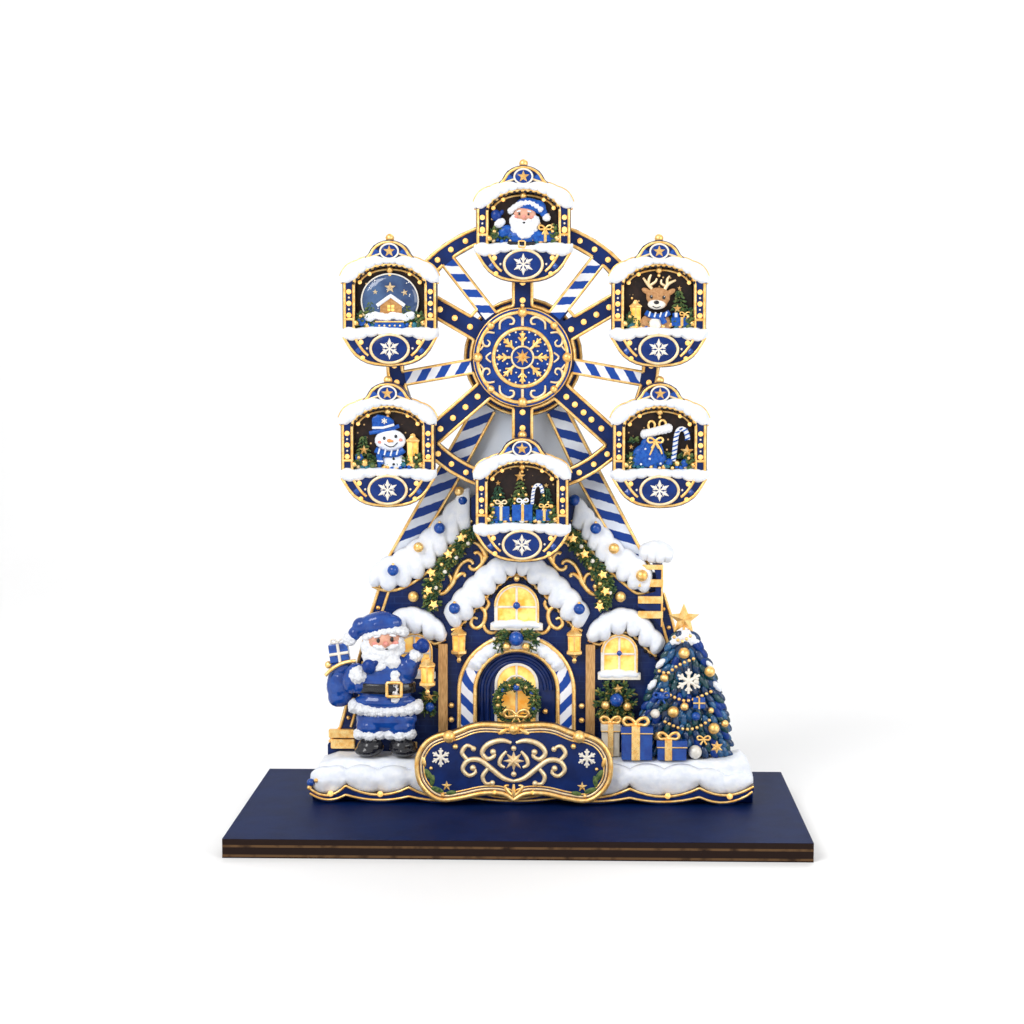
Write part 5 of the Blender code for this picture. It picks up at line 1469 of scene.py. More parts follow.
buds = [
    (13.4, 19.0, 1.0), (6.8, 24.4, 1.0), (7.0, 14.0, 0.9), (13.2, 25.4, 0.9), (0.0, 17.0, 0.9),
    (0.0, 25.6, 0.9)
]
buds = [(middle + side * x, -5.6, z, r) for x, z, r in buds for side in ((-1, 1) if x else (1,))]
parts += [
    beads("sign_buds", buds, cream_gilt, 3),
    stars("sign_centre_star", [(middle, -5.3, 21.3, 3.6, 0.0)], cream_gilt, points=8, inner=0.45, depth=0.3),
]
fleur = [flowing([(middle, 8.6, 0.9), (middle, 11.0, 1.2), (middle, 13.6, 0.6)])]
fleur += [flowing([(middle, 9.4, 0.8), (-0.2, 11.2, 1.1), (0.6, 13.0, 0.9), (-0.6, 13.2, 0.5)])]
fleur.append(other_side(fleur[1], middle))
parts.append(drawn("sign_fleur", [at(-5.4, path) for path in fleur], gilt, 0.6, 8))
gold = [
    (-2.1, -5.4, 32.0, 1.9), (-23.4, -5.5, 29.3, 2.1), (19.2, -5.5, 29.5, 2.1), (-21.4, -5.4, 26.0, 0.9),
    (17.4, -5.4, 26.3, 0.9)
]
gold += [(-5.2, -5.3, 33.0, 0.9), (1.0, -5.3, 33.0, 0.9)]
parts.append(balls("sign_balls", [(*spot, None, None, 0.0, 18, 12) for spot in gold], gilt))
leaves = []
for side in (-1, 1):
    leaves.append((middle + side * 3.4, -5.6, 31.2, 2.0, 0.4, 0.7, side * -28.0))
    leaves.append((middle + side * 29.6, -5.5, 21.0, 1.8, 0.35, 0.7, side * 76.0))
parts.append(balls("sign_leaves", leaves, gilt))
holly = []
for side in (-1, 1):
    holly += [
        (middle + side * 28.0, -5.4, 16.6, 2.3, 0.4, 0.95, side * 58.0),
        (middle + side * 25.2, -5.4, 11.6, 2.3, 0.4, 0.9, side * 20.0)
    ]
    holly += [
        (middle + side * 26.8, -5.4, 14.6, 2.0, 0.4, 0.8, side * 100.0),
        (middle + side * 20.6, -5.4, 10.6, 1.8, 0.4, 0.8, side * -8.0)
    ]
parts += [
    balls("sign_holly", holly, leaf_green),
    beads("sign_drops", [
        (-29.4, -5.6, 18.8, 0.6), (25.0, -5.6, 18.8, 0.6), (-25.6, -5.7, 9.8, 0.6), (21.2, -5.7, 9.8, 0.6)
    ], gilt),
    # two beads of painted glow, given off as emission
    beads("sign_lamps", [(middle + side * 6.3, -5.5, 10.8, 0.75) for side in (-1, 1)], painted_glow_bulb),
    stars("sign_stars", [(-24.3, -5.3, 12.8, 1.8, 0.0), (20.3, -5.3, 12.8, 1.8, 0.0)], gilt),
]


def snowflake(x, y, z, radius):
    """Six arms with a pair of barbs each, as paths from the middle out."""
    paths = []
    for index in range(6):
        turn = math.radians(90 + 60 * index)
        c, s = math.cos(turn), math.sin(turn)
        paths.append([(x, y, z, 1.3), (x + radius * c, y, z + radius * s, 0.8)])
        for side in (-1, 1):
            c2, s2 = math.cos(turn + side * 0.75), math.sin(turn + side * 0.75)
            foot = (x + 0.5 * radius * c, z + 0.5 * radius * s)
            paths.append([
                (foot[0], y, foot[1], 1.0),
                (foot[0] + 0.36 * radius * c2, y, foot[1] + 0.36 * radius * s2, 0.7)
            ])
    return paths


flakes = snowflake(-26.2, -5.4, 22.4, 3.1) + snowflake(21.8, -5.4, 22.4, 3.1)
parts.append(drawn("sign_flakes", flakes, cream_paint, 0.42, 6))
hand_in(joined("sign_ornament", parts), "stand", "gold_cast")


# Figure: one resin casting, hollow and hand-painted, of a bearded gift-bringer in a blue coat who waves, with
# a sack of gifts on the back. Its coat, fur, beard, hands and boots are painted in their own finishes.
def cast(name, places, material, voxel=0.36, smooth=3, rough=0.0, grain=1.0):
    """Ellipsoids melted into one smooth casting; rough raises its surface in lumps of this grain."""
    source = balls(name + "_core", places, material)
    melt = source.modifiers.new("melt", "REMESH")
    melt.mode = "VOXEL"
    melt.voxel_size = voxel * MM
    melt.use_smooth_shade = True
    even = source.modifiers.new("even", "SMOOTH")
    even.iterations = smooth
    even.factor = 0.5
    made = settled(source, name)
    if rough:
        outwards = [corner.normal.copy() for corner in made.data.vertices]
        for corner, out in zip(made.data.vertices, outwards):
            spot = corner.co / MM
            lump = noise.noise(spot / grain) + 0.5 * noise.noise(spot * 2.3 / grain)
            corner.co += out * lump * rough * MM
    for face in made.data.polygons:
        face.use_smooth = True
    return made


deep_blue = finish("deep_blue", (0.003, 0.026, 0.17), (0.006, 0.045, 0.26), 2.0, 0.3, (0.2, 0.36), 0.2)
coat_blue = finish(
    "coat_blue", (0.004, 0.038, 0.23), (0.009, 0.070, 0.34), 3.4, 0.3, (0.14, 0.26), 0.15, Coat_Weight=0.5
)
fur_white = finish("fur_white", (0.74, 0.76, 0.80), (0.86, 0.87, 0.89), 0.8, 0.2, (0.7, 0.9), 0.9)
skin_pink = finish("skin_pink", (0.62, 0.30, 0.20), (0.74, 0.40, 0.28), 1.8, 0.3, (0.4, 0.55), 0.08)
boot_black = finish(
    "boot_black", (0.006, 0.006, 0.010), (0.015, 0.015, 0.020), 2.0, 0.3, (0.12, 0.25), 0.1, Coat_Weight=0.5
)
blush = finish("blush", (0.70, 0.24, 0.20), (0.78, 0.34, 0.28), 1.0, 0.3, (0.45, 0.6), 0.05)
Y = 6.0
SNOW_TOP = 20.3
coat = [
    (-45.2, Y, 45.0, 9.6, 4.6, 7.8), (-45.2, Y, 50.5, 8.0, 4.2, 5.0), (-45.0, Y, 33.0, 10.4, 4.4, 4.6),
    (-55.9, Y, 46.6, 3.9, 3.8, 5.4, -18), (-53.6, Y - 0.6, 44.6, 3.0, 3.2, 3.4),
    (-38.6, Y, 49.6, 4.2, 3.7, 4.4, 38),
    (-36.2, Y - 0.2, 52.4, 2.9, 3.0, 3.2, 20), (-50.2, Y, 30.4, 5.2, 4.0, 3.6),
    (-40.6, Y, 30.4, 5.2, 4.0, 3.6),
    (-45.4, Y, 39.0, 10.6, 4.5, 3.0),
]
parts = [cast("figure_coat", coat, coat_blue)]
cap = [
    (-46.8, Y, 64.6, 7.4, 4.1, 3.8, 8), (-48.6, Y, 66.2, 6.2, 3.7, 2.6, 16),
    (-53.2, Y, 64.0, 3.2, 3.1, 3.2, 40), (-55.6, Y, 61.6, 2.2, 2.4, 2.4)
]
parts.append(cast("figure_cap", cap, coat_blue))
fur = []
for i in range(9):
    arch = 0.16 * i * (8 - i) * 0.5
    fur.append((-51.4 + 1.55 * i, Y - 0.2 - 0.25 * (4 - abs(i - 4)), 60.6 + 0.22 * i + arch, 1.6, 3.6, 1.7))
hem = [(-55.8 + 2.35 * i, Y - 0.3, 37.2 - 0.30 * i * (9 - i) * 0.25, 2.0, 4.9, 2.35) for i in range(10)]
front = [(-41.8, Y - 3.9, 48.4 - 2.0 * i, 1.6, 0.9, 1.5) for i in range(5)]
cuffs = [(-54.4, Y - 1.7, 47.9, 3.2, 3.5, 3.2), (-35.2, Y - 0.6, 54.3, 2.6, 3.2, 2.2, 30)]
ankles = [
    (-53.9, Y - 0.2, 27.9, 2.2, 3.9, 2.0), (-50.6, Y - 0.6, 27.6, 2.6, 4.2, 2.1),
    (-47.4, Y - 0.2, 27.9, 2.2, 3.9, 2.0)
]
ankles += [(x + 10.2, y, z) + tuple(rest) for x, y, z, *rest in ankles]
pompom = [(-57.2, Y - 0.1, 59.8, 2.4, 2.4, 2.4)]
parts.append(cast("figure_fur", fur + hem + front + cuffs + ankles + pompom, fur_white, 0.32, 2, 0.42, 0.8))
head = [(-45.6, Y - 1.2, 59.2, 6.0, 3.6, 4.2)]
parts.append(cast("figure_face", head, skin_pink, 0.34, 2))
beard = [
    (-46.6, Y - 1.4, 54.6, 6.6, 3.5, 5.0), (-51.2, Y - 0.8, 57.8, 2.2, 2.8, 3.6, -12),
    (-40.6, Y - 0.8, 57.8, 2.0, 2.8, 3.4, 12)
]
beard += [
    (-47.4, Y - 1.8, 51.4, 4.6, 3.0, 2.6), (-43.2, Y - 1.8, 52.4, 3.6, 3.0, 2.6),
    (-46.9, Y - 4.2, 57.6, 2.4, 0.9, 0.85, -16), (-42.6, Y - 4.2, 57.9, 2.3, 0.9, 0.85, 18)
]
parts += [
    cast("figure_beard", beard, fur_white, 0.32, 2, 0.40, 1.3),
    balls("figure_brows", [
        (-47.6, Y - 4.5, 61.3, 1.2, 0.5, 0.42, 12), (-42.4, Y - 4.5, 61.7, 1.2, 0.5, 0.42, -8)
    ], fur_white),
    balls("figure_nose", [(-44.7, Y - 5.0, 59.0, 0.95, 0.8, 0.8)], blush),
    balls(
        "figure_cheeks", [(-48.2, Y - 4.1, 58.8, 1.2, 0.5, 0.8), (-41.6, Y - 4.1, 59.2, 1.1, 0.5, 0.8)], blush
    ),
]
eyes = [(-47.2, Y - 4.6, 60.0, 0.62, 0.4, 0.8), (-42.7, Y - 4.6, 60.4, 0.62, 0.4, 0.8)]
parts += [
    balls("figure_eyes", eyes, boot_black),
    balls("figure_mouth", [(-44.4, Y - 4.9, 57.2, 0.55, 0.35, 0.28)], boot_black),
]
mitts = [
    (-50.3, Y - 4.0, 51.2, 2.5, 1.9, 2.5), (-48.2, Y - 4.2, 52.4, 0.95, 1.2, 1.3, -30),
    (-32.7, Y - 1.8, 57.9, 2.3, 2.0, 2.6, 12), (-35.0, Y - 2.0, 57.6, 0.95, 1.2, 1.4, 40)
]
parts.append(cast("figure_mitts", mitts, deep_blue, 0.3, 2))
strap = [(0.0, 0.0), (9.7, 0.0), (10.15, 0.3), (10.15, 3.1), (9.7, 3.4), (0.0, 3.4)]
parts.append(turned_piece("figure_belt", strap, -45.3, Y, 42.0, boot_black, 64, False, None, 0.49))
buckle = [(-44.4, 41.4), (-39.6, 41.4), (-39.6, 46.0), (-44.4, 46.0), (-44.4, 41.4)]
parts.append(drawn("figure_buckle", [at(Y - 5.2, buckle)], gilt, 0.55, 8))
boots = [
    (-50.4, Y - 0.6, 23.6, 4.6, 4.0, 3.2), (-51.4, Y - 1.0, 22.4, 4.4, 4.0, 2.0),
    (-39.8, Y - 0.6, 23.8, 4.6, 4.0, 3.2), (-39.0, Y - 1.0, 22.4, 4.4, 4.0, 2.0)
]
boots += [(-50.4, Y, 26.0, 3.6, 3.4, 2.0), (-39.9, Y, 26.0, 3.6, 3.4, 2.0)]
boot = cast("figure_boots", boots, boot_black, 0.32, 3)
for corner in boot.data.vertices:
    corner.co.z = max(corner.co.z, SNOW_TOP * MM)
parts.append(boot)
sack = [
    (-60.6, Y + 3.0, 43.6, 4.9, 3.4, 7.0), (-60.2, Y + 3.0, 49.4, 4.2, 3.0, 3.0),
    (-61.2, Y + 3.0, 39.6, 3.9, 3.0, 3.4)
]
parts.append(cast("figure_sack", sack, coat_blue, 0.36, 3, 0.12, 2.0))
hem_line = flowing([(-65.4, 47.4, 1.0), (-62.8, 49.9, 1.1), (-59.0, 51.8, 1.1), (-55.2, 52.4, 1.0)])
parts.append(drawn("figure_sack_hem", [[(x, Y + 0.1, z, w) for x, z, w in hem_line]], gilt, 0.6, 8))
box = [(-63.8, 51.2), (-57.4, 52.2), (-58.2, 58.4), (-64.6, 57.4)]
parts.append(board("figure_gift", box, Y + 0.8, Y + 5.0, blue_gloss, (), 0.3))
tie = [at(Y + 0.65, [(-60.5, 51.8), (-61.4, 57.9)]), at(Y + 0.65, [(-64.2, 54.2), (-57.8, 55.2)])]
parts += [
    drawn("figure_gift_tie", tie, cream_paint, 0.55, 6),
    bow("figure_gift_bow", -61.5, Y + 2.6, 58.0, 2.4, cream_paint, False),
    balls("figure_gift_ball", [(-64.6, Y + 2.6, 50.6, 1.3)], gilt),
]
hand_in(joined("gift_bringer", parts), "stand", "blue_cast", "santa_figure")
steps = [boxy(-65.5, -56.5, 24.6, 27.6), boxy(-64.8, -56.5, 20.9, 24.2), boxy(-44.0, -35.5, 21.0, 23.4)]
steps = [board(f"step_{index}", outline, 14.0, 15.7, gilt, (), 0.4) for index, outline in enumerate(steps)]
hand_in(joined("foot_steps", steps), "stand", "gold_cast")


# Tree: a resin fir, its rows of rounded tufts glossy in navy, teal and blue,
# with snow on its crown, glass balls, strings of beads and bows, and a gilt
# star on a short wire at its top. It stands in the snow of the bank.
fir_gloss = finish(
    "fir_gloss", (0.002, 0.018, 0.070), (0.006, 0.044, 0.14), 1.6, 0.3, (0.1, 0.2), 0.1, Coat_Weight=0.6
)
TREE_X, TREE_Y, FLAT = 54.3, 9.4, 0.24
core = [
    (0.0, 0.3), (9.0, 0.8), (13.6, 5.0), (9.6, 12.4), (11.6, 15.4), (7.6, 22.6), (9.0, 25.4), (5.0, 32.0),
    (5.8, 34.6), (1.8, 40.6), (0.5, 42.0), (0.0, 42.8)
]
parts = [turned_piece("fir_core", core, TREE_X, TREE_Y, SNOW_TOP, fir_gloss, 28, False, None, FLAT)]
fir_pale = finish(
    "fir_pale", (0.007, 0.060, 0.17), (0.020, 0.12, 0.28), 1.2, 0.3, (0.1, 0.2), 0.1, Coat_Weight=0.6
)
fir_teal = finish(
    "fir_teal", (0.003, 0.030, 0.048), (0.008, 0.070, 0.085), 1.2, 0.3, (0.1, 0.2), 0.1, Coat_Weight=0.6
)
chance = Random(31)
tufts = {fir_gloss: [], fir_teal: [], fir_pale: [], deep_blue: []}
reaches = [
    (20.3, 14.2), (26.0, 14.2), (31.0, 13.4), (36.0, 12.2), (43.0, 10.0), (50.0, 7.4), (56.0, 4.8),
    (61.5, 2.2)
]
for (low, wide), (high, narrow) in zip(reaches, reaches[1:]):
    rows = round((high - low) / 2.6)
    for row in range(rows):
        height = low + (high - low) * row / rows + 1.7
        reach = wide + (narrow - wide) * row / rows
        count = max(6, round(reach * 1.8))
        for index in range(count):
            angle = 2 * math.pi * (index + 0.5 * (row % 2) + chance.uniform(-0.2, 0.2)) / count
            side, ahead = math.sin(angle), math.cos(angle)
            far = reach + chance.uniform(-0.3, 0.7)
            spot = (
                TREE_X + far * side, TREE_Y - FLAT * 0.95 * far * ahead, height + chance.uniform(-0.7, 0.7)
            )
            size = chance.uniform(0.92, 1.15)
            shape = (1.2 * size, 1.0, 2.25 * size, side * 46 + chance.uniform(-10, 10), 10, 7)
            kind = chance.choices(list(tufts), (5, 5, 3, 2))[0]
            tufts[kind].append(spot + shape)
parts += [balls("fir_" + kind.name, places, kind) for kind, places in tufts.items()]
snow_lumps = [
    (TREE_X - 0.3, TREE_Y - 0.2, 60.2, 4.4, 2.0, 1.9), (TREE_X - 3.2, TREE_Y - 0.4, 58.6, 2.0, 1.6, 1.2),
    (TREE_X + 3.0, TREE_Y - 0.4, 58.8, 2.1, 1.6, 1.3)
]
snow_lumps += [
    (TREE_X, TREE_Y, 62.0, 2.2, 1.4, 1.0), (43.6, 7.6, 44.6, 2.3, 1.4, 1.1, 50),
    (46.3, 7.6, 51.8, 2.1, 1.4, 1.0, 50), (65.2, 7.6, 44.2, 2.2, 1.3, 1.0, -50)
]
snow_lumps += [
    (62.6, 7.8, 51.4, 1.8, 1.2, 0.9, -50), (48.6, 7.6, 41.4, 2.0, 1.2, 0.8, 8),
    (60.2, 7.4, 33.6, 2.2, 1.2, 0.9, -6)
]
parts.append(cast("fir_snow", snow_lumps, snow_paste, 0.3, 2, 0.25, 1.2))
gold = [
    (54.0, 6.2, 55.5, 1.9), (47.5, 5.6, 47.3, 1.4), (62.5, 5.6, 49.5, 1.8), (50.5, 4.9, 36.0, 1.9),
    (54.2, 4.8, 37.8, 1.4), (64.0, 4.9, 30.5, 1.9)
]
gold += [(63.0, 5.2, 36.5, 1.0), (67.7, 5.6, 32.0, 1.2), (45.4, 5.3, 27.6, 1.5)]
parts.append(balls("fir_gold", [(*spot, None, None, 0.0, 16, 10) for spot in gold], gilt))
pearl = finish("pearl", (0.70, 0.66, 0.58), (0.80, 0.77, 0.70), 1.4, 0.3, (0.12, 0.25), 0.05, Coat_Weight=0.6)
pearls = [(44.5, 5.2, 35.3, 1.6), (57.8, 4.6, 22.6, 2.3), (58.0, 5.4, 46.0, 1.0)]
parts += [
    balls("fir_pearls", [(*spot, None, None, 0.0, 16, 10) for spot in pearls], pearl),
    balls("fir_gem", [(58.0, 4.7, 34.6, 1.5), (46.5, 5.3, 41.2, 1.5), (51.0, 4.9, 28.0, 1.6)], blue_gloss),
    drawn("fir_flake", snowflake(55.5, 5.1, 46.3, 4.2), cream_paint, 0.5, 8),
]
strings = [
    [(45.0, 50.0), (48.5, 49.0), (52.0, 51.6), (58.0, 54.2)],
    [(46.0, 43.6), (52.0, 40.4), (56.4, 40.0), (64.0, 43.4)], [(50.0, 61.6), (53.0, 59.6), (56.4, 61.8)],
    [(47.0, 33.0), (53.0, 30.4), (58.0, 30.6), (63.0, 33.6)]
]
pearls = [(x, 5.0, z, 0.6) for path in strings for x, z in evenly(flowing(path), 1.6)]
parts += [
    beads("fir_strings", pearls, gilt),
    stars("fir_flower", [(65.0, 4.9, 24.2, 2.2, 0.0)], gilt, points=6, inner=0.5),
    bow("fir_bow", 46.5, 4.9, 41.0, 2.7, blue_gloss),
    bow("fir_gold_bow", 60.6, 4.9, 26.8, 2.2, gilt),
]
fir_box = board("fir_box", boxy(57.0, 61.0, 37.2, 41.0), 4.2, 6.4, blue_gloss, (), 0.3)
parts += [fir_box, drawn(
    "fir_box_tie", [at(4.1, [(59.0, 37.2), (59.0, 41.0)]), at(4.1, [(57.0, 39.1), (61.0, 39.1)])], gilt, 0.3
)]
whole = joined("fir_tree", parts)
for corner in whole.data.vertices:
    corner.co.z = max(corner.co.z, SNOW_TOP * MM)
hand_in(whole, "stand", "tree_cast", "tree")
top_star = stars("fir_star_body", [(54.0, 9.4, 66.4, 5.4, 0.0)], gilt, inner=0.44, depth=0.32)
wire = drawn("fir_star_wire", [[(54.0, 9.4, 62.8), (54.0, 9.4, 64.2)]], gilt, 0.4)
hand_in(joined("fir_star", [top_star, wire]), "stand", "gold_cast", "tree_star")


# Gifts: three small boxes of board wrapped in lacquered paper, with
# lids, ribbons and tied bows. They stand in the snow of the bank.
gift_blue = finish(
    "gift_blue", (0.004, 0.040, 0.25), (0.010, 0.075, 0.36), 3.0, 0.3, (0.14, 0.28), 0.15, Coat_Weight=0.3
)
gift_pale = finish("gift_pale", (0.62, 0.56, 0.45), (0.74, 0.68, 0.58), 2.0, 0.3, (0.3, 0.45), 0.15)


def gift(node, name, x, y, width, depth, height, paper, ribbon, ribbon_at, ribbon_half, bow_size):
    """A wrapped box with its lid, a ribbon at this x and a bow, standing on the snow."""
    x0, x1, foot = x - width / 2, x + width / 2, SNOW_TOP
    y0, y1, top = y - depth / 2, y + depth / 2, SNOW_TOP + height
    parts = [
        board(name + "_box", boxy(x0, x1, foot, top - 1.0), y0, y1, paper, (), 0.25),
        board(name + "_lid", boxy(x0 - 0.3, x1 + 0.3, top - 2.2, top), y0 - 0.3, y1 + 0.3, paper, (), 0.3),
    ]
    band = boxy(ribbon_at - ribbon_half, ribbon_at + ribbon_half, foot, top + 0.25)
    parts += [
        board(name + "_band", band, y0 - 0.5, y1 + 0.45, ribbon, (), 0.15),
        bow(name + "_bow", ribbon_at, y - 0.6, top + 0.7, bow_size, ribbon, False),
    ]
    edge = [at(y0 - 0.32, [(x0 - 0.2, top - 2.2), (x1 + 0.2, top - 2.2)])]
    parts.append(drawn(name + "_edge", edge, gilt, 0.22))
    hand_in(joined(name, parts), "stand", "blue_cast" if paper is gift_blue else "gold_cast", node)


gift("gift_large", "gift_tall", 38.4, 3.4, 10.2, 3.6, 11.2, gift_blue, gilt, 38.0, 1.4, 4.2)
gift("gift_small", "gift_low", 50.0, 3.1, 9.6, 3.0, 6.6, gift_blue, gilt, 48.8, 1.2, 3.6)
gift("gift_rear", "gift_behind", 29.8, 9.2, 6.0, 4.0, 10.8, gift_pale, gilt, 29.8, 0.9, 3.4)


# Wheel: one sheet of navy plywood with a rim, ten spokes and five ears. Gilt
# lines edge the rim and the openings, four spokes are laid with candy-striped
# strips, and studs of painted glow are set along the rest. It turns on the axle.
WHEEL_Y = 9.0
wheel_navy = sheet_finish("wheel_navy", 9.0, 12.0, **NAVY, patch=5.0)
painted("wheel_frame", wheel_navy)
RIM_LINE, RIM_OUTSIDE, RIM_INSIDE, EAR_HALF = 44.7, 45.3, 40.0, 3.6
ears = [(89.54, 4.8), (152.18, 3.55), (26.98, 4.52), (207.95, 4.62), (332.53, 5.42)]


def spoke_point(angle, along, across=0.0):
    """A place this far out along a spoke, and this far beside it."""
    c, s = math.cos(math.radians(angle)), math.sin(math.radians(angle))
    return HUB_X + along * c - across * s, HUB_Z + along * s + across * c


rim_line = []
ears.sort()
reach_half = math.degrees(math.asin(EAR_HALF / RIM_LINE))
for index, (angle, outside) in enumerate(ears):
    rim_line += [spoke_point(angle, RIM_LINE, -EAR_HALF)]
    rim_line += [spoke_point(angle, RIM_OUTSIDE + outside + EAR_HALF * math.cos(t), EAR_HALF * math.sin(t))
                 for t in [math.radians(d) for d in range(-90, 91, 15)]]
    rim_line += [spoke_point(angle, RIM_LINE, EAR_HALF)]
    following = ears[(index + 1) % 5][0] + (360 if index == 4 else 0)
    start, end = angle + reach_half, following - reach_half
    rim_line += ring(HUB_X, HUB_Z, RIM_LINE, None, start, end, 14)[1:-1]
paths = [at(WHEEL_Y, rim_line + rim_line[:1])]
spokes = sorted([(a, 3.5) for a in (30, 90, 150, 221, 270, 318)] + [(a, 2.6) for a in (52, 128, 190, 350)])
for (start, first), (end, second) in zip(spokes, spokes[1:] + [(spokes[0][0] + 360, spokes[0][1])]):
    meeting = max(17.0, (first + second + 2.2) / math.radians(end - start))
    low = [math.degrees(math.asin((first - 0.45) / r)) + start for r in (meeting, RIM_INSIDE)]
    high = [end - math.degrees(math.asin((second - 0.45) / r)) for r in (meeting, RIM_INSIDE)]
    window_line = ring(HUB_X, HUB_Z, RIM_INSIDE, None, low[1], high[1], 12)
    window_line += list(reversed(ring(HUB_X, HUB_Z, meeting, None, low[0], high[0], 5)))
    paths.append(at(WHEEL_Y, window_line + window_line[:1]))
wheel_lines = drawn("wheel_lines", paths, gilt, 0.58)
studs = [(*spoke_point(360 * index / 48 + 3.75, 42.4), 0.95) for index in range(48)]
placed_at = {
    30: (18.4, 23.2, 28.0, 32.8), 90: (18.7, 24.5, 30.0), 150: (20.0, 25.8, 31.4),
    221: (19.7, 25.0, 30.5, 36.0)
}
placed_at |= {270: (18.1, 23.3, 29.0), 318: (19.4, 23.2, 27.1, 30.6, 35.0)}
studs += [(*spoke_point(angle, r), 1.0) for angle, places in placed_at.items() for r in places]
wheel_studs = beads("wheel_studs", [(x, WHEEL_Y - 0.1, z, r) for x, z, r in studs], painted_glow_bulb)
candy = {side: strip_finish(f"candy_{end}", 6.5, side * 0.82) for side, end in ((1, "left"), (-1, "right"))}
strips = []
for angle, side in ((52, -1), (128, 1), (190, 1), (350, -1)):
    edges = [[spoke_point(angle, r, across) for r in (17.2, 39.4)] for across in (2.1, -2.1)]
    strips.append(laid_band(f"strip_{angle}", *edges, 8.6, 9.05, candy[side]))
hand_in(joined("candy_strips", strips), "wheel", "stripe_wood")
hand_in(joined("wheel_trim", [wheel_lines, wheel_studs]), "wheel", "gold_cast")
back_paths = [[(x, 12.05, z) for x, y, z in path] for path in paths]
hand_in(drawn("wheel_back_lines", back_paths, gilt, 0.35), "wheel", "gold_cast")


# Medallion: a cast gilt boss over the wheel's hub, of two raised rings with scrolls between them, eight
# leaf-shaped arms round a star, white dots on blue ground, and eight balls on its rim. Glued on the wheel.
disc = [
    (3.3, 7.2), (3.3, 8.7), (16.2, 8.7), (16.2, 7.1), (15.9, 6.7), (14.6, 6.7), (14.2, 7.1), (11.4, 7.1),
    (10.6, 6.9), (9.4, 6.9), (9.0, 7.0), (0.0, 7.0)
]


def faced_disc(name, profile, x, z, material, around=64, up=1.0):
    """A turned solid on the wheel's axis; the profile is (radius, y) from back rim to front middle."""
    shape = bmesh.new()
    rows = []
    for radius, y in [(0.0, profile[0][1])] + profile:
        row = []
        for index in range(around if radius > 0 else 1):
            angle = 2 * math.pi * index / around
            row.append(shape.verts.new(
                ((x + radius * math.cos(angle)) * MM, y * MM, (z + up * radius * math.sin(angle)) * MM)
            ))
        rows.append(row)
    skinned(shape, rows)
    made = mesh_of(shape, name, material, 4)
    made.data.set_sharp_from_angle(angle=math.radians(40))
    return made


parts = [faced_disc("medallion_disc", disc, HUB_X, HUB_Z, deep_blue)]


def hub(points):
    """Places measured from the hub's middle, set at their depth."""
    return [(HUB_X + x, y, HUB_Z + z, *rest) for x, y, z, *rest in points]


def hub_ring(radius, y):
    """A circle round the hub at this depth."""
    return hub([(x, y, z) for x, z in ring(0.0, 0.0, radius, None, 0, 360, 64)])


parts += [
    drawn("medallion_outer", [hub_ring(14.8, 6.8)], gilt, 0.62, 12),
    drawn("medallion_inner", [hub_ring(9.5, 6.9)], gilt, 0.66, 12),
    drawn("medallion_fine", [hub_ring(16.0, 7.1), hub_ring(16.1, 8.3)], gilt, 0.3, 6),
    drawn("medallion_heart", [hub_ring(3.6, 6.8)], cream_gilt, 0.34, 8),
]
arms = []
for index in range(8):
    turn = math.radians(45 * index)
    c, s = math.cos(turn), math.sin(turn)
    for pair in ([
        (3.9, 0.0, 1.0), (8.6, 0.0, 0.7)
    ], [(5.2, 0.0, 0.9), (6.6, 1.35, 0.6)], [(5.2, 0.0, 0.9), (6.6, -1.35, 0.6)],
                 [(6.8, 0.0, 0.9), (7.9, 0.9, 0.5)], [(6.8, 0.0, 0.9), (7.9, -0.9, 0.5)]):
        arms.append(hub([(a * c - b * s, 6.75, a * s + b * c, w) for a, b, w in pair]))
parts.append(drawn("medallion_arms", arms, gilt, 0.5, 8))
leaves = []
for index in range(8):
    turn = 45 * index
    c, s = math.cos(math.radians(turn)), math.sin(math.radians(turn))
    leaves.append((HUB_X + 7.0 * c, 6.7, HUB_Z + 7.0 * s, 1.5, 0.4, 0.55, turn))
parts += [
    balls("medallion_leaves", leaves, gilt),
    stars("medallion_star", [(HUB_X, 6.9, HUB_Z, 2.7, 0.0)], gilt, points=8, inner=0.45, depth=0.3),
]
dots = []
for index in range(8):
    for offset in (-7.5, 7.5):
        turn = math.radians(22.5 + 45 * index + offset)
        dots.append((HUB_X + 8.5 * math.cos(turn), 6.8, HUB_Z + 8.5 * math.sin(turn), 0.34))
for index in range(8):
    turn = math.radians(22.5 + 45 * index)
    dots.append((HUB_X + 5.4 * math.cos(turn), 6.8, HUB_Z + 5.4 * math.sin(turn), 0.3))
parts.append(beads("medallion_dots", dots, cream_paint))
quarter = [
    flowing([
        (7.5, 9.2, 0.8), (7.2, 11.7, 1.0), (4.7, 13.2, 1.1), (2.9, 12.5, 1.0), (3.0, 11.0, 0.9),
        (4.3, 10.9, 0.6)
    ]),
    flowing([
        (9.2, 8.0, 0.8), (11.7, 8.2, 1.0), (13.2, 6.2, 1.1), (12.7, 4.0, 1.0), (11.2, 3.7, 0.9),
        (10.7, 5.0, 0.7), (11.6, 5.7, 0.5)
    ]),
    flowing([(12.9, 3.7, 0.8), (14.0, 2.3, 0.7)]),
    flowing([(10.3, 1.6, 0.7), (12.0, 0.0, 0.8), (10.3, -1.6, 0.7)]),
]
paths = []
for side in (-1, 1):
    for up in (-1, 1):
        for path in quarter[: 4 if up > 0 else 3]:
            paths.append(hub([(side * x, 6.95, up * z, w) for x, z, w in path]))
paths += [hub([(0.0, 6.9, up * 10.4, 1.2), (0.0, 6.9, up * 13.6, 1.2)]) for up in (-1, 1)]
parts.append(drawn("medallion_scrolls", paths, cream_gilt, 0.42, 8))
rim_balls = []
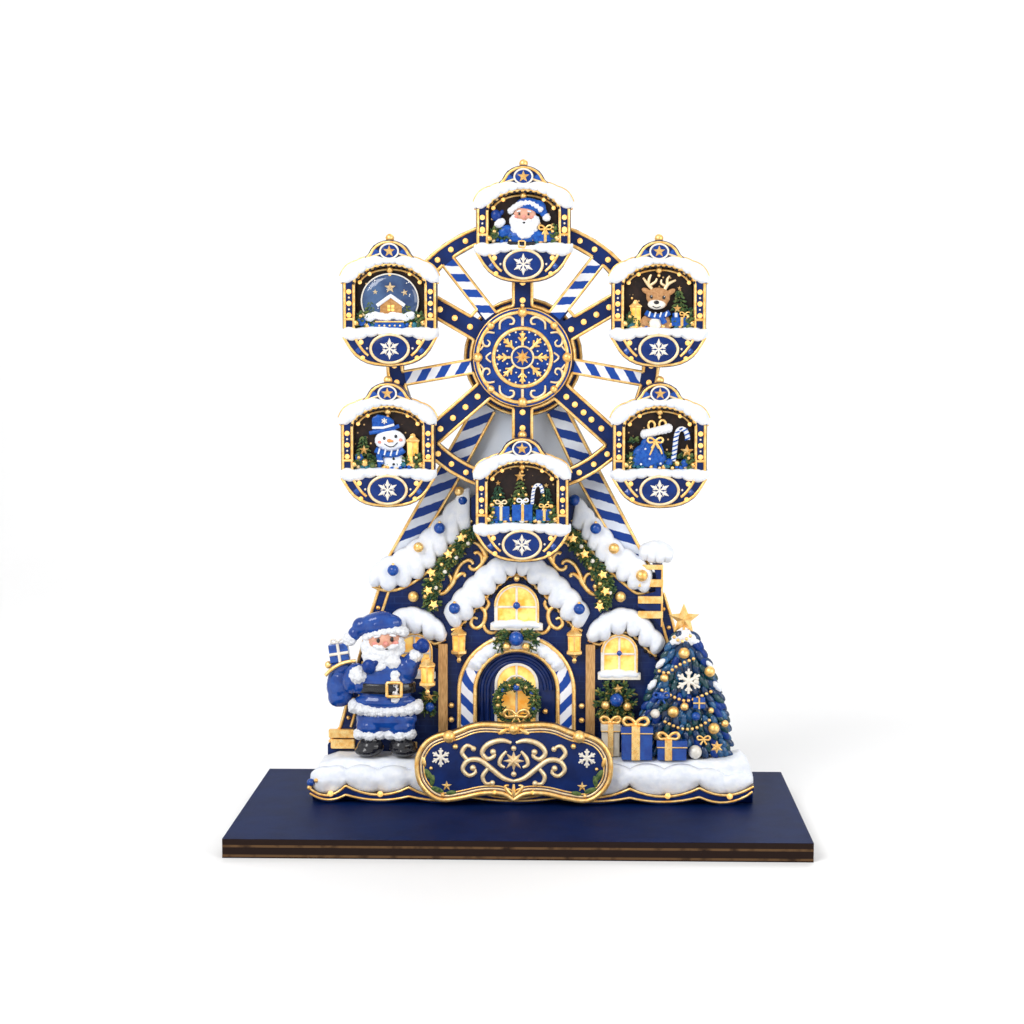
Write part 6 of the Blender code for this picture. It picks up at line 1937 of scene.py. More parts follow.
for index in range(8):
    turn = math.radians(45 * index)
    size = 1.6 if index % 2 == 0 else 1.25
    rim_balls.append(
        (HUB_X + 14.7 * math.cos(turn), 6.3, HUB_Z + 14.7 * math.sin(turn), size, size, size, 0.0, 18, 12)
    )
rim_balls.append((HUB_X, 6.6, HUB_Z + 17.0, 0.7, 0.7, 0.7))
parts.append(balls("medallion_balls", rim_balls, gilt))
hand_in(joined("medallion", parts), "wheel", "gold_cast", "hub_medallion")


# Axle and pins: a steel screw with a flat head runs through the wheel, a steel spacer, the disc and the panel
# into a six-sided nut. Six headed steel pins hold the gondolas, each with a collar behind the gondola.
brushed_steel = finish(
    "brushed_steel", (0.50, 0.50, 0.52), (0.62, 0.62, 0.64), 1.0, 0.12, (0.22, 0.4), 0.15, Metallic=1.0
)
pins = ["pin_" + end for end in ("top", "upper_left", "upper_right", "lower_left", "lower_right", "bottom")]
for node in ["axle_screw", "axle_spacer", "axle_nut", *pins]:
    painted(node, brushed_steel)


# Gondolas: six open cabins of navy plywood, each a back and a front sheet with
# an arched niche. Gilt lines edge the posts and the basket, bulbs of painted glow run up
# the posts, snow lies on roof and ledge, and a cast oval hangs below.
OVALS = {
    "top": (0.7, 183.5, 3.4),
    "upper_left": (-42.9, 156.2, 0.0),
    "upper_right": (44.7, 156.0, 0.0),
    "lower_left": (-43.8, 110.0, 0.0),
    "lower_right": (45.3, 110.0, 0.0),
    "bottom": (0.3, 92.0, 0.0),
}
cabin_navy = sheet_finish("cabin_navy", 2.2, 7.6, **NAVY)
niche_brown = finish("niche_brown", (0.014, 0.007, 0.006), (0.03, 0.014, 0.010), 2.0, 0.3, (0.5, 0.7), 0.2)
oval_blue = finish("oval_blue", (0.002, 0.018, 0.125), (0.004, 0.030, 0.18), 3.0, 0.3, (0.2, 0.3), 0.06)


def cabin(ending):
    """One gondola's shell and its trim, placed by its oval's middle; short is taken off its posts."""
    middle, level, short = OVALS[ending]

    def spot(x, z):
        """A place in the front view from one measured from the oval; short posts lower the roof."""
        return middle + x, level + z - (short if z > 12 else 0.0)

    def placed(points):
        """A line of such places, each with what follows its x and z."""
        return [(*spot(x, z), *rest) for x, z, *rest in points]

    half = [
        (0.0, 35.3), (2.0, 35.0), (3.6, 34.4), (5.2, 33.4), (6.2, 32.1), (7.0, 30.6), (8.2, 29.5),
        (11.6, 27.9)
    ]
    half += [(14.6, 25.7), (15.4, 21.5), (15.4, 6.0), (15.2, 3.6), (13.0, -0.6), (11.4, -2.5), (9.5, -3.9)]
    half += [(7.4, -4.9), (5.0, -5.5), (2.5, -5.8), (0.0, -5.9)]
    outline = both_ways(half, 0.0)
    niche = arched(0.0, 11.2, 5.6, 20.5, 6.2, 24)
    front = board(f"cabin_front_{ending}", placed(outline), 2.2, 5.7, cabin_navy, [placed(niche)], 0.0)
    back = board(f"cabin_back_{ending}", placed(outline), 5.6, 7.6, cabin_navy, (), 0.0)
    lining = board(
        f"niche_{ending}", placed(arched(0.0, 11.1, 5.7, 20.5, 6.1, 24)), 5.5, 5.62, niche_brown, (), 0.0
    )
    parts = [front, back, lining]
    post_line = [(14.75, 4.6), (14.75, 21.3)]
    inner = arched(0.0, 11.75, 6.0, 20.5, 6.7, 24)
    inner = inner[1:] + inner[:1]
    crown = [(7.3, 29.4), (6.0, 30.9), (5.3, 32.2), (4.0, 33.4), (2.2, 34.3), (0.0, 34.6)]
    basket_rim = [(15.2, 3.8), (12.9, 0.1), (11.2, -1.9), (9.2, -3.3), (7.2, -4.3), (4.8, -4.9), (0.0, -5.35)]
    second = [(11.7, 3.9), (10.2, 1.4), (8.6, -0.8), (7.0, -2.2)]
    gold = [post_line, other_side(post_line, 0.0), inner]
    gold += [
        both_ways(crown, 0.0), both_ways(basket_rim, 0.0), flowing(second), flowing(other_side(second, 0.0))
    ]
    gold.append([(-15.0, 9.6), (-11.9, 9.6)])
    gold.append([(15.0, 9.6), (11.9, 9.6)])
    arch_inside = ring(0.0, 20.4, 10.2, 5.4, 8, 172, 24)
    parts += [
        drawn(f"cabin_gold_{ending}", [at(2.15, placed(path)) for path in gold], gilt, 0.5),
        drawn(f"cabin_arch_{ending}", [at(4.6, placed(arch_inside))], gilt, 0.42),
    ]
    low_crown = [[(-7.6, 29.2), (-3.0, 30.8)], [(7.6, 29.2), (3.0, 30.8)]]
    parts.append(
        drawn(f"cabin_low_{ending}", [at(2.1, placed(path)) for path in low_crown], cream_gilt, 0.36)
    )
    bulbs = []
    for side in (-1, 1):
        bulbs += [(*spot(side * 13.3, z), 0.88) for z in (10.9, 14.7, 18.5)]
        bulbs += [
            (*spot(side * x, z), r)
            for x, z, r in ((9.4, 2.1, 0.85), (8.9, -3.0, 0.8), (6.6, 24.3, 0.72), (9.8, 21.6, 0.72))
        ]
    posts = [(x, 1.9 if z < level + 20 - short else 3.2, z, r) for x, z, r in bulbs]
    parts.append(beads(f"cabin_bulbs_{ending}", posts, painted_glow_bulb, 2))
    small = [
        (*spot(side * x, z), r)
        for side in (-1, 1) for x, z, r in ((7.4, 0.1, 0.4), (13.3, 12.8, 0.35), (13.3, 16.6, 0.35))
    ]
    parts.append(beads(f"cabin_dots_{ending}", [(x, 2.1, z, r) for x, z, r in small], cream_paint, 2))
    gems = [(x, 2.2, z, 1.15, 0.0) for x, z in (spot(side * 10.3, -0.6) for side in (-1, 1))]
    parts.append(stars(f"cabin_gems_{ending}", gems, blue_gloss, points=4, inner=0.72, depth=0.4))
    ornament = [(*spot(0.0, 25.6), 1.1), (*spot(0.0, 23.9), 0.6)]
    parts.append(beads(f"cabin_drop_{ending}", [(x, 3.4, z, r) for x, z, r in ornament], gilt, 2))
    for side in (-1, 1):
        shape = [(side * x, z) for x, z in ((2.9, 31.2), (6.0, 29.7), (4.9, 32.6))]
        parts.append(board(f"cabin_pane_{side}", placed(shape), 1.95, 2.3, blue_gloss, (), 0.0))
    star_disc = [(3.1, 2.5), (3.1, 1.7), (2.8, 1.45), (0.0, 1.35)]
    x, z = spot(0.0, 31.6)
    parts += [
        faced_disc(f"star_disc_{ending}", star_disc, x, z, deep_blue, 32, 0.82),
        drawn(f"star_rim_{ending}", [at(1.5, ring(x, z, 2.95, 2.4, 0, 360, 32))], cream_paint, 0.34),
        stars(f"cabin_star_{ending}", [(x, 1.35, z, 2.0, 0.0)], gilt, depth=0.38),
    ]
    x, z = spot(0.0, 35.9)
    parts.append(balls(f"finial_{ending}", [(x, 4.4, z, 1.45, 1.45, 1.45, 0.0, 16, 12)], gilt))
    roof_low = [(1.9, 27.6), (4.6, 26.9), (7.4, 25.7), (9.9, 23.9), (12.3, 21.8), (16.0, 21.5)]
    roof_high = [(2.2, 29.6), (4.8, 30.2), (7.6, 29.7), (10.8, 28.5), (14.2, 26.9), (16.2, 23.6)]
    low = placed([(-x, z) for x, z in reversed(roof_low)] + [(0.0, 27.6)] + roof_low)
    high = placed([(-x, z) for x, z in reversed(roof_high)] + [(0.0, 29.2)] + roof_high)
    parts += [
        snow_along(
            f"cabin_roof_{ending}", (low, 0.14), (high, -0.06), 0.8, 3.4, rough=0.3, across=10, groove=0.2
        ),
        drawn(f"cabin_roof_edge_{ending}", [
            at(3.5, scalloped(high, -0.06)), at(3.5, scalloped(low, 0.14))
        ], gilt, 0.42),
    ]
    points = [(x, 1.6, z - 0.9, 0.5) for x, z in evenly(flowing(low), 1.75)]
    parts.append(
        beads(f"cabin_points_{ending}", [p for p in points if abs(p[0] - middle) < 12.4], soot_black, 2, 0.7)
    )
    ledge_low = [
        (-16.1, 4.4), (-13.6, 2.7), (-11.0, 2.9), (-7.4, 3.9), (-4.0, 4.3), (0.0, 4.4), (4.0, 4.3), (7.4, 3.9)
    ]
    ledge_low += [(11.0, 2.9), (13.6, 2.7), (16.1, 4.4)]
    ledge_high = [(x, 7.0 + 0.3 * math.sin(1.3 * x) - (0.5 if abs(x) > 15 else 0.0)) for x, z in ledge_low]
    drift = (placed(ledge_low), 0.12), (placed(ledge_high), -0.06)
    parts.append(snow_along(f"cabin_ledge_{ending}", *drift, 0.7, 3.6, rough=0.35, across=10, groove=0.12))
    x, z = spot(0.0, 0.0)
    parts.append(faced_disc(
        f"oval_{ending}", [(6.5, 2.9), (6.5, 1.5), (6.2, 1.2), (0.0, 1.1)], x, z, soot_black, 48, 0.745
    ))
    dome = [(5.85, 1.4), (5.7, 1.0), (4.8, 0.8), (3.4, 0.66), (1.7, 0.6), (0.0, 0.58)]
    parts += [
        faced_disc(f"oval_dome_{ending}", dome, x, z, oval_blue, 48, 0.74),
        drawn(f"oval_rim_{ending}", [at(1.15, ring(x, z, 6.2, 4.58, 0, 360, 56))], cream_gilt, 0.5, 8),
    ]
    petals = []
    for index in range(6):
        c, s = math.cos(math.radians(30 + 60 * index)), math.sin(math.radians(30 + 60 * index))
        for a, b, start in ((3.5, 0.0, 0.0), (2.1, 0.95, 1.1), (2.1, -0.95, 1.1)):
            mid = (a + start) * (0.6 if b == 0.0 else 0.5)
            kite = [(start, 0.0, 0.35), (mid, b * 0.5, 1.7 if b == 0.0 else 0.8), (a, b, 0.15)]
            petals.append([(x + p * c - q * s, 0.62, z + p * s + q * c, w) for p, q, w in kite])
    parts.append(drawn(f"oval_flake_{ending}", petals, cream_paint, 0.36, 6, 0.3))
    corners = [
        at(1.9, placed([(side * 10.8, 7.6), (side * 9.6, 8.6), (side * 9.9, 10.6)]))
        for side in (-1, 1)
    ]
    aim = [(0.0, -0.4, 0.5)] * 2
    layers = ((2.2, 0.9, 0.4), 0.28, 1.0, 51), ((2.0, 0.5, 0.3), 0.28, 1.3, 52)
    parts += foliage("cabin_" + ending, corners, aim, *layers)
    berries = [(side * x, z, r) for side in (-1, 1) for x, z, r in ((10.9, 8.4, 0.9), (9.4, 10.6, 0.6))]
    berries = [(spot(x, z)[0], 1.4, spot(x, z)[1], r) for x, z, r in berries]
    parts.append(beads(f"cabin_berries_{ending}", berries, gilt))
    whole = joined("cabin_" + ending, parts)
    hand_in(whole, "gondola_" + ending, "navy_wood", "gondola_" + ending)


for ending in OVALS:
    cabin(ending)


# Scenes: each gondola holds a small scene of painted resin figures on a dark
# card with pin-holes of painted glow, set in the niche. The figures are snow-day toys,
# and gifts, baubles, sprigs and stars are heaped round their feet.
scene_blue = finish("scene_blue", (0.006, 0.060, 0.32), (0.016, 0.11, 0.45), 1.0, 0.3, (0.2, 0.36), 0.15)
teal_gloss = finish(
    "teal_gloss", (0.006, 0.10, 0.15), (0.02, 0.18, 0.24), 1.0, 0.3, (0.12, 0.25), 0.08, Coat_Weight=0.4
)
tan_fur = finish("tan_fur", (0.40, 0.19, 0.075), (0.54, 0.29, 0.13), 0.7, 0.2, (0.5, 0.7), 0.4)
carrot = finish("carrot", (0.70, 0.25, 0.05), (0.80, 0.34, 0.10), 0.8, 0.3, (0.4, 0.5), 0.1)
globe_glass = finish(
    "globe_glass", (0.012, 0.040, 0.13), (0.05, 0.11, 0.24), 6.0, 0.3, (0.06, 0.14), 0.03, Coat_Weight=0.7
)
roof_brown = finish("roof_brown", (0.38, 0.17, 0.05), (0.52, 0.28, 0.10), 0.8, 0.3, (0.4, 0.6), 0.3)


def night_card_finish():
    """Dark brown card dotted with painted glow: pin-holes that give off warm light as emission, with no lamp
    behind them.
    """
    made = finish("night_card", (0.010, 0.006, 0.006), (0.024, 0.012, 0.009), 2.4, 0.3, (0.5, 0.7), 0.2)
    tree = made.node_tree
    place = tree.nodes["Texture Coordinate"].outputs["Object"]
    cells = add(tree, "ShaderNodeTexVoronoi", {"Vector": place, "Scale": 420.0})
    spot = add(
        tree, "ShaderNodeMapRange", {"Value": cells.outputs["Distance"], "From Min": 0.16, "From Max": 0.06}
    ).outputs[0]
    lit = add(
        tree, "ShaderNodeMix", {0: spot, 6: (0.0, 0.0, 0.0, 1.0), 7: (1.0, 0.62, 0.25, 1.0)}, data_type="RGBA"
    )
    principled = tree.nodes["Principled BSDF"]
    tree.links.new(lit.outputs[2], principled.inputs["Emission Color"])
    principled.inputs["Emission Strength"].default_value = 0.9
    return made


night_card = night_card_finish()


def scene_card(ending):
    """The dark card at the back of a gondola's niche."""
    middle, level, short = OVALS[ending]
    outline = arched(middle, 10.85, level + 7.8, level + 20.5 - short, 5.85, 24)
    return board(f"card_{ending}", outline, 4.5, 5.3, night_card, (), 0.0)


def heap(name, ending, baubles, tufts, seed):
    """Small things round the figures' feet: baubles of (x, z, radius, finish) and leaf tufts at (x, z)."""
    middle, level, _ = OVALS[ending]
    chance = Random(seed)
    glossy = (gilt, scene_blue, teal_gloss, cream_gilt)
    small = [
        (middle - 9.8 + 1.4 * i, level + 7.5 + chance.uniform(-0.3, 0.7), chance.uniform(0.55, 0.85))
        for i in range(15)
    ]
    baubles = baubles + [(*spot, glossy[chance.randrange(4)]) for spot in small]
    tufts = tufts + [(x, z + 0.6) for x, z, r in small[::2]]
    parts = []
    for finish_used in (*glossy, leaf_green, pearl):
        spots = [(x, 2.6, z, r, r, r, 0.0, 12, 8) for x, z, r, used in baubles if used is finish_used]
        if spots:
            parts.append(balls(f"{name}_{finish_used.name}", spots, finish_used))
    paths = [at(3.2, [(x - 1.3, z - 0.2), (x, z + 0.5), (x + 1.3, z)]) for x, z in tufts]
    parts += [
        sprigs(
            name + "_leaves", paths, leaf_green, [(0.0, -0.5, 0.75)] * len(paths), (1.9, 0.75, 0.35), 0.3,
            0.9, seed
        ),
        sprigs(
            name + "_needles", paths, pine_green, [(0.0, -0.3, 0.6)] * len(paths), (1.8, 0.5, 0.3), 0.3, 1.2,
            seed + 9
        ),
    ]
    return parts


def small_gift(name, x0, x1, z0, z1, paper, ribbon, ribbon_at, front):
    """A small wrapped box with one band of ribbon."""
    back = 4.4
    box = board(name, boxy(x0, x1, z0, z1), front, back, paper, (), 0.2)
    band = boxy(ribbon_at - 0.45, ribbon_at + 0.45, z0, z1 + 0.12)
    band = board(name + "_band", band, front - 0.15, back + 0.1, ribbon, (), 0.08)
    return [box, band]


def small_fir(name, x, foot, top, reach, material, y=3.6):
    """The front half of a small fir: tiers of short needles that grow narrower to its top."""
    paths, aims = [], []
    tiers = max(4, round((top - foot) / 1.3))
    for tier in range(tiers):
        share = tier / tiers
        wide = reach * (1 - share) + 0.35
        height = foot + (top - foot) * share
        count = max(5, round(wide * 4))
        for index in range(count):
            turn = math.pi * (index + 0.5) / count
            c, s = math.cos(turn), math.sin(turn)
            paths.append([
                (x + 0.3 * wide * c, y - 0.2 * s, height + 0.8),
                (x + wide * 0.8 * c, y - 0.9 * s * wide / reach, height + 0.3)
            ])
            aims.append((0.75 * c, -0.35 * s, -0.45))
    return sprigs(name, paths, material, aims, (1.25, 0.6, 0.4), 0.5, 0.3, 40)


def scene_top():
    """A bearded gift-bringer who waves, with a gift."""
    parts = [scene_card("top")]
    body = [
        (0.2, 3.2, 192.2, 5.0, 1.9, 3.2), (-5.4, 3.0, 194.2, 2.6, 1.5, 1.7, 40),
        (4.6, 3.2, 193.0, 2.4, 1.5, 2.2)
    ]
    parts.append(cast("waver_coat", body, scene_blue, 0.22, 3))
    cap = [
        (2.6, 3.2, 202.6, 4.4, 1.7, 2.4, -8), (5.6, 3.1, 202.0, 2.6, 1.5, 2.2, -30),
        (7.2, 3.0, 200.2, 1.3, 1.2, 1.5)
    ]
    parts.append(cast("waver_cap", cap, scene_blue, 0.22, 3))
    fur = [(-3.4 + 1.2 * i, 2.7, 200.8 + 0.42 * i * (8.4 - i) * 0.33, 1.15, 1.5, 1.1) for i in range(9)]
    fur += [(8.2, 2.8, 198.6, 1.35, 1.25, 1.35), (-7.0, 2.7, 196.8, 2.1, 1.5, 1.4, 35)]
    fur += [(0.4, 1.9, 192.4, 1.0, 0.6, 1.6)]
    parts += [
        cast("waver_fur", fur, fur_white, 0.22, 2, 0.22, 0.6),
        balls("waver_face", [(1.1, 2.7, 199.4, 3.7, 1.5, 2.5, 0.0, 20, 14)], skin_pink),
    ]
    beard = [
        (1.0, 2.5, 195.2, 4.6, 1.6, 3.0), (-2.4, 2.6, 197.6, 1.5, 1.3, 2.0, -14),
        (4.6, 2.6, 197.4, 1.5, 1.3, 2.0, 14)
    ]
    beard += [
        (0.9, 2.0, 193.0, 2.6, 1.2, 1.5), (-0.4, 1.4, 197.6, 1.5, 0.6, 0.6, -16),
        (2.2, 1.4, 197.5, 1.4, 0.6, 0.6, 16)
    ]
    parts += [
        cast("waver_beard", beard, fur_white, 0.22, 2, 0.22, 0.8),
        balls("waver_brows", [
            (-0.8, 1.3, 200.6, 0.75, 0.35, 0.3, 10), (2.6, 1.3, 200.5, 0.75, 0.35, 0.3, -10)
        ], fur_white),
        balls("waver_eyes", [
            (-0.6, 1.2, 199.7, 0.36, 0.3, 0.42), (2.4, 1.2, 199.6, 0.36, 0.3, 0.42)
        ], boot_black),
        balls("waver_nose", [
            (0.9, 1.0, 198.8, 0.66, 0.5, 0.6), (-1.6, 1.5, 198.8, 0.6, 0.3, 0.42),
            (3.4, 1.5, 198.7, 0.6, 0.3, 0.42)
        ], blush),
        balls("waver_mitt", [
            (-8.2, 2.8, 199.3, 1.7, 1.2, 1.9, 12), (-6.4, 2.7, 200.2, 0.65, 0.7, 1.0, -30)
        ], deep_blue),
        balls("waver_mouth", [(0.9, 1.2, 196.9, 0.55, 0.3, 0.3)], boot_black),
    ]
    belt = [at(1.5, [(-4.4, 190.4), (-1.6, 190.0), (1.6, 189.9), (4.4, 190.2)])]
    parts.append(drawn("waver_belt", belt, boot_black, 0.72, 8))
    buckle = [(-0.8, 189.0), (1.3, 189.0), (1.3, 191.0), (-0.8, 191.0), (-0.8, 189.0)]
    parts.append(drawn("waver_buckle", [at(0.9, buckle)], gilt, 0.32, 6))
    parts += small_gift("waver_gift", 4.0, 11.0, 190.9, 194.0, scene_blue, gilt, 7.8, 1.7)
    parts.append(bow("waver_bow", 7.8, 1.9, 194.9, 2.2, gilt))
    baubles = [(-9.0, 192.4, 0.75, gilt), (-7.6, 193.4, 0.5, cream_gilt), (10.2, 195.4, 0.6, gilt)]
    parts += heap("waver_heap", "top", baubles, [(-9.2, 192.2), (-8.2, 193.8), (10.0, 194.6)], 61)
    hand_in(joined("scene_waver", parts), "gondola_top", "scene_cast", "scene_waving_santa")


def scene_upper_left():
    """A snow globe with a cottage in it."""
    parts = [scene_card("upper_left")]
    x, z = -42.9, 171.8
    disc = [(9.4, 4.4), (9.3, 3.5), (8.6, 2.9), (7.2, 2.5), (5.0, 2.25), (2.5, 2.1), (0.0, 2.05)]
    parts += [
        faced_disc("globe_ball", disc, x, z, globe_glass, 64, 0.93),
        drawn("globe_rim", [at(3.2, ring(x, z, 9.3, 8.7, 0, 360, 64))], pearl, 0.28, 6),
    ]
    floor = [(x - 6.6 + 1.9 * i, 2.5, 166.4 + 0.3 * ((i * 5) % 3), 1.9, 1.3, 1.4) for i in range(8)]
    parts.append(cast("globe_snow", floor, snow_paste, 0.22, 2, 0.15, 1.0))
    house = [(-46.0, 166.8), (-38.9, 166.8), (-38.9, 170.6), (-42.5, 173.2), (-46.0, 170.6)]
    parts += [
        board("globe_cottage", house, 1.9, 3.0, roof_brown, (), 0.1),
        drawn("globe_roof", [at(1.9, [(-47.0, 170.2), (-42.5, 173.4), (-38.0, 170.2)])], snow_paste, 0.62, 8),
        # The cottage's window has a painted glow.
        board("globe_window", boxy(-43.6, -41.4, 168.4, 170.4), 1.8, 2.0, painted_glow_glass, (), 0.0),
    ]
    panes = [at(1.8, [(-42.5, 168.3), (-42.5, 170.5)]), at(1.8, [(-43.7, 169.4), (-41.3, 169.4)])]
    parts += [
        drawn("globe_panes", panes, roof_brown, 0.16, 6),
        small_fir("globe_fir_left", -49.0, 166.8, 172.0, 2.0, leaf_green, 2.9),
        small_fir("globe_fir_right", -37.6, 166.4, 170.8, 1.7, leaf_green, 2.9),
    ]
    lights = [(-42.7, 1.9, 176.0, 1.9, 0.0), (-38.0, 2.2, 174.4, 1.2, 12.0), (-47.6, 2.2, 174.6, 0.9, 0.0)]
    parts.append(stars("globe_stars", lights, cream_gilt))
    flakes = [(x + 6.6 * math.cos(2.4 * i), 2.3, z + 2.0 + 4.6 * math.sin(1.7 * i), 0.24) for i in range(16)]
    parts.append(beads("globe_flakes", flakes, fur_white, 1))
    base = [(-48.6, 162.4), (-37.4, 162.4), (-38.6, 165.4), (-47.4, 165.4)]
    parts += [
        board("globe_base", base, 1.8, 4.4, scene_blue, (), 0.3),
        drawn("globe_base_line", [at(1.7, [(-47.6, 165.0), (-38.2, 165.0)])], gilt, 0.3),
        beads("globe_base_dots", [(x - 3.4 + 1.7 * i, 1.7, 163.7, 0.36) for i in range(5)], cream_gilt, 2),
    ]
    baubles = [
        (-52.2, 165.0, 1.5, scene_blue), (-50.2, 163.7, 0.9, gilt), (-34.8, 163.9, 1.1, teal_gloss),
        (-36.2, 163.5, 0.7, gilt), (-33.4, 165.2, 1.0, cream_gilt), (-51.6, 167.2, 0.7, cream_gilt)
    ]
    parts += heap("globe_heap", "upper_left", baubles, [
        (-51.8, 164.4), (-51.0, 166.6), (-34.6, 165.2), (-35.2, 166.8)
    ], 62)
    hand_in(joined("scene_globe", parts), "gondola_upper_left", "scene_cast", "scene_snow_globe")


def scene_upper_right():
    """A reindeer with a lantern and gifts."""
    parts = [scene_card("upper_right")]
    head = [
        (44.5, 2.9, 173.0, 4.0, 1.5, 3.1), (44.4, 2.6, 171.2, 3.2, 1.4, 2.3),
        (40.6, 3.2, 174.9, 1.7, 0.7, 0.9, 150), (48.6, 3.2, 174.6, 1.7, 0.7, 0.9, 30)
    ]
    parts += [
        cast("deer_head", head, tan_fur, 0.2, 3, 0.06, 0.6),
        cast("deer_muzzle", [(44.0, 2.0, 170.6, 3.0, 1.2, 1.7)], cream_paint, 0.2, 2),
        balls("deer_nose", [(43.9, 0.95, 171.2, 0.9, 0.55, 0.65)], boot_black),
        balls("deer_eyes", [
            (42.2, 1.45, 173.0, 0.52, 0.4, 0.62), (46.3, 1.45, 172.8, 0.52, 0.4, 0.62)
        ], boot_black),
        balls("deer_glints", [(42.35, 1.1, 173.25, 0.16), (46.45, 1.1, 173.05, 0.16)], fur_white),
        drawn(
            "deer_smile", [at(0.95, flowing([(42.6, 170.0), (43.9, 169.4), (45.2, 169.9)]))], boot_black, 0.15
        ),
    ]
    antlers = [
        [(42.5, 175.6, 1.1), (41.0, 177.2, 1.0), (39.6, 179.2, 0.6)],
        [(41.2, 177.0, 0.9), (41.6, 179.0, 0.9), (42.2, 180.2, 0.5)],
        [(41.6, 176.6, 0.8), (43.6, 177.9, 0.8), (44.0, 179.0, 0.5)]
    ]
    antlers += [
        [(46.6, 175.5, 1.1), (47.8, 177.2, 1.0), (50.2, 178.4, 0.6)],
        [(47.4, 176.8, 0.9), (47.4, 178.6, 0.9), (48.2, 179.8, 0.5)],
        [(47.0, 176.4, 0.8), (45.4, 177.4, 0.8), (45.6, 178.6, 0.5)]
    ]
    parts.append(drawn("deer_antlers", [at(3.0, flowing(path)) for path in antlers], cream_gilt, 0.55, 8))
    body = [
        (43.6, 3.3, 164.6, 4.0, 1.6, 3.2), (40.2, 2.9, 164.8, 1.5, 1.3, 2.4, -20),
        (47.2, 2.9, 164.8, 1.5, 1.3, 2.4, 20)
    ]
    parts += [
        cast("deer_body", body, tan_fur, 0.2, 3, 0.05, 0.6),
        balls("deer_belly", [(43.6, 2.0, 164.4, 2.0, 0.8, 2.0)], cream_paint),
    ]
    scarf = [
        at(1.9, flowing([(40.4, 168.0), (42.2, 167.0), (44.4, 166.7), (46.6, 167.1), (48.2, 168.0)])),
        at(1.6, [(45.6, 166.6), (46.6, 164.4)])
    ]
    parts.append(drawn("deer_scarf", scarf, scene_blue, 0.95, 10))
    bands = [
        at(1.1, [(x, 166.3 + 0.12 * abs(x - 44.2)), (x + 0.5, 167.9 + 0.12 * abs(x - 44.2))])
        for x in (41.4, 43.2, 45.0, 46.8)
    ]
    parts += [
        drawn("deer_scarf_bands", bands, fur_white, 0.3, 6),
        lantern("deer_lantern", 37.2, 3.2, 162.8, 9.2, 2.3, 4.6, 0.55),
        small_fir("deer_fir", 51.4, 168.8, 175.4, 2.1, leaf_green),
        stars("deer_star", [(50.7, 1.9, 169.2, 1.5, 0.0), (51.4, 3.0, 175.8, 0.8, 0.0)], gilt),
    ]
    parts += small_gift("deer_gift_low", 48.8, 54.6, 163.6, 166.4, scene_blue, gilt, 52.2, 1.8)
    parts += small_gift("deer_gift_top", 49.2, 51.4, 166.4, 167.8, scene_blue, fur_white, 50.3, 2.2)
    parts.append(bow("deer_bow", 53.2, 2.0, 167.2, 1.7, gilt))
    baubles = [
        (35.6, 164.2, 0.9, teal_gloss), (39.6, 163.9, 0.7, gilt), (48.2, 163.8, 0.7, gilt),
        (36.0, 172.6, 0.4, gilt)
    ]
    parts += heap(
        "deer_heap", "upper_right", baubles, [(39.6, 164.0), (35.8, 165.4), (49.0, 164.4), (54.0, 168.2)], 63
    )
    hand_in(joined("scene_deer", parts), "gondola_upper_right", "scene_cast", "scene_reindeer")


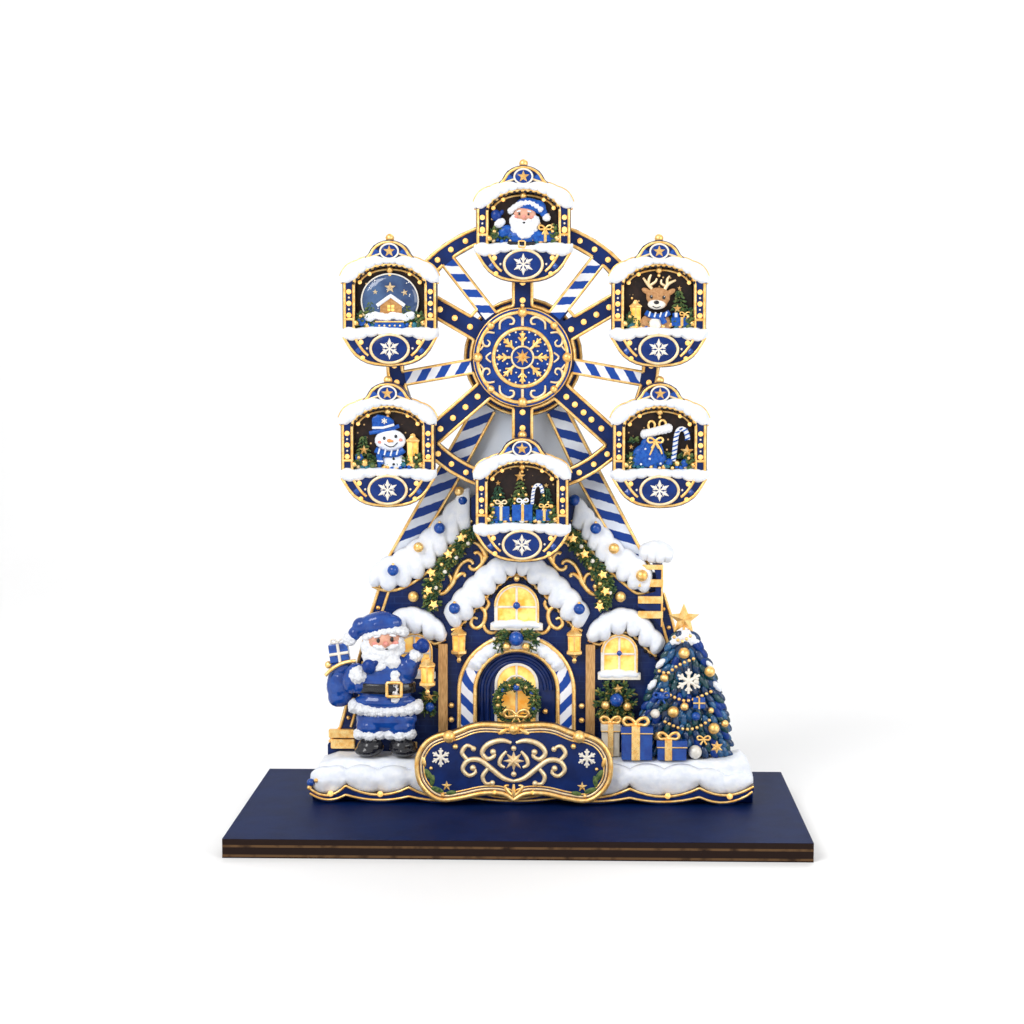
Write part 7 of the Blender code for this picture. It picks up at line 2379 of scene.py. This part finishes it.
def scene_lower_left():
    """A snowman with a lantern."""
    parts = [scene_card("lower_left")]
    body = [(-42.2, 3.2, 119.4, 4.2, 1.7, 2.8)]
    parts += [
        cast("snowman_body", body, snow_paste, 0.22, 2),
        cast("snowman_head", [(-43.0, 2.7, 126.2, 5.2, 1.9, 3.7)], snow_paste, 0.22, 2),
    ]
    crown = [(-49.0, 130.0), (-49.2, 134.2), (-47.2, 135.3), (-43.8, 134.6), (-42.0, 133.4), (-41.6, 131.2)]
    parts += [
        board("snowman_hat", [(x + 0.2, z - 0.6) for x, z in crown], 1.7, 4.2, scene_blue, (), 0.6),
        drawn(
            "snowman_band", [at(1.6, [(-48.8, 130.4), (-45.2, 130.4), (-41.6, 131.4)])], fur_white, 0.42, 8
        ),
        drawn("snowman_brim", [at(
            2.4, flowing([(-49.8, 128.6, 0.9), (-46.8, 129.2, 1.1), (-43.4, 129.8, 1.1), (-40.0, 131.0, 0.9)])
        )], scene_blue, 0.72, 10),
        drawn("snowman_flake", snowflake(-44.8, 1.5, 132.6, 1.0), cream_paint, 0.14, 6),
        balls("snowman_eyes", [
            (-44.8, 1.0, 127.0, 0.5, 0.35, 0.6), (-41.0, 1.0, 127.6, 0.5, 0.35, 0.6)
        ], boot_black),
    ]
    shape = [(-43.2, 0.8, 126.2, 0.7, 0.7, 0.6, 0), (-42.6, 0.6, 126.1, 0.9, 0.45, 0.4, 0)]
    parts += [
        balls("snowman_nose", shape, carrot),
        drawn("snowman_smile", [
            at(1.05, flowing([(-44.8, 125.2), (-43.4, 124.3), (-41.8, 124.3), (-40.4, 125.6)]))
        ], boot_black, 0.17),
        balls("snowman_cheeks", [
            (-46.2, 1.4, 125.7, 0.8, 0.3, 0.55), (-39.6, 1.4, 126.4, 0.8, 0.3, 0.55)
        ], blush),
    ]
    scarf = [
        at(1.8, flowing([(-47.8, 123.2), (-45.4, 122.0), (-42.8, 121.6), (-40.2, 122.0), (-38.4, 123.2)])),
        at(1.5, [(-46.6, 121.8), (-46.0, 118.4)])
    ]
    parts.append(drawn("snowman_scarf", scarf, scene_blue, 1.05, 10))
    bands = [
        at(0.95, [(x, 121.2 + 0.16 * abs(x + 43)), (x + 0.5, 123.0 + 0.16 * abs(x + 43))])
        for x in (-46.8, -44.8, -42.8, -40.8)
    ]
    bands.append(at(0.7, [(-47.2, 119.6), (-45.2, 119.4)]))
    parts += [
        drawn("snowman_bands", bands, fur_white, 0.32, 6),
        balls("snowman_buttons", [(-41.8, 1.5, 120.2, 0.45), (-41.8, 1.6, 118.4, 0.45)], boot_black),
        lantern("snowman_lantern", -35.6, 3.2, 117.8, 10.6, 2.5, 4.6, 0.55),
        small_fir("snowman_fir", -52.0, 121.6, 127.8, 2.0, leaf_green),
        stars("snowman_star", [(-51.6, 1.9, 123.0, 1.7, 0.0)], gilt),
    ]
    baubles = [
        (-53.2, 120.6, 1.4, scene_blue), (-51.4, 118.8, 1.3, gilt), (-48.8, 118.0, 1.2, leaf_green),
        (-38.6, 118.3, 0.9, teal_gloss), (-33.6, 118.8, 0.8, cream_gilt)
    ]
    parts += heap("snowman_heap", "lower_left", baubles, [
        (-52.4, 118.8), (-49.4, 119.8), (-38.2, 119.2), (-33.8, 120.6)
    ], 64)
    hand_in(joined("scene_snowman_cast", parts), "gondola_lower_left", "scene_cast", "scene_snowman")


def scene_lower_right():
    """A sack of gifts and a candy cane."""
    parts = [scene_card("lower_right")]
    sack = [
        (41.4, 3.0, 121.4, 5.2, 1.9, 4.0), (42.6, 3.0, 125.2, 3.6, 1.6, 2.4),
        (37.8, 3.2, 119.6, 2.2, 1.6, 2.0), (45.4, 3.2, 120.2, 2.4, 1.6, 2.4)
    ]
    parts.append(cast("sack_body", sack, scene_blue, 0.22, 3, 0.1, 1.6))
    folds = [
        flowing([(41.0, 126.2, 0.6), (39.2, 123.4, 0.9), (38.2, 120.4, 0.5)]),
        flowing([(44.6, 126.2, 0.6), (46.0, 123.6, 0.9), (46.6, 121.0, 0.5)])
    ]
    parts.append(drawn("sack_folds", [at(1.7, path) for path in folds], scene_blue, 0.45, 8))
    rim = [(40.2 + 1.15 * i, 2.6, 128.4 + 0.28 * i, 1.25, 1.5, 1.5) for i in range(8)]
    parts.append(cast("sack_fur", rim, fur_white, 0.22, 2, 0.22, 0.6))
    loops = [
        at(2.8, ring(42.6, 131.2, 1.1, 1.5, 0, 360, 20)), at(3.0, ring(46.2, 131.6, 1.1, 1.4, 0, 360, 20))
    ]
    parts += [
        drawn("sack_loops", loops, gilt, 0.4, 8),
        bow("sack_bow", 43.8, 1.5, 125.9, 2.6, gilt),
    ]
    tails = [
        at(1.3, flowing([(43.6, 125.4, 1.0), (42.8, 123.4, 0.9), (42.0, 121.6, 0.7)])),
        at(1.3, flowing([(44.2, 125.4, 1.0), (45.4, 123.6, 0.9), (46.0, 122.0, 0.7)]))
    ]
    parts.append(drawn("sack_tails", tails, gilt, 0.42, 6))
    dots = [
        (38.8, 1.9, 121.5, 0.4), (39.2, 1.7, 118.6, 0.4), (42.0, 1.1, 120.4, 0.4), (45.6, 1.5, 118.8, 0.4),
        (40.6, 1.3, 123.6, 0.35)
    ]
    parts.append(beads("sack_dots", dots, fur_white, 2))
    cane = flowing([
        (49.8, 119.6), (50.3, 124.0), (50.8, 128.2), (51.8, 130.0), (53.4, 129.8), (54.3, 128.0),
        (54.4, 126.6)
    ], 6)
    parts.append(drawn("sack_cane", [at(2.7, cane)], fur_white, 0.85, 10))
    wraps = []
    for x, z in evenly(cane, 1.5, 0.4):
        wraps.append([
            (x - 0.8, 2.55, z - 0.35), (x - 0.3, 1.9, z - 0.12), (x + 0.35, 1.9, z + 0.2),
            (x + 0.8, 2.55, z + 0.45)
        ])
    parts += [
        drawn("sack_cane_wraps", wraps, scene_blue, 0.26, 6, 0.3),
        stars("sack_stars", [(54.2, 1.9, 122.8, 2.3, 0.0), (36.0, 2.2, 124.2, 0.9, 0.0)], gilt),
    ]
    baubles = [
        (48.4, 119.2, 1.25, scene_blue), (53.6, 118.9, 1.4, scene_blue), (51.0, 118.8, 1.0, gilt),
        (35.8, 119.0, 1.0, gilt), (47.0, 117.9, 0.8, teal_gloss)
    ]
    parts += heap("sack_heap", "lower_right", baubles, [
        (36.4, 121.0), (36.8, 125.8), (47.8, 121.0), (52.2, 120.6), (54.6, 120.4)
    ], 65)
    hand_in(joined("scene_sack", parts), "gondola_lower_right", "scene_cast", "scene_gift_sack")


def scene_bottom():
    """Three small firs behind three gifts."""
    parts = [
        scene_card("bottom"),
        small_fir("trees_centre", -0.4, 103.8, 113.4, 3.4, leaf_green, 3.5),
        small_fir("trees_left", -7.6, 104.6, 111.6, 2.6, pine_green, 3.7),
        small_fir("trees_right", 8.2, 104.4, 110.8, 2.3, pine_green, 3.7),
    ]
    top = [(-0.4, 2.6, 114.4, 1.9, 0.0), (-7.6, 3.0, 112.2, 0.9, 0.0), (8.2, 3.0, 111.4, 0.9, 0.0)]
    parts.append(stars("trees_stars", top, gilt))
    lights = [
        (-2.2, 105.6), (1.4, 106.8), (-0.8, 108.6), (0.6, 110.6), (-8.8, 106.4), (-6.8, 108.4), (8.9, 106.0),
        (7.4, 108.2)
    ]
    # Lights on the firs: beads of painted glow.
    parts.append(beads("trees_lights", [(x, 2.3, z, 0.34) for x, z in lights], painted_glow_bulb, 2))
    cane = flowing([(3.6, 105.4), (4.0, 109.4), (4.7, 111.3), (6.1, 111.6), (6.9, 110.2), (6.9, 109.0)], 6)
    parts.append(drawn("trees_cane", [at(2.4, cane)], fur_white, 0.6, 10))
    wraps = [
        [(x - 0.55, 2.3, z - 0.25), (x, 1.8, z), (x + 0.55, 2.3, z + 0.3)]
        for x, z in evenly(cane, 1.2, 0.4)
    ]
    parts.append(drawn("trees_cane_wraps", wraps, scene_blue, 0.2, 6, 0.3))
    parts += small_gift("trees_gift_left", -9.4, -3.8, 99.9, 104.6, scene_blue, cream_gilt, -6.6, 1.8)
    parts += small_gift("trees_gift_centre", -3.0, 3.7, 99.9, 105.2, scene_blue, gilt, 0.5, 1.5)
    parts += small_gift("trees_gift_right", 4.9, 9.9, 99.9, 103.6, scene_blue, gilt, 7.6, 1.9)
    parts += [
        bow("trees_bow_left", -6.6, 2.2, 105.6, 1.9, cream_gilt),
        bow("trees_bow_centre", 0.5, 2.0, 106.2, 1.9, fur_white),
        bow("trees_bow_right", 7.6, 2.2, 104.5, 1.7, gilt),
    ]
    baubles = [
        (-9.9, 100.9, 1.1, gilt), (0.3, 100.2, 1.2, pearl), (10.2, 100.9, 1.0, gilt),
        (4.3, 100.5, 0.9, teal_gloss), (-3.4, 100.4, 0.8, gilt)
    ]
    baubles += [
        (-9.6, 105.0, 0.8, gilt), (9.9, 104.6, 0.8, gilt), (-2.0, 107.0, 0.6, gilt), (1.6, 108.4, 0.55, gilt),
        (3.2, 104.9, 0.7, scene_blue)
    ]
    parts += heap(
        "trees_heap", "bottom", baubles, [(-9.4, 103.6), (4.0, 103.4), (9.8, 103.0), (-3.4, 105.2)], 66
    )
    hand_in(joined("scene_forest", parts), "gondola_bottom", "scene_cast", "scene_trees")


for make_scene in (
    scene_top, scene_upper_left, scene_upper_right, scene_lower_left, scene_lower_right, scene_bottom
):
    make_scene()


# Floor, light and camera: a plain pale table that curves up behind, one soft
# window, a weaker one beside it and another behind, and an even room. The
# camera stands in front, a little above the middle and to the right.
def stage():
    """The table and its upright as one curved sheet."""
    size, steps = 3.0, 10
    shape = bmesh.new()
    line = [(-1.2, 0.0), (0.55, 0.0)]
    line += [
        (0.55 + 0.25 * math.sin(i * math.pi / 20), 0.25 - 0.25 * math.cos(i * math.pi / 20))
        for i in range(1, steps)
    ]
    line += [(0.80, 0.25), (0.80, 2.2)]
    rows = [[shape.verts.new((side * size, y, z)) for y, z in line] for side in (-1, 1)]
    for index in range(len(line) - 1):
        shape.faces.new((rows[0][index], rows[0][index + 1], rows[1][index + 1], rows[1][index]))
    pale = bpy.data.materials.new("pale_table")
    pale.use_nodes = True
    tree = pale.node_tree
    principled = tree.nodes["Principled BSDF"]
    principled.inputs["Roughness"].default_value = 0.6
    place = add(tree, "ShaderNodeTexCoord")
    mottle = add(
        tree, "ShaderNodeTexNoise", {"Vector": place.outputs["Object"], "Scale": 30.0, "Detail": 3.0}
    )
    tone = add(
        tree,
        "ShaderNodeMix",
        {0: mottle.outputs[0], 6: (0.93, 0.93, 0.93, 1.0), 7: (0.95, 0.95, 0.95, 1.0)},
        data_type="RGBA",
    )
    tree.links.new(tone.outputs[2], principled.inputs["Base Color"])
    mesh_of(shape, "pale_floor", pale, 4)


stage()
scene = bpy.context.scene
scene.view_settings.view_transform = "Standard"
room = bpy.data.worlds.new("room")
room.use_nodes = True
scene.world = room
tree = room.node_tree
seen = add(tree, "ShaderNodeLightPath")
direct = sums(tree, "MAXIMUM", seen.outputs["Is Camera Ray"], seen.outputs["Is Transmission Ray"])
direct = sums(tree, "MAXIMUM", direct, seen.outputs["Is Glossy Ray"])
level = add(tree, "ShaderNodeMapRange", {"Value": direct, "To Min": 0.56, "To Max": 1.0}).outputs[0]
tree.links.new(level, tree.nodes["Background"].inputs["Strength"])
tree.nodes["Background"].inputs["Color"].default_value = (1.0, 1.0, 1.0, 1.0)


def lamp(name, place, aim, power, size):
    """A square soft light at this place, turned to its aim."""
    light = bpy.data.lights.new(name, "AREA")
    light.energy = power
    light.size = size
    made = bpy.data.objects.new(name, light)
    scene.collection.objects.link(made)
    made.location = place
    made.rotation_euler = (Vector(aim) - Vector(place)).to_track_quat("-Z", "Y").to_euler()


lamp("window_light", (-0.55, -0.75, 0.75), (0.0, 0.0, 0.10), 8.2, 0.55)
lamp("side_light", (0.75, -0.55, 0.35), (0.0, 0.0, 0.11), 3.0, 0.5)
lamp("back_light", (0.25, 0.60, 0.75), (0.0, 0.0, 0.12), 2.0, 0.5)

camera = bpy.data.cameras.new("camera")
camera.lens = 72.0
camera.sensor_width = 36.0
camera_stand = bpy.data.objects.new("camera", camera)
scene.collection.objects.link(camera_stand)
camera_stand.location = (0.01696, -0.66723, 0.16487)
camera_stand.rotation_euler = (math.pi / 2 - 0.0925, 0.0, 0.0298)
scene.camera = camera_stand
